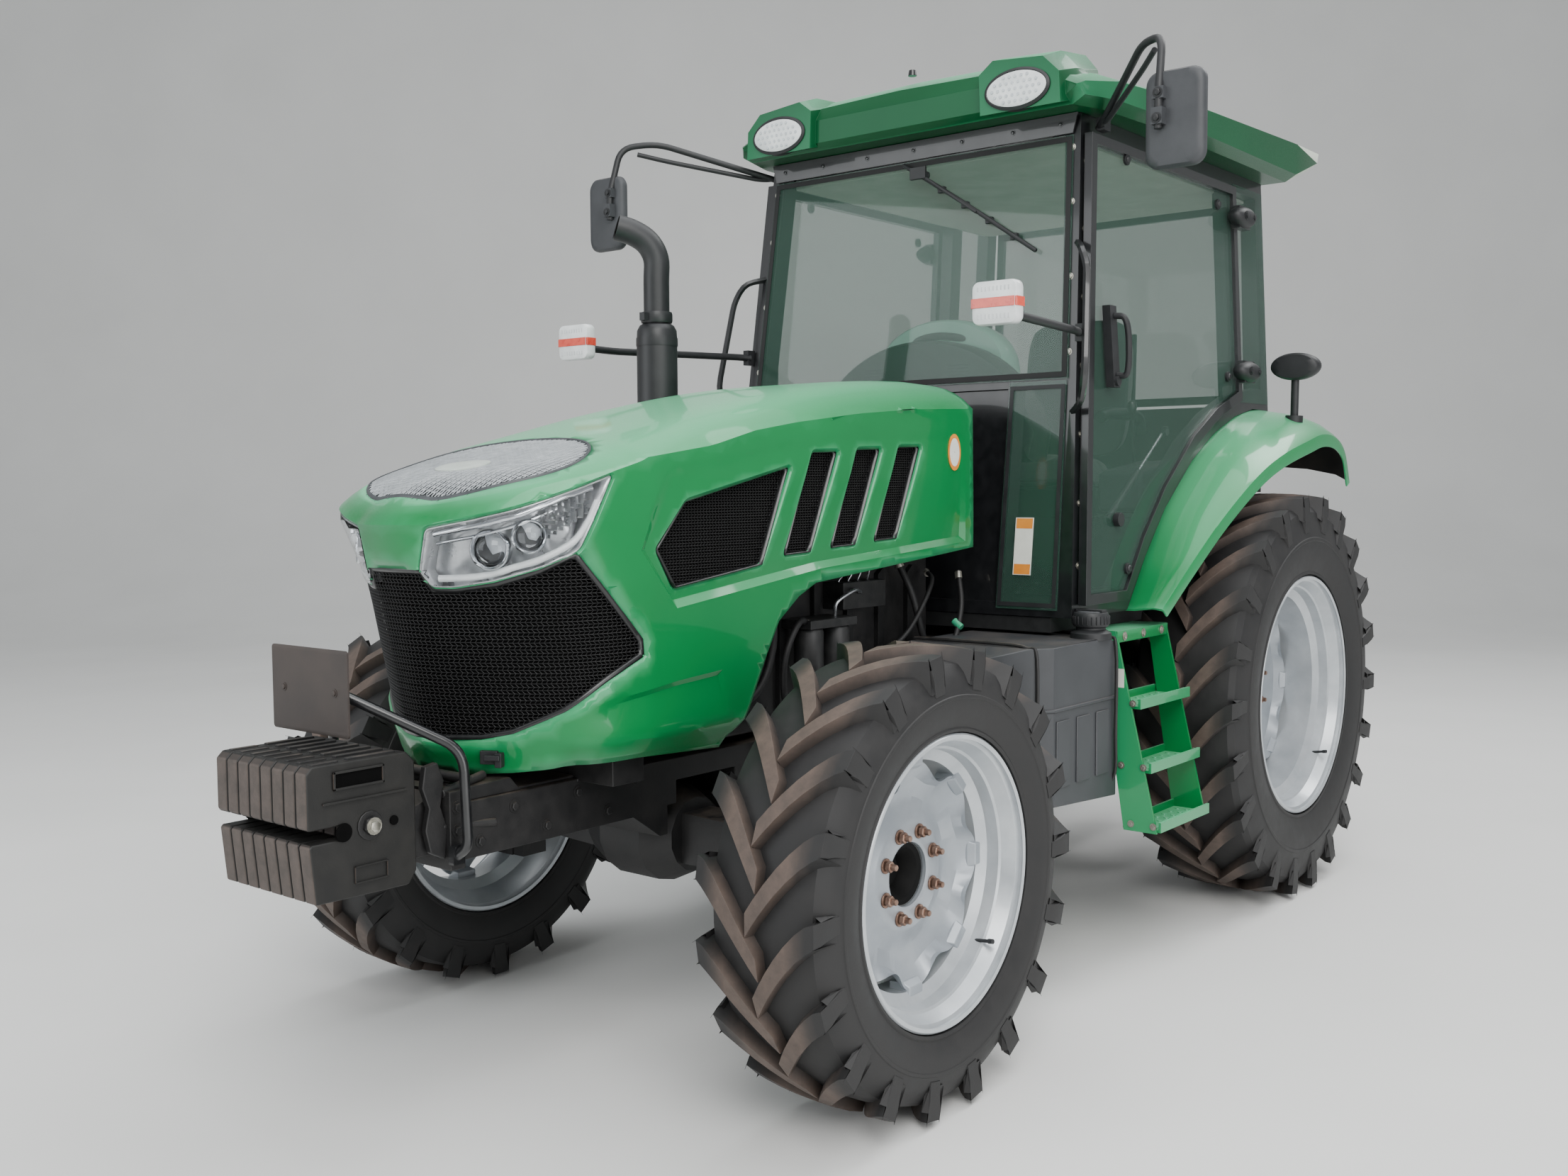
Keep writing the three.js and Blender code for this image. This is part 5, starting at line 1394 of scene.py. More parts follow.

# ---- doors: hinge covers, handle, gas strut, glass fittings, bolts on the pillar
for sd, sg in (("left", 1), ("right", -1)):
    body = "door_" + sd
    def q(x, z, d):
        return Vector((x, sg * side_y(.656 + d, z), z))
    s = Shape()
    for z in (1.800, 2.330):
        # rounded cover: a lofted pill lying across the pillar
        for k0 in (0,):
            rings = []
            for f, w, h in ((0, .62, .52), (.006, .86, .80), (.020, 1.0, 1.0), (.040, 1.0, 1.0), (.054, .86, .78), (.062, .55, .45)):
                rings.append([q(.020 + .082 * w * math.cos(a) * (1.0 if math.cos(a) > 0 else .8), z + .036 * h * math.sin(a), .020 + f) for a in (2 * math.pi * k / 28 for k in range(28))])
            s.rings(rings)
        s.bolt(q(.060, z, .080), (0, sg, 0), .010, .006)
        s.bolt(q(-.006, z, .080), (0, sg, 0), .010, .006)
    s.make("door_hinge_covers_" + sd, DARK_PLASTIC, body, "grey_plastic", 40)
    s = Shape()
    # lock case with pull handle at the front edge
    s.rings([[q(x, z, d) for x, z in ((.990, 1.700), (1.030, 1.700), (1.040, 1.940), (1.000, 1.940))] for d in (.020, .046)])
    s.tube([q(1.010, 1.735, .046), q(1.008, 1.742, .078), q(1.008, 1.840, .086), q(1.012, 1.900, .078), q(1.014, 1.910, .046)], .0095, 10, 5)
    s.rod(q(1.016, 1.718, .044), q(1.016, 1.718, .056), .015, 18)
    s.make("door_lock_" + sd, DARK_PLASTIC, body, "grey_plastic", 40, (.003, 2))
    s = Shape()
    # hardware on the glass: knobs that hold it to its frame, and the strut's two ends
    for x, z in ((.842, 2.397), (.16, 2.36), (.12, 1.78), (.93, 1.16)):
        s.rod(q(x, z, .0145), q(x, z, .024), .017, 20)
        s.rod(q(x, z, .024), q(x, z, .030), .012, 20, .008)
    s.rod(q(1.029 - .04, 1.309, .0145), q(1.029 - .04, 1.309, .034), .021, 20)
    s.rod(q(.567, 1.584, -.004), q(.567, 1.584, -.020), .016, 16)
    s.make("door_glass_fittings_" + sd, DARK_PLASTIC, body, "grey_plastic", 40, (.0015, 1))
    s = Shape()
    a, b = q(.985, 1.312, -.012), q(.567, 1.584, -.018)
    m = a.lerp(b, .52)
    s.rod(a, m, .010, 14)
    s.rod(m, b, .0048, 12, m=1)
    s.rod(a - (b - a).normalized() * .012, a + (b - a).normalized() * .012, .013, 12)
    s.make("door_strut_" + sd, [DARK_PLASTIC, STEEL], body, "steel_rod", 40)
    # pillar bolts, on the side and along the front of the pillar
    s = Shape()
    for z in (1.18, 1.36, 1.56, 1.76, 1.96, 2.16, 2.36):
        s.bolt((front_x(z, -.034), sg * side_y(.650, z), z), (0, sg, 0), .0075, .005)
    for y in (.59, ):
        for z in (1.80, 2.02, 2.24, 2.40):
            s.bolt((front_x(z), sg * (side_y(y + .035, z)), z), (1, 0, 0), .007, .005)
    s.make("pillar_bolts_" + sd, BOLT, "chassis", "black_paint", 30)

FEN = [(.888, 1.032), (.754, 1.186), (.599, 1.334), (.378, 1.489), (.200, 1.579), (.009, 1.646), (-.160, 1.678), (-.320, 1.675), (-.430, 1.620), (-.500, 1.480)]
FOUT = [(.880, 1.040, .760), (.751, 1.179, .800), (.560, 1.315, .820), (.340, 1.440, .840), (.150, 1.510, .850), (-.060, 1.560, .860),
        (-.200, 1.585, .862), (-.335, 1.575, .862), (-.430, 1.525, .862), (-.485, 1.420, .862)]


def crn(P, t):
    n = len(P)
    i = min(max(int(t), 0), n - 2)
    f = t - i
    p1, p2 = Vector(P[i]), Vector(P[i + 1])
    p0 = Vector(P[i - 1]) if i else p1 * 2 - p2
    p3 = Vector(P[i + 2]) if i + 2 < n else p2 * 2 - p1
    return 0.5 * (2 * p1 + (p2 - p0) * f + (2 * p0 - 5 * p1 + 4 * p2 - p3) * f * f + (3 * p1 - p0 - 3 * p2 + p3) * f ** 3)


UNDER = simple("fender_underside", lin(22, 23, 22), lin(44, 40, 36), .7, scale=12.0, bump=(120.0, .4, .001))
fender = Shape()
lip = Shape()
rubber_edge = Shape()
rings, edge_path = [], []
for k in range(73):
    t = k / 8
    c = crn([(x, z, 0) for x, z in FEN], min(t, 9))
    o3 = crn(FOUT, min(t, 9))
    c2 = crn([(x, z, 0) for x, z in FEN], min(t + .05, 9))
    c1 = crn([(x, z, 0) for x, z in FEN], max(t - .05, 0))
    tg = (c2 - c1).normalized()
    dn = (-tg.y, tg.x)
    yi = side_y(.6015, c.y)
    ym = yi + (o3.z - yi) * .42

    def at(f, d, yy):
        return Vector((c.x + (o3.x - c.x) * f + dn[0] * d, yy, c.y + (o3.y - c.y) * f + dn[1] * d))
    oy = o3.z
    prof = [at(0, 0, yi), at(.03, -.001, yi + (ym - yi) * .35), at(.16, 0, ym), at(.34, -.004, ym + (oy - ym) * .34), at(.60, -.005, ym + (oy - ym) * .66),
            at(.86, .001, oy - .016), at(.95, .005, oy - .004), at(1, .014, oy), at(1, .044, oy), at(1, .044, oy - .006), at(1, .018, oy - .008),
            at(.84, .009, oy - .022), at(.58, .003, ym + (oy - ym) * .64), at(.16, .010, ym), at(0, .010, yi)]
    rings.append(prof)
    edge_path.append(at(0, -.002, yi + .003))
fender.rings(rings)
rubber_edge.tube(edge_path, .011, 8, 1)
for sd, sg in (("left", 1), ("right", -1)):
    f = fender if sg > 0 else fender.mirror()
    o = f.make("fender_shell_" + sd, GREEN, "chassis", "green_paint", 26, (.002, 1, 40))
    o.data.materials.append(UNDER)
    for p in o.data.polygons:
        if all(i % 15 >= 10 for i in p.vertices):
            p.material_index = 1
    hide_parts("fender_" + sd)
    r = rubber_edge if sg > 0 else rubber_edge.mirror()
    r.make("fender_seal_" + sd, DARK_PLASTIC, "chassis", "black_paint", 50)
    # rear lamps on stems
    s = Shape()
    s.rod((-.150, .770 * sg, 1.628), (-.150, .771 * sg, 1.652), .030, 20)
    s.rod((-.150, .771 * sg, 1.650), (-.143, .775 * sg, 1.785), .0135, 16)
    rr = []
    for x, f2 in ((-.172, .55), (-.168, .86), (-.155, .98), (-.135, 1.0), (-.120, .97), (-.112, .86), (-.110, .60)):
        rr.append([Vector((x, (.778 + math.cos(a) * .086 * f2) * sg, 1.822 + math.sin(a) * .048 * f2)) for a in (2 * math.pi * k / 40 for k in range(40))])
    s.rings(rr)
    s.make("rear_lamp_" + sd + "_body", DARK_PLASTIC, "chassis", "grey_plastic", 40)
    s2 = Shape()
    rr = []
    for x, f2 in ((-.1725, .52), (-.1765, .48), (-.178, .30), (-.1785, .02)):
        rr.append([Vector((x, (.778 + math.cos(a) * .086 * f2 * 1.4) * sg, 1.822 + math.sin(a) * .048 * f2 * 1.3)) for a in (2 * math.pi * k / 40 for k in range(40))])
    s2.rings(rr)
    s2.make("rear_lamp_" + sd + "_lens", RED, "chassis", "lamp_clear", 40)
    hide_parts("rear_lamp_" + sd)

    # ---- mirrors: rounded housing, pale glass to the rear, twin tube arm and clamp
    s = Shape()
    yc, zc = 1.032, 2.346
    def rr_(wy, wz, r, x, n=6):
        out = []
        for cy, cz, a0 in ((wy - r, wz - r, 0), (-wy + r, wz - r, 90), (-wy + r, -wz + r, 180), (wy - r, -wz + r, 270)):
            for k in range(n + 1):
                a = math.radians(a0 + 90 * k / n)
                out.append(Vector((x, (yc + cy + r * math.cos(a)) * sg, zc + cz + r * math.sin(a))))
        return out
    s.rings([rr_(.060, .105, .03, 1.4455), rr_(.073, .117, .035, 1.443), rr_(.080, .1225, .035, 1.434), rr_(.081, .1235, .035, 1.420),
             rr_(.078, .121, .035, 1.4135), rr_(.073, .116, .03, 1.4125)])
    s.rings([rr_(.070, .113, .03, 1.4128), rr_(.070, .113, .03, 1.4115)], m=1)
    s.box(1.4455, 1.470, *sorted((.982 * sg, 1.012 * sg)), 2.330, 2.372)
    s.box(1.4455, 1.464, *sorted((.982 * sg, 1.012 * sg)), 2.395, 2.425)
    s.make("mirror_head_" + sd, [GREY_PLASTIC, CHROME], "chassis", "grey_plastic", 40)
    s = Shape()
    arm = bend([(1.010, .600 * sg, 2.462), (1.050, .640 * sg, 2.478), (1.330, .890 * sg, 2.580), (1.412, .985 * sg, 2.566), (1.456, .996 * sg, 2.40), (1.456, .996 * sg, 2.32)], .05)
    s.tube(arm, .0105, 12, 1)
    arm2 = bend([(1.012, .606 * sg, 2.474), (1.060, .655 * sg, 2.468), (1.30, .880 * sg, 2.525), (1.372, .945 * sg, 2.545)], .04)
    s.tube(arm2, .008, 12, 1)
    s.box(.985, 1.025, *sorted((.600 * sg, .626 * sg)), 2.452, 2.490)
    for z in (2.345, 2.410):
        s.bolt((1.470 if z < 2.4 else 1.464, .997 * sg, z), (1, 0, 0), .009, .008)
    o = s.make("mirror_arm_" + sd, DARK_PLASTIC, "chassis", "grey_plastic", 40)
    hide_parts("mirror_" + sd)

    # ---- marker lamps: white box with a red stripe on a black arm
    s = Shape()
    s.tube(bend([(1.165, .622 * sg, 1.850), (1.205, .640 * sg, 1.852), (1.700, .740 * sg, 1.845), (1.832, .752 * sg, 1.850)], .05), .0115, 12, 1)
    s.box(1.145, 1.180, *sorted((.618 * sg, .640 * sg)), 1.826, 1.876)
    s.bolt((1.162, .640 * sg, 1.838), (0, sg, 0), .006, .004)
    s.bolt((1.162, .640 * sg, 1.866), (0, sg, 0), .006, .004)
    o = s.make("marker_arm_" + sd, DARK_PLASTIC, "chassis", "grey_plastic", 40)
    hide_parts("marker_lamp_" + sd)
    s = Shape()
    yc, zc = .756, 1.864
    s.rings([rr_(.052, .042, .015, 1.8195), rr_(.062, .052, .018, 1.823), rr_(.065, .054, .018, 1.830), rr_(.065, .054, .018, 1.852),
             rr_(.062, .052, .018, 1.859), rr_(.050, .040, .015, 1.8622)])
    for x0, x1 in ((1.8615, 1.8640), (1.8180, 1.8205)):
        s.box(x0, x1, *sorted(((yc - .060) * sg, (yc + .060) * sg)), zc - .012, zc + .012, m=1)
    s.box(1.8225, 1.8595, *sorted(((yc - .0665) * sg, (yc + .0665) * sg)), zc - .012, zc + .012, m=1)
    for z in (-.034, .034):
        for k in range(-4, 5):
            s.box(1.8610, 1.8632, *sorted(((yc + k * .011 - .0022) * sg, (yc + k * .011 + .0022) * sg)), zc + z - .006, zc + z + .006, m=2)
    s.make("marker_head_" + sd, [WHITE, RED, simple("lamp_ribs_" + sd, lin(196, 200, 202), lin(206, 210, 212), .3, bump=None)], "chassis", "lamp_clear", 40, (.001, 1))

# ---- dashboard: black arched cowl with vents, pale dome behind it
def arch(y, w, top, low, k=2.2):
    f = min(abs(y) / w, 1)
    return low + (top - low) * (1 - f ** k) ** (1 / k * 1.2)


s = Shape()
rings = []
for x, drop, inset in ((.952, .030, .030), (.962, .008, .010), (.985, 0, 0), (1.050, 0, 0), (1.072, .010, .012), (1.082, .040, .040)):
    row = []
    for k in range(41):
        y = -.428 + .856 * k / 40
        row.append(Vector((x, y * (1 - inset), arch(y, .436, 1.876, 1.520) - drop)))
    row += [Vector((x, .41 * (1 - inset), 1.484 + drop)), Vector((x, -.41 * (1 - inset), 1.484 + drop))]
    rings.append(row)
s.rings(rings)
o = s.make("dash_cowl", DARK_PLASTIC, "chassis", "grey_plastic", 34)
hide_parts("dashboard")
s = Shape()
for y in (-.27, -.16, .16, .27):
    zt = arch(y, .436, 1.876, 1.520) - .062
    for k in range(5):
        s.box(1.078, 1.0845, y - .040, y + .040, zt - .010 * k - .0035, zt - .010 * k)
s.box(.990, 1.072, -.128, .128, 1.252, 1.49)
s.box(.944, .954, -.15, .15, 1.60, 1.72)
s.make("dash_vents", simple("vent_slats", lin(44, 46, 49), lin(54, 56, 59), .4, bump=None), "chassis", "grey_plastic", bev=.001)
s = Shape()
rings = []
for x, f in ((.760, .25), (.772, .62), (.800, .86), (.850, .97), (.900, 1.0), (.936, .985), (.947, .95)):
    row = []
    for k in range(33):
        a = math.pi * k / 32
        row.append(Vector((x, .255 * math.cos(a) * f + .06 * 0, 1.760 + .195 * math.sin(a) ** .8 * f)))
    row += [Vector((x, -.2 * f, 1.700)), Vector((x, .2 * f, 1.700))]
    rings.append(row)
s.rings(rings)
s.make("instrument_hood", MINT, "chassis", "grey_plastic", 36)

# ---- steering wheel
s = Shape()
tilt = Matrix.Translation((.800, 0, 1.800)) @ Matrix.Rotation(-.55, 4, "Y")
def wheel_ring(R0, r0, n=64, m2=12):
    rings = []
    for k in range(n + 1):
        a = 2 * math.pi * k / n
        rings.append([tilt @ Vector(((R0 + r0 * math.cos(b)) * math.cos(a), (R0 + r0 * math.cos(b)) * math.sin(a), r0 * .9 * math.sin(b))) for b in (2 * math.pi * j / m2 for j in range(m2))])
    return rings
s.rings(wheel_ring(.187, .0135), caps=False)
for a in (math.radians(90), math.radians(210), math.radians(330)):
    s.tube([tilt @ Vector((.03 * math.cos(a), .03 * math.sin(a), .004)), tilt @ Vector((.10 * math.cos(a), .10 * math.sin(a), -.008)), tilt @ Vector((.185 * math.cos(a), .185 * math.sin(a), 0))],
           .013, 10, 4)
s.rings([[tilt @ Vector((r * math.cos(a), r * math.sin(a), h)) for a in (2 * math.pi * k / 32 for k in range(32))] for r, h in
         ((.040, -.020), (.047, -.012), (.047, .010), (.040, .018), (.020, .021), (.001, .021))])
s.tube([tilt @ Vector((0, 0, -.015)), (.830, 0, 1.73), (.885, 0, 1.610), (.948, 0, 1.590)], .026, 16, 4)
o = s.make("steering_wheel_body", DARK_PLASTIC, "chassis", "grey_plastic", 40)
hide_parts("steering_wheel")

# ---- seat: cushion and backrest with bolsters and sewn channels
def pad(name, centre, size, rot, crown, bolster, channels):
    sx, sy, sz = size
    nx, ny = 26, 26
    top, bot = {}, {}
    vs, fs = [], []
    def shape(u, v):
        # rounded outline and crowned top with raised sides
        e = 4.5
        r = (abs(u) ** e + abs(v) ** e) ** (1 / e)
        edge = max(0.0, 1 - r ** 6)
        h = edge ** .35
        groove = 0.0
        for c in channels:
            groove += .010 * math.exp(-((u - c) / .035) ** 2)
        groove += .010 * math.exp(-((abs(v) - .62) / .035) ** 2) * (1 if abs(u) < .95 else 0)
        wing = bolster * max(0.0, (abs(v) - .62) / .38) ** .8 * h
        return h, (crown * (1 - u * u) * (1 - v * v * .6)) * h + wing - groove * h
    for i in range(nx + 1):
        for j in range(ny + 1):
            u, v = -1 + 2 * i / nx, -1 + 2 * j / ny
            q = max(abs(u), abs(v))
            if q > 0:
                l = (abs(u) ** 5 + abs(v) ** 5) ** (1 / 5) / q
                uu, vv = u / l ** .9, v / l ** .9
            else:
                uu, vv = u, v
            h, z = shape(uu, vv)
            top[i, j] = len(vs)
            vs.append(Vector((uu * sx / 2, vv * sy / 2, sz * (-.5 + h) + z)))
            bot[i, j] = len(vs)
            vs.append(Vector((uu * sx / 2 * .97, vv * sy / 2 * .97, -sz / 2 - .018 * (1 - q ** 2) - .002)))
    for i in range(nx):
        for j in range(ny):
            fs.append((top[i, j], top[i + 1, j], top[i + 1, j + 1], top[i, j + 1]))
            fs.append((bot[i, j], bot[i, j + 1], bot[i + 1, j + 1], bot[i + 1, j]))
    rim_ = [(i, 0) for i in range(nx)] + [(nx, j) for j in range(ny)] + [(i, ny) for i in range(nx, 0, -1)] + [(0, j) for j in range(ny, 0, -1)]
    for k in range(len(rim_)):
        a, b = rim_[k], rim_[(k + 1) % len(rim_)]
        fs.append((top[a], bot[a], bot[b], top[b]))
    M = Matrix.Translation(centre) @ rot
    o = obj(name, [M @ v + Vector((OX, 0, 0)) for v in vs], fs, FABRIC, "chassis", sharp=60)
    m = o.modifiers.new("soft", "SUBSURF")
    m.levels = m.render_levels = 1
    return o


c1 = pad("seat_cushion", (.305, 0, 1.458), (.460, .465, .085), Matrix.Rotation(math.radians(-3), 4, "Y"), .022, .018, (-.3, .25))
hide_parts("seat")
pad("seat_back", (-.028, 0, 1.765), (.520, .430, .085), Matrix.Rotation(math.radians(-97), 4, "Y") @ Matrix.Rotation(math.pi, 4, "Z"), .020, .020, (-.35, .1))
s = Shape()
s.box(.08, .50, -.20, .20, 1.398, 1.414)
s.prism([(-.19, 1.42), (.19, 1.42), (.20, 1.97), (-.20, 1.97)], "x", -.092, -.078)
for sg in (1, -1):
    s.tube([(-.03, .246 * sg, 1.60), (.02, .252 * sg, 1.66), (.22, .252 * sg, 1.665), (.30, .250 * sg, 1.650)], .022, 12, 5)
s.make("seat_shell", DARK_PLASTIC, "chassis", "grey_plastic", bev=.005)

# ---- inside the cab: consoles on both sides, levers, pedals, headliner
s = Shape()
s.prism([(-.10, 1.32), (.62, 1.32), (.66, 1.50), (.56, 1.58), (.10, 1.60), (-.10, 1.56)], "y", -.480, -.300)
s.prism([(.10, 1.32), (.42, 1.32), (.42, 1.46), (.10, 1.50)], "y", .300, .470)
s.make("side_consoles", GREY_PLASTIC, "chassis", "grey_plastic", bev=(.020, 3))
s = Shape()
for x, y, h in ((.20, -.35, .16), (.28, -.40, .13), (.38, -.36, .15), (.48, -.41, .12), (.30, .38, .14)):
    s.rod((x, y, 1.50), (x + .02, y, 1.58 + h * .6), .006, 10)
    s.rings([[Vector((x + .02 + r * math.cos(a), y + r * math.sin(a), 1.58 + h * .6 + z)) for a in (2 * math.pi * k / 16 for k in range(16))]
             for r, z in ((.004, -.01), (.014, 0), (.018, .015), (.014, .032), (.004, .038))], m=1)
for x, y in ((.93, .22), (.93, -.16), (.93, -.26)):
    s.tube([(x + .04, y, 1.36), (x, y, 1.26), (x - .02, y, 1.17)], .008, 8, 3)
    s.box(x - .075, x - .005, y - .035, y + .035, 1.150, 1.164)
s.make("levers_and_pedals", [DARK_PLASTIC, simple("lever_knob", lin(20, 20, 21), lin(32, 32, 33), .25, bump=None, coat=.5)], "chassis", "grey_plastic", bev=.002)
s = Shape()
s.prism([(-.54, 2.425), (.54, 2.425), (.54, 2.437), (-.54, 2.437)], "x", -.24, 1.02)
s.make("headliner", CREAM, "chassis", "grey_plastic", bev=.003)

# ------------------------------------------------------------- front ballast
def facing_tint(name, a, b, axis, lo, hi, dust, rough=.55):
    """darker casting with a brownish tone mixed onto the faces that look one way"""
    n = Nodes(name)
    f = n.noise(16.0, 5)
    col = n.ramp(f, [(0.35, a), (0.68, b)])
    geo = n.new("ShaderNodeNewGeometry")
    sep = n.new("ShaderNodeSeparateXYZ")
    n.link(geo.outputs["Normal"], sep.inputs[0])
    up = n.ramp(sep.outputs[axis], [(lo, 0.0), (hi, 1.0)])
    m = n.new("ShaderNodeMath", operation="MULTIPLY")
    n.link(up, m.inputs[0])
    n.link(n.ramp(n.noise(30.0, 6, .7), [(0.25, .35), (0.7, 1.0)]), m.inputs[1])
    n.color(n.mix(m.outputs[0], col, dust))
    n.rough(n.ramp(f, [(0.3, rough), (0.7, rough + .1)]))
    n.bump(n.noise(240.0, 4), .35, .0008)
    return n.mat


# the brownish tone goes on the faces that look forward along X
SLAB = facing_tint("ballast_paint", lin(16, 16, 15), lin(29, 28, 26), "X", .55, .85, lin(82, 71, 65))
OUT = [(3.176, .620), (3.196, .592), (3.418, .596), (3.430, .712), (3.424, .717), (3.345, .717), (3.345, .745), (3.428, .745), (3.434, .752),
       (3.434, .858), (3.420, .872), (3.196, .872), (3.176, .850)]
s = Shape()
for i in range(8):
    y0 = -.1625 + i * .041
    s.prism([(x, z) for x, z in OUT], "y", y0, y0 + .038)
s.prism([(3.19, .605), (3.405, .605), (3.415, .705), (3.335, .708), (3.335, .752), (3.420, .756), (3.418, .860), (3.20, .860)], "y", -.160, .160)
o = s.make("ballast_slabs", SLAB, "chassis", "black_paint", 30, (.0045, 2, 40))
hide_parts("front_weights")
s = Shape()
for i in range(8):
    y = -.1625 + i * .041 + .019
    # lifting rib along the top and a raised lip at the front of each slab
    s.box(3.215, 3.330, y - .0065, y + .0065, .868, .876)
    s.box(3.350, 3.412, y - .0065, y + .0065, .868, .8745)
s.rod((3.290, -.172, .735), (3.290, .172, .735), .013, 18)
for sg in (1, -1):
    s.bolt((3.290, .163 * sg, .735), (0, sg, 0), .020, .014)
s.make("ballast_ribs", CAST, "chassis", "black_paint", 30, (.0025, 2))
s = Shape()
for sg in (1, -1):
    y = .1648 * sg
    a, b = sorted((y, y + .004 * sg))
    # hand slot frame, ridge, raised pad and casting marks without any lettering
    for x0, x1, z0, z1 in ((3.255, 3.375, .851, .856), (3.255, 3.375, .818, .823), (3.255, 3.260, .818, .856), (3.370, 3.375, .818, .856)):
        s.box(x0, x1, a, b, z0, z1)
    s.box(3.200, 3.400, a, b, .792, .797)
    for x0, x1, z0, z1 in ((3.250, 3.330, .655, .658), (3.250, 3.330, .622, .625), (3.250, 3.253, .622, .658), (3.327, 3.330, .622, .658)):
        s.box(x0, x1, a, b, z0, z1)
s.make("ballast_relief", SLAB, "chassis", "black_paint", 30, (.001, 1))
# painted shade: thin near-black patches on the slab sides, in the hand slot and on two round holes
s = Shape()
for sg in (1, -1):
    y = .1645 * sg
    a, b = sorted((y, y + .0012 * sg))
    s.box(3.260, 3.370, a, b, .823, .851)
    s.rod((3.352, y - .001 * sg, .731), (3.352, y + .0012 * sg, .731), .019, 24)
    s.rod((3.232, y - .001 * sg, .735), (3.232, y + .0012 * sg, .735), .010, 20)
s.make("ballast_hollows", SHADE_BLACK, "chassis", "black_paint", 30)
s = Shape()
s.rod((3.290, .178, .735), (3.290, .1815, .735), .014, 16)
s.bolt((3.290, .1775, .735), (0, 1, 0), .012, .008)
s.make("ballast_pin", BOLT, "chassis", "steel_rod", 30)

# plate on its bent pipe
s = Shape()
path = bend([(3.100, .200, .640), (3.100, .236, .665), (3.104, .230, .870), (3.301, .060, 1.003), (3.301, -.060, 1.003), (3.104, -.230, .870), (3.100, -.236, .665),
             (3.100, -.200, .640)], .045)
s.tube(path, .0112, 14, 1)
for sg in (1, -1):
    s.box(3.085, 3.115, *sorted((.190 * sg, .206 * sg)), .622, .662)
    s.bolt((3.100, .206 * sg, .652), (0, sg, 0), .008, .006)
o = s.make("plate_pipe", PILLAR, "chassis", "black_paint", 40)
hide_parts("number_plate")
s = Shape()
def rrect(y0, y1, z0, z1, r, x, n=5):
    out = []
    for cy, cz, a0 in ((y1 - r, z1 - r, 0), (y0 + r, z1 - r, 90), (y0 + r, z0 + r, 180), (y1 - r, z0 + r, 270)):
        for k in range(n + 1):
            a = math.radians(a0 + 90 * k / n)
            out.append(Vector((x, cy + r * math.cos(a), cz + r * math.sin(a))))
    return out
s.rings([rrect(-.135, .135, .910, 1.088, .008, 3.3105), rrect(-.135, .135, .910, 1.088, .008, 3.3140), rrect(-.131, .131, .914, 1.084, .007, 3.3155),
         rrect(-.126, .126, .919, 1.079, .006, 3.3150)])
s.make("plate_blank", PLATE, "chassis", "black_paint", 40)
s = Shape()
for y in (-.09, .09):
    s.bolt((3.3152, y, 1.000), (1, 0, 0), .006, .004)
s.make("plate_screws", PLATE, "chassis", "steel_rod", 30)

# -------------------------------------------------------------------- exhaust
s = Shape()
X, Y = 1.780, -.470
def stack(prof, n=40):
    return [[Vector((X + r * math.cos(a), Y + r * math.sin(a), z)) for a in (2 * math.pi * k / n for k in range(n))] for r, z in prof]
s.rings(stack([(.030, 1.302), (.052, 1.306), (.060, 1.320), (.0615, 1.345), (.0615, 1.860), (.060, 1.885), (.052, 1.900), (.042, 1.906)]))
s.rings(stack([(.0628, 1.350), (.0632, 1.356), (.0632, 1.372), (.0628, 1.378)]), m=0)
s.rings(stack([(.0628, 1.838), (.0632, 1.843), (.0632, 1.858), (.0628, 1.863)]), m=0)
s.tube([(X, Y, 1.895), (X, Y, 2.030), (X, Y, 2.100), (X + .020, Y - .016, 2.148), (X + .055, Y - .043, 2.176), (X + .092, Y - .073, 2.190)], .039, 28, 5)
s.rings(stack([(.046, 1.908), (.048, 1.914), (.048, 1.934), (.046, 1.940), (.040, 1.940)]))
s.box(X + .040, X + .064, Y - .010, Y + .010, 1.912, 1.936)
s.tube([(X, -.200, 1.090), (X, -.330, 1.090), (X, -.430, 1.100), (X, -.466, 1.160), (X, -.470, 1.310)], .031, 20, 5)
for z in range(9):
    pass
o = s.make("exhaust_body", simple("exhaust_black", lin(26, 27, 29), lin(38, 39, 41), .42, scale=10.0, bump=(200.0, .2, .0005)), "chassis", "dark_steel", 40)
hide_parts("exhaust_stack")
s = Shape()
# painted shade: a near-black disc across the pipe's mouth, in place of its dark inside
d = Vector((.037, -.030, .014)).normalized()
c = Vector((X + .0925, Y - .0734, 2.1902))
u = d.orthogonal().normalized()
w = d.cross(u)
s.rings([[c + d * h + (u * math.cos(a) + w * math.sin(a)) * r for a in (2 * math.pi * k / 28 for k in range(28))] for r, h in ((.0355, .0012), (.0345, .0016), (.002, .0012))])
s.make("exhaust_mouth", SHADE_BLACK, "chassis", "dark_steel")

# ---------------------------------------------------------------- tank, ladder
TANK = simple("tank_plastic", lin(50, 52, 55), lin(60, 62, 65), .46, scale=7.0, bump=(520.0, .35, .0005), dust=.3)
for nd in ("fuel_tank", "battery_box"):
    soften(nd, nd + "_body", TANK, "chassis", .042, 6, 32, 40)
for sg, nm in ((1, "tank"), (-1, "box")):
    s = Shape()
    # moulded ribs and a seam round the body
    def outer(z, d=.0):
        pts = [(1.094, .32), (1.094, .702), (1.129, .739), (1.502, .739), (1.563, .693), (1.624, .562), (1.624, .32)]
        return [Vector((x, y * sg, z)) for x, y in offset(pts, d)]
    for z in (.800,):
        rings = [outer(z - .006, -.006), outer(z - .004, .0012), outer(z + .004, .0012), outer(z + .006, -.006)]
        n = len(rings[0])
        s.rings(rings, caps=True)
    for x0 in (1.185, 1.300, 1.415):
        s.prism([(x0, .585), (x0 + .075, .585), (x0 + .075, .770), (x0, .770)], "y", *sorted((.7335 * sg, .7405 * sg)))
    s.make(nm + "_mouldings", TANK, "chassis", "grey_plastic", 30, (.004, 2))
s = Shape()
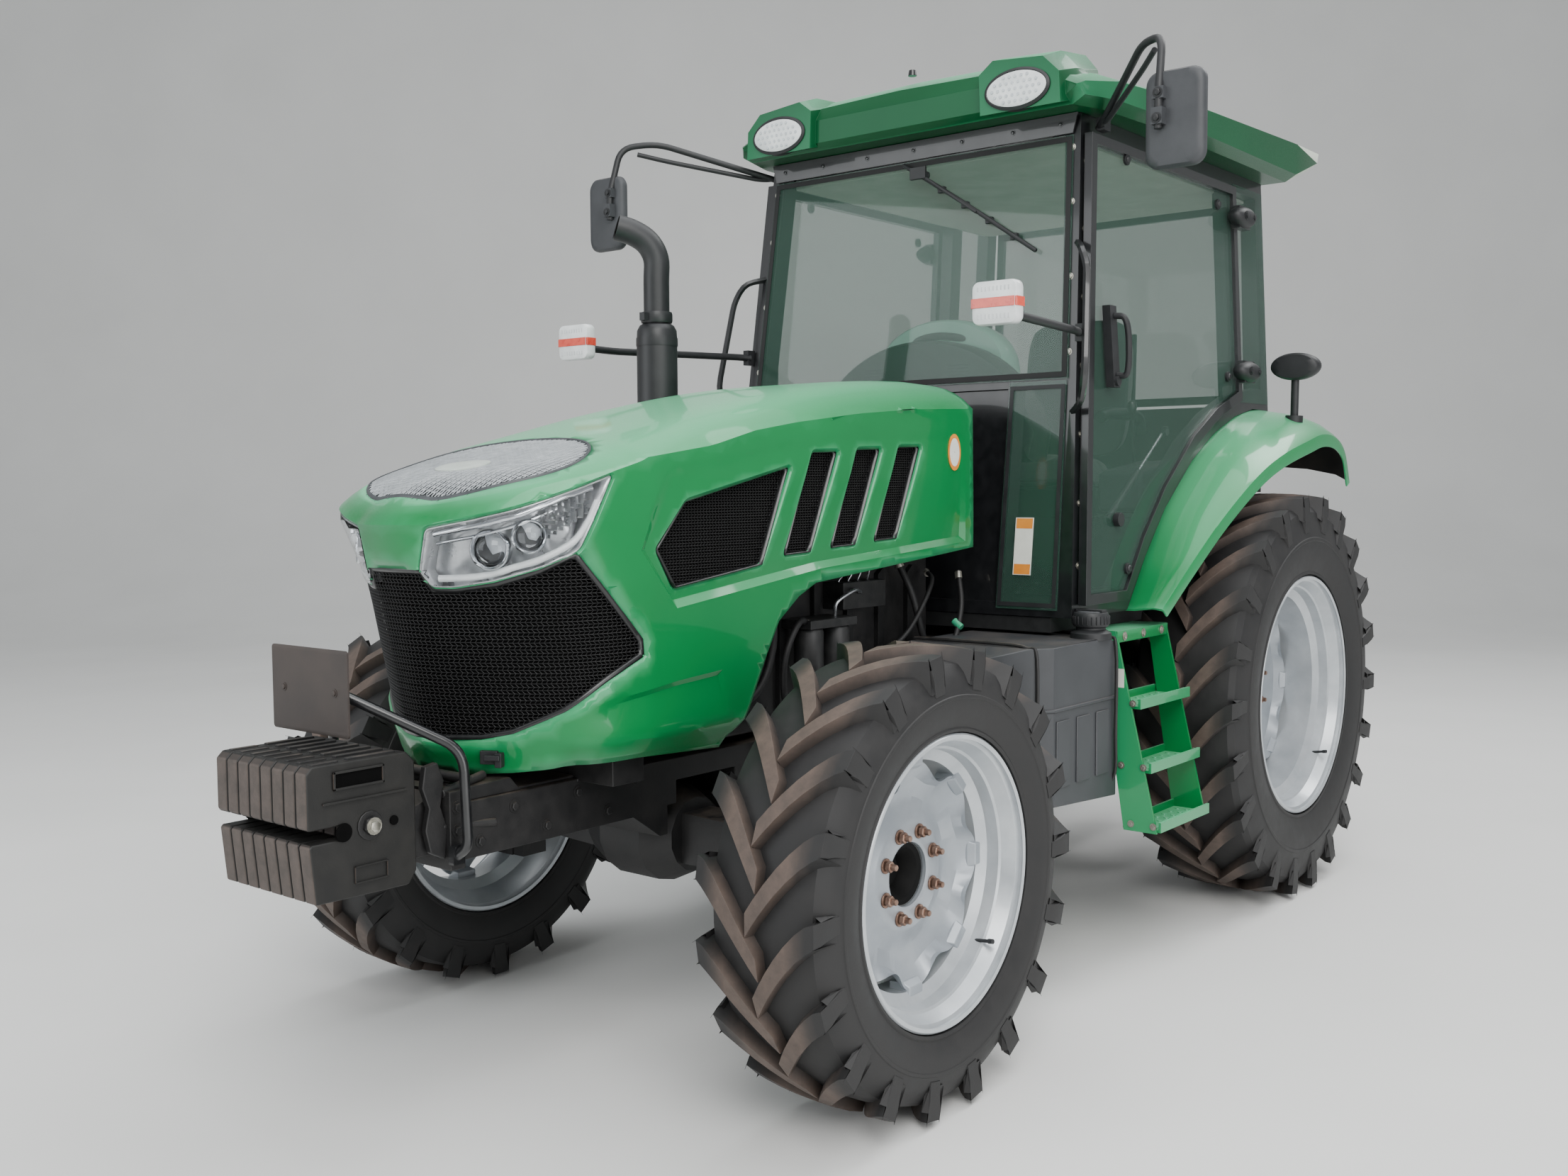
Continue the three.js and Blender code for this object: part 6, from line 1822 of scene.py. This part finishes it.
s.rings([[Vector((1.210 + r * math.cos(a), .692 + r * math.sin(a), z)) for a in (2 * math.pi * k / 48 for k in range(48))]
         for r, z in ((.036, 1.004), (.049, 1.008), (.052, 1.014), (.052, 1.040), (.048, 1.048), (.030, 1.051), (.002, 1.051))])
for k in range(24):
    a = 2 * math.pi * k / 24
    p = Vector((1.210 + .0525 * math.cos(a), .692 + .0525 * math.sin(a), 1.015))
    s.rod(p, p + Vector((0, 0, .024)), .0022, 6)
s.box(1.196, 1.224, .650, .734, 1.048, 1.057)
s.rings([[Vector((1.210 + r * math.cos(a), .692 + r * math.sin(a), z)) for a in (2 * math.pi * k / 40 for k in range(40))]
         for r, z in ((.060, .970), (.058, .990), (.047, .997), (.042, 1.000), (.042, 1.006))])
s.make("tank_cap", DARK_PLASTIC, "chassis", "grey_plastic", 30, (.0015, 1))
s = Shape()
for x in (1.150, 1.545):
    y1 = .7415 if x < 1.5 else .706
    s.tube([(x, .31, .9795), (x, .60, .9795), (x, y1 - .03, .972), (x, y1, .945), (x, y1 + .001, .70), (x, y1, .58), (x, y1 - .03, .535)], .005, 8, 5)
s.make("tank_straps", CAST, "chassis", "black_cast", 40)

for sd, sg in (("left", 1), ("right", -1)):
    soften("ladder_" + sd, "ladder_" + sd + "_plates", GREEN, "chassis", .0022, 2, 35)
    y_at = lambda z: (.690 + (.980 - z) * .19)
    s = Shape()
    for z in (.405, .575, .760):
        for x in (.778, .826, .874, .922, .970, 1.018, 1.058):
            for dy in (-.030, 0, .030):
                p = Vector((x, sg * (y_at(z) + dy), z + .0075))
                s.rod(p, p + Vector((0, 0, .0022)), .0092, 14, .0082)
    s.make("ladder_grip_" + sd, GREEN_DARK, "chassis", "green_paint", 30)
    s = Shape()
    for z in (.405, .575, .760):
        for x, dx in ((.7405, -1), (1.0895, 1)):
            for dy in (-.035, .035):
                s.bolt((x, sg * (y_at(z) + dy), z + .016), (dx, 0, 0), .007, .005)
    for z in (.930, .962):
        for x, dx in ((.7405, -1), (1.0895, 1)):
            s.bolt((x, sg * (y_at(z) - .012), z), (dx, 0, 0), .009, .006)
    for x in (.79, .915, 1.04):
        s.bolt((x, sg * (y_at(.96) + .0205), .967), (0, sg, 0), .009, .006)
    s.make("ladder_bolts_" + sd, BOLT, "chassis", "steel_rod", 30)
    s = Shape()
    s.box(1.0885, 1.0892, *sorted((sg * (y_at(.86) - .025), sg * (y_at(.86) + .025))), .820, .875)
    s.make("ladder_blank_label_" + sd, LABEL, "chassis", "lamp_clear")

# ---------------------------------------------------- engine under the hood line
s = Shape()
for sg in (1, -1):
    # sump flange, block ribs, rails and bolts, and after the loop the head cover
    s.prism([(1.33, .775), (1.97, .775), (1.97, .800), (1.33, .800)], "y", *sorted((.1895 * sg, .212 * sg)))
    for k in range(7):
        x = 1.40 + k * .150
        s.prism([(x, .81), (x + .028, .81), (x + .028, 1.16), (x, 1.18)], "y", *sorted((.189 * sg, .206 * sg)))
    s.prism([(1.56, 1.195), (2.40, 1.195), (2.40, 1.245), (1.56, 1.245)], "y", *sorted((.189 * sg, .218 * sg)))
    for k in range(9):
        s.bolt((1.37 + k * .072, .212 * sg, .7875), (0, sg, 0), .007, .005)
    for k in range(8):
        s.bolt((1.62 + k * .105, .218 * sg, 1.22), (0, sg, 0), .008, .006)
s.prism([(1.52, 1.425), (2.36, 1.425), (2.34, 1.442), (1.54, 1.442)], "y", -.100, .100)
s.make("engine_ribs", CAST_DEEP, "chassis", "black_cast", 30, (.004, 2, 35))

s = Shape()
def can(at, axis, r, h, m=0, n=28):
    at, d = Vector(at), Vector(axis).normalized()
    u = d.orthogonal().normalized()
    w = d.cross(u)
    prof = [(r * .55, 0), (r * .9, .004), (r, .012), (r, h - .012), (r * .93, h - .003), (r * .5, h)]
    s.rings([[at + d * hh + (u * math.cos(a) + w * math.sin(a)) * rr for a in (2 * math.pi * k / n for k in range(n))] for rr, hh in prof], m=m)
can((1.86, .262, .905), (0, 0, 1), .040, .135)
can((1.975, .262, .905), (0, 0, 1), .040, .135)
s.box(1.815, 2.020, .195, .305, 1.038, 1.062)
can((1.60, .205, .900), (0, 1, -.15), .046, .115)
can((2.36, .205, .990), (1, 0, 0), .064, .130)
can((2.475, .205, .990), (1, 0, 0), .042, .040)
can((2.22, .210, 1.120), (1, 0, 0), .038, .150)
can((1.72, -.262, .930), (0, 0, 1), .046, .150)
can((2.30, -.235, 1.080), (1, 0, 0), .075, .180)
for k in range(6):
    can((2.372 + k * .018, .205, .990), (1, 0, 0), .067, .008, n=28)
s.prism([(1.62, 1.075), (1.82, 1.075), (1.82, 1.150), (1.62, 1.150)], "y", .19, .262)
s.make("engine_fittings", simple("engine_dark", lin(26, 27, 28), lin(42, 42, 42), .4, scale=30.0, bump=(160.0, .3, .0006)), "chassis", "black_cast", 34, (.002, 1, 45))
s = Shape()
for k in range(4):
    x = 1.66 + k * .045
    xe = 1.66 + k * .19
    s.tube([(x, .225, 1.150), (x, .235, 1.185), ((x + xe) / 2, .240 + k * .006, 1.215 + k * .006), (xe, .225, 1.262), (xe, .180, 1.290), (xe, .118, 1.330)], .0036, 8, 6)
s.tube([(1.86, .262, 1.062), (1.86, .270, 1.100), (1.80, .285, 1.130), (1.74, .262, 1.120)], .0055, 8, 6)
s.make("injector_pipes", STEEL, "chassis", "steel_rod", 50)
s = Shape()
hoses = [
    ([(2.05, .235, 1.19), (2.12, .262, 1.12), (2.13, .265, 1.00), (2.18, .262, .90), (2.28, .245, .84)], .011),
    ([(1.99, .275, 1.05), (2.05, .290, 1.06), (2.10, .285, .98), (2.09, .270, .88), (2.03, .240, .80)], .009),
    ([(1.52, .230, 1.20), (1.50, .270, 1.10), (1.46, .280, .98), (1.38, .260, .90), (1.34, .22, .86)], .010),
    ([(1.36, .225, 1.16), (1.42, .285, 1.13), (1.52, .290, 1.02), (1.60, .275, .96), (1.72, .262, .94), (1.86, .270, .90)], .007),
    ([(2.40, .230, 1.10), (2.33, .262, 1.16), (2.20, .262, 1.20), (2.05, .250, 1.24), (1.90, .235, 1.26)], .013),
    ([(2.50, .215, 1.05), (2.57, .235, 1.10), (2.60, .235, 1.20), (2.61, .215, 1.28)], .020),
    ([(1.30, .300, 1.16), (1.33, .330, 1.05), (1.40, .335, .93), (1.52, .320, .86), (1.62, .29, .83)], .008),
    ([(2.03, .205, .72), (2.08, .240, .78), (2.18, .280, .80), (2.26, .300, .73)], .009),
    ([(2.05, .205, .70), (2.12, .250, .75), (2.22, .300, .755), (2.31, .320, .70)], .009),
    ([(1.42, -.220, 1.16), (1.45, -.280, 1.05), (1.55, -.285, .94), (1.70, -.250, .86)], .010),
    ([(2.45, -.215, 1.10), (2.55, -.245, 1.15), (2.60, -.235, 1.25)], .022),
]
for pts, r in hoses:
    s.tube(pts, r, 12, 7)
    for e, f in ((0, 1), (-1, -2)):
        a, b = Vector(pts[e]), Vector(pts[f])
        d = (b - a).normalized()
        s.rod(a + d * .004, a + d * .024, r * 1.35, 12, m=1)
s.make("engine_pipework", [simple("hose_rubber", lin(18, 18, 19), lin(28, 28, 29), .55, scale=60.0, bump=(400.0, .2, .0004)), BOLT], "chassis", "black_cast", 50)
s = Shape()
s.rod((2.165, .262, 1.018), (2.150, .276, 1.052), .015, 14)
s.rod((2.285, .250, .905), (2.270, .262, .870), .010, 12)
s.rod((2.20, .270, 1.075), (2.215, .276, 1.095), .008, 12)
s.make("service_tags", PINK, "chassis", "black_cast", 40, (.002, 1))
s = Shape()
s.rod((1.352, .318, 1.015), (1.352, .345, .995), .011, 12)
s.make("green_clip", paint("clip_green", lin(10, 120, 90), lin(14, 136, 104)), "chassis", "green_paint", 40, (.002, 1))

# ------------------------------------------------ front frame and axle details
s = Shape()
for sg in (1, -1):
    for k in range(6):
        s.bolt((2.55 + k * .095, .185 * sg, .715 - (k % 2) * .060), (0, sg, 0), .010, .007)
    for k in range(4):
        s.bolt((2.03 + k * .035, .185 * sg, .735 - k * .030), (0, sg, 0), .011, .008)
    for z in (.640, .690, .740):
        s.bolt((3.090, .190 * sg, z), (0, sg, 0), .010, .007)
s.make("frame_bolts", CAST, "chassis", "black_cast", 30)
s = Shape()
for sg in (1, -1):
    # curved cheek plates behind the ballast with struts to the frame
    s.prism([(3.112, .630), (3.150, .650), (3.162, .700), (3.152, .745), (3.168, .790), (3.160, .835), (3.128, .840), (3.112, .800), (3.122, .745), (3.106, .700)],
            "y", *sorted((.160 * sg, .176 * sg)))
    s.rod((3.115, .168 * sg, .770), (2.985, .150 * sg, .790), .010, 12)
    s.rod((3.115, .168 * sg, .700), (2.985, .187 * sg, .690), .009, 12)
    s.prism([(2.90, .745), (3.06, .745), (3.05, .775), (2.93, .778)], "y", *sorted((.10 * sg, .175 * sg)))
s.rod((3.045, -.17, .790), (3.045, .17, .790), .012, 14)
s.prism([(2.70, .745), (2.96, .745), (2.96, .752), (2.70, .752)], "y", -.17, .17)
s.make("ballast_hanger", CAST, "chassis", "black_cast", 34, (.003, 2))
s = Shape()
# steering cylinder across the back of the axle, with its bosses
s.rod((2.155, -.19, .585), (2.155, .19, .585), .031, 24)
s.rod((2.155, -.215, .585), (2.155, -.185, .585), .037, 24)
s.rod((2.155, .185, .585), (2.155, .215, .585), .037, 24)
for sg in (1, -1):
    s.tube([(2.140, .12 * sg, .618), (2.120, .13 * sg, .655), (2.090, .15 * sg, .690), (2.04, .17 * sg, .70)], .0065, 10, 5)
s.make("steering_cylinder", CAST, "chassis", "black_cast", 34, (.002, 1))

# ---------------------------------------------------------------- rear details
s = Shape()
for k in range(12):
    a = 2 * math.pi * k / 12
    s.rod((-.352, .017 * math.cos(a), .640 + .017 * math.sin(a)), (-.398, .017 * math.cos(a), .640 + .017 * math.sin(a)), .0038, 6)
s.rod((-.350, 0, .640), (-.397, 0, .640), .0175, 24)
s.make("pto_shaft", STEEL, "chassis", "steel_rod", 30)
s = Shape()
for k in range(8):
    a = 2 * math.pi * k / 8
    s.bolt((-.300, .09 * math.cos(a), .640 + .09 * math.sin(a)), (-1, 0, 0), .008, .006)
for y in (-.17, .17):
    for z in (.56, .68, .80, .92):
        s.bolt((-.300, y, z), (-1, 0, 0), .011, .008)
s.make("rear_cover_bolts", BOLT, "chassis", "steel_rod", 30)
s = Shape()
s.box(-.330, -.298, .055, .160, .732, .825)
for k in range(3):
    y = .075 + k * .033
    for z in (.755, .802):
        s.rod((-.330, y, z), (-.362, y, z), .0115, 16)
        s.rod((-.362, y, z), (-.370, y, z), .0135, 16)
s.make("rear_couplers", CAST, "chassis", "black_cast", 30, (.002, 1))
s = Shape()
for k in range(3):
    for z, c0 in ((.755, 0), (.802, 1)):
        s.rod((-.370, .075 + k * .033, z), (-.376, .075 + k * .033, z), .0125, 14, m=c0)
s.make("coupler_caps", [RED, AMBER], "chassis", "steel_rod", 40, (.001, 1))
# handle of the rear window
s = Shape()
s.tube([(-.332, -.055, 1.722), (-.350, -.050, 1.724), (-.352, 0, 1.724), (-.350, .050, 1.724), (-.332, .055, 1.722)], .007, 10, 5)
s.make("rear_window_pull", DARK_PLASTIC, "rear_window", "grey_plastic", 40)

# ------------------------------------------- pressed ribs on the cab's back wall
wall_node = next(o for o in bpy.data.objects if o.type == "MESH" and o.name.startswith("cab_tub"))
pts = [wall_node.matrix_world @ v.co for v in wall_node.data.vertices]
XB = min(p.x for p in pts if 1.15 < p.z < 1.70) - OX
s = Shape()
for y in (-.36, -.12, .12, .36):
    s.rings([[Vector((XB + d, y + a * w, 1.370 + b * h)) for a, b in ((-1, -1), (1, -1), (1, 1), (-1, 1))]
             for d, w, h in ((.002, .096, .246), (-.004, .088, .238), (-.004, .070, .220), (-.0015, .062, .212))])
s.make("back_wall_ribs", BLACK, "chassis", "black_paint", 30, (.002, 2))
s = Shape()
for y in (-.47, -.24, 0, .24, .47):
    for z in (1.085, 1.655):
        s.bolt((XB, y, z), (-1, 0, 0), .0075, .005)
s.make("back_wall_bolts", BOLT, "chassis", "steel_rod", 30)
s = Shape()
s.rings([[Vector((XB + d, y * w, z)) for y, z in ((-.055, 1.675), (.055, 1.675), (.055, 1.697), (-.055, 1.697))] for d, w in ((.001, 1.0), (-.016, 1.0), (-.020, .9))])
s.make("plate_light", DARK_PLASTIC, "chassis", "grey_plastic", 30, (.003, 2))

# ------------------------------------------------ shallow swages along the roof
from mathutils.bvhtree import BVHTree

tree = BVHTree.FromPolygons([roof_shell.matrix_world @ v.co for v in roof_shell.data.vertices], [tuple(p.vertices) for p in roof_shell.data.polygons])
s = Shape()
for y in (-.46, -.23, 0, .23, .46):
    path = []
    for k in range(15):
        x = -.42 + k * .095
        hit = tree.ray_cast(Vector((x + OX, y, 4.0)), Vector((0, 0, -1)))[0]
        if hit:
            path.append(Vector((x, y, hit.z - .0085)))
    if len(path) > 3:
        s.tube(path, .011, 12, 1)
s.make("roof_swages", ROOF_GREEN, "chassis", "green_paint", 40)

# ------------------------------------------------------ fins of the radiator
x1, y0, y1, z0, z1 = 2.7395, -.300, .300, .780, 1.328
s = Shape()
n = int((y1 - y0 - .06) / .0085)
for k in range(n):
    y = y0 + .03 + k * .0085
    s.box(x1 - .002, x1 + .003, y, y + .0028, z0 + .05, z1 - .05)
for z in (z0 + .030, z1 - .045):
    s.box(x1 - .002, x1 + .005, y0 + .012, y1 - .012, z, z + .015)
for k in range(6):
    z = z0 + .06 + k * (z1 - z0 - .12) / 5
    s.box(x1 - .002, x1 + .004, y0 + .03, y1 - .03, z - .0015, z + .0015)
s.make("radiator_fins", simple("fin_metal", lin(70, 70, 70), lin(96, 94, 90), .4, scale=30.0, metallic=.6, bump=None), "chassis", "black_cast", 30)
# ------------------------------------------------------------- stage and light
me = bpy.data.meshes.new("floor")
bm = bmesh.new()
prof = [(-40, 0), (9, 0)]
# floor that turns up into a wall far behind
pts = [(-30.0, 0.0), (9.0, 0.0), (10.2, .12), (11.4, .5), (12.4, 1.2), (13.0, 2.2), (13.2, 3.4), (13.2, 18.0)]
yaw0 = math.radians(-140.93)
fwd = Vector((math.cos(yaw0), math.sin(yaw0), 0))
sidev = Vector((-fwd.y, fwd.x, 0))
rows = []
for d, z in pts:
    rows.append([bm.verts.new(fwd * d + sidev * w + Vector((0, 0, z - .0005))) for w in (-40, 40)])
for a, b in zip(rows, rows[1:]):
    bm.faces.new((a[0], a[1], b[1], b[0]))
bm.to_mesh(me)
bm.free()
floor = bpy.data.objects.new("floor", me)
bpy.context.scene.collection.objects.link(floor)
for p in me.polygons:
    p.use_smooth = True
fl = Nodes("floor_pale")
fl.color(fl.ramp(fl.noise(0.8, 3), [(0.3, lin(222, 222, 220)), (0.7, lin(227, 227, 225))]))
fl.set(Roughness=0.75, Specular_IOR_Level=0.25)
me.materials.append(fl.mat)
floor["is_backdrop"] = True

world = bpy.data.worlds.new("studio")
bpy.context.scene.world = world
world.use_nodes = True
world.node_tree.nodes["Background"].inputs[0].default_value = (.86, .89, .92, 1)
world.node_tree.nodes["Background"].inputs[1].default_value = .55


def area_light(name, at, to, size, power, color=(1, 1, 1), size_y=None):
    l = bpy.data.lights.new(name, "AREA")
    l.energy = power
    l.color = color
    l.shape = "RECTANGLE"
    l.size = size
    l.size_y = size_y or size
    o = bpy.data.objects.new(name, l)
    o.location = at
    o.rotation_euler = (Vector(to) - Vector(at)).to_track_quat("-Z", "Y").to_euler()
    bpy.context.scene.collection.objects.link(o)


area_light("key", (5.5, 5.0, 6.5), (0, 0, 1.0), 5.0, 620, (1, .99, .97))
area_light("top", (0.0, 1.0, 7.5), (0, 0, 1.2), 7.0, 420, (.97, .99, 1))
area_light("fill", (7.0, -3.5, 3.0), (0, 0, 1.0), 4.5, 190, (.95, .98, 1))
area_light("low_side", (2.5, 7.5, 1.8), (0, 0, .9), 4.0, 200, (1, 1, 1))
area_light("rim_light", (-5.5, 2.5, 7.2), (0, 0, 1.4), 3.0, 260, (1, 1, 1))

cam = bpy.data.cameras.new("view")
cam.lens = 2091.73 / 2212 * 36
cam.sensor_width = 36
cam.sensor_fit = "HORIZONTAL"
cam.clip_end = 200
cam.dof.use_dof = False
co = bpy.data.objects.new("view", cam)
yaw, pitch, roll = math.radians(-140.93), math.radians(3.936), math.radians(0.32)
f = Vector((math.cos(yaw) * math.cos(pitch), math.sin(yaw) * math.cos(pitch), -math.sin(pitch)))
rot = f.to_track_quat("-Z", "Y").to_matrix() @ Matrix.Rotation(-roll, 3, "Z")
co.matrix_world = Matrix.Translation((5.0583 + OX, 2.6814, 1.4147)) @ rot.to_4x4()
bpy.context.scene.collection.objects.link(co)
bpy.context.scene.camera = co

bpy.context.view_layer.update()
size_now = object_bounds()
plain = lambda b: [[float(c) for c in p] for p in b]
{"cad": plain(cad_box), "visual": plain(size_now)}
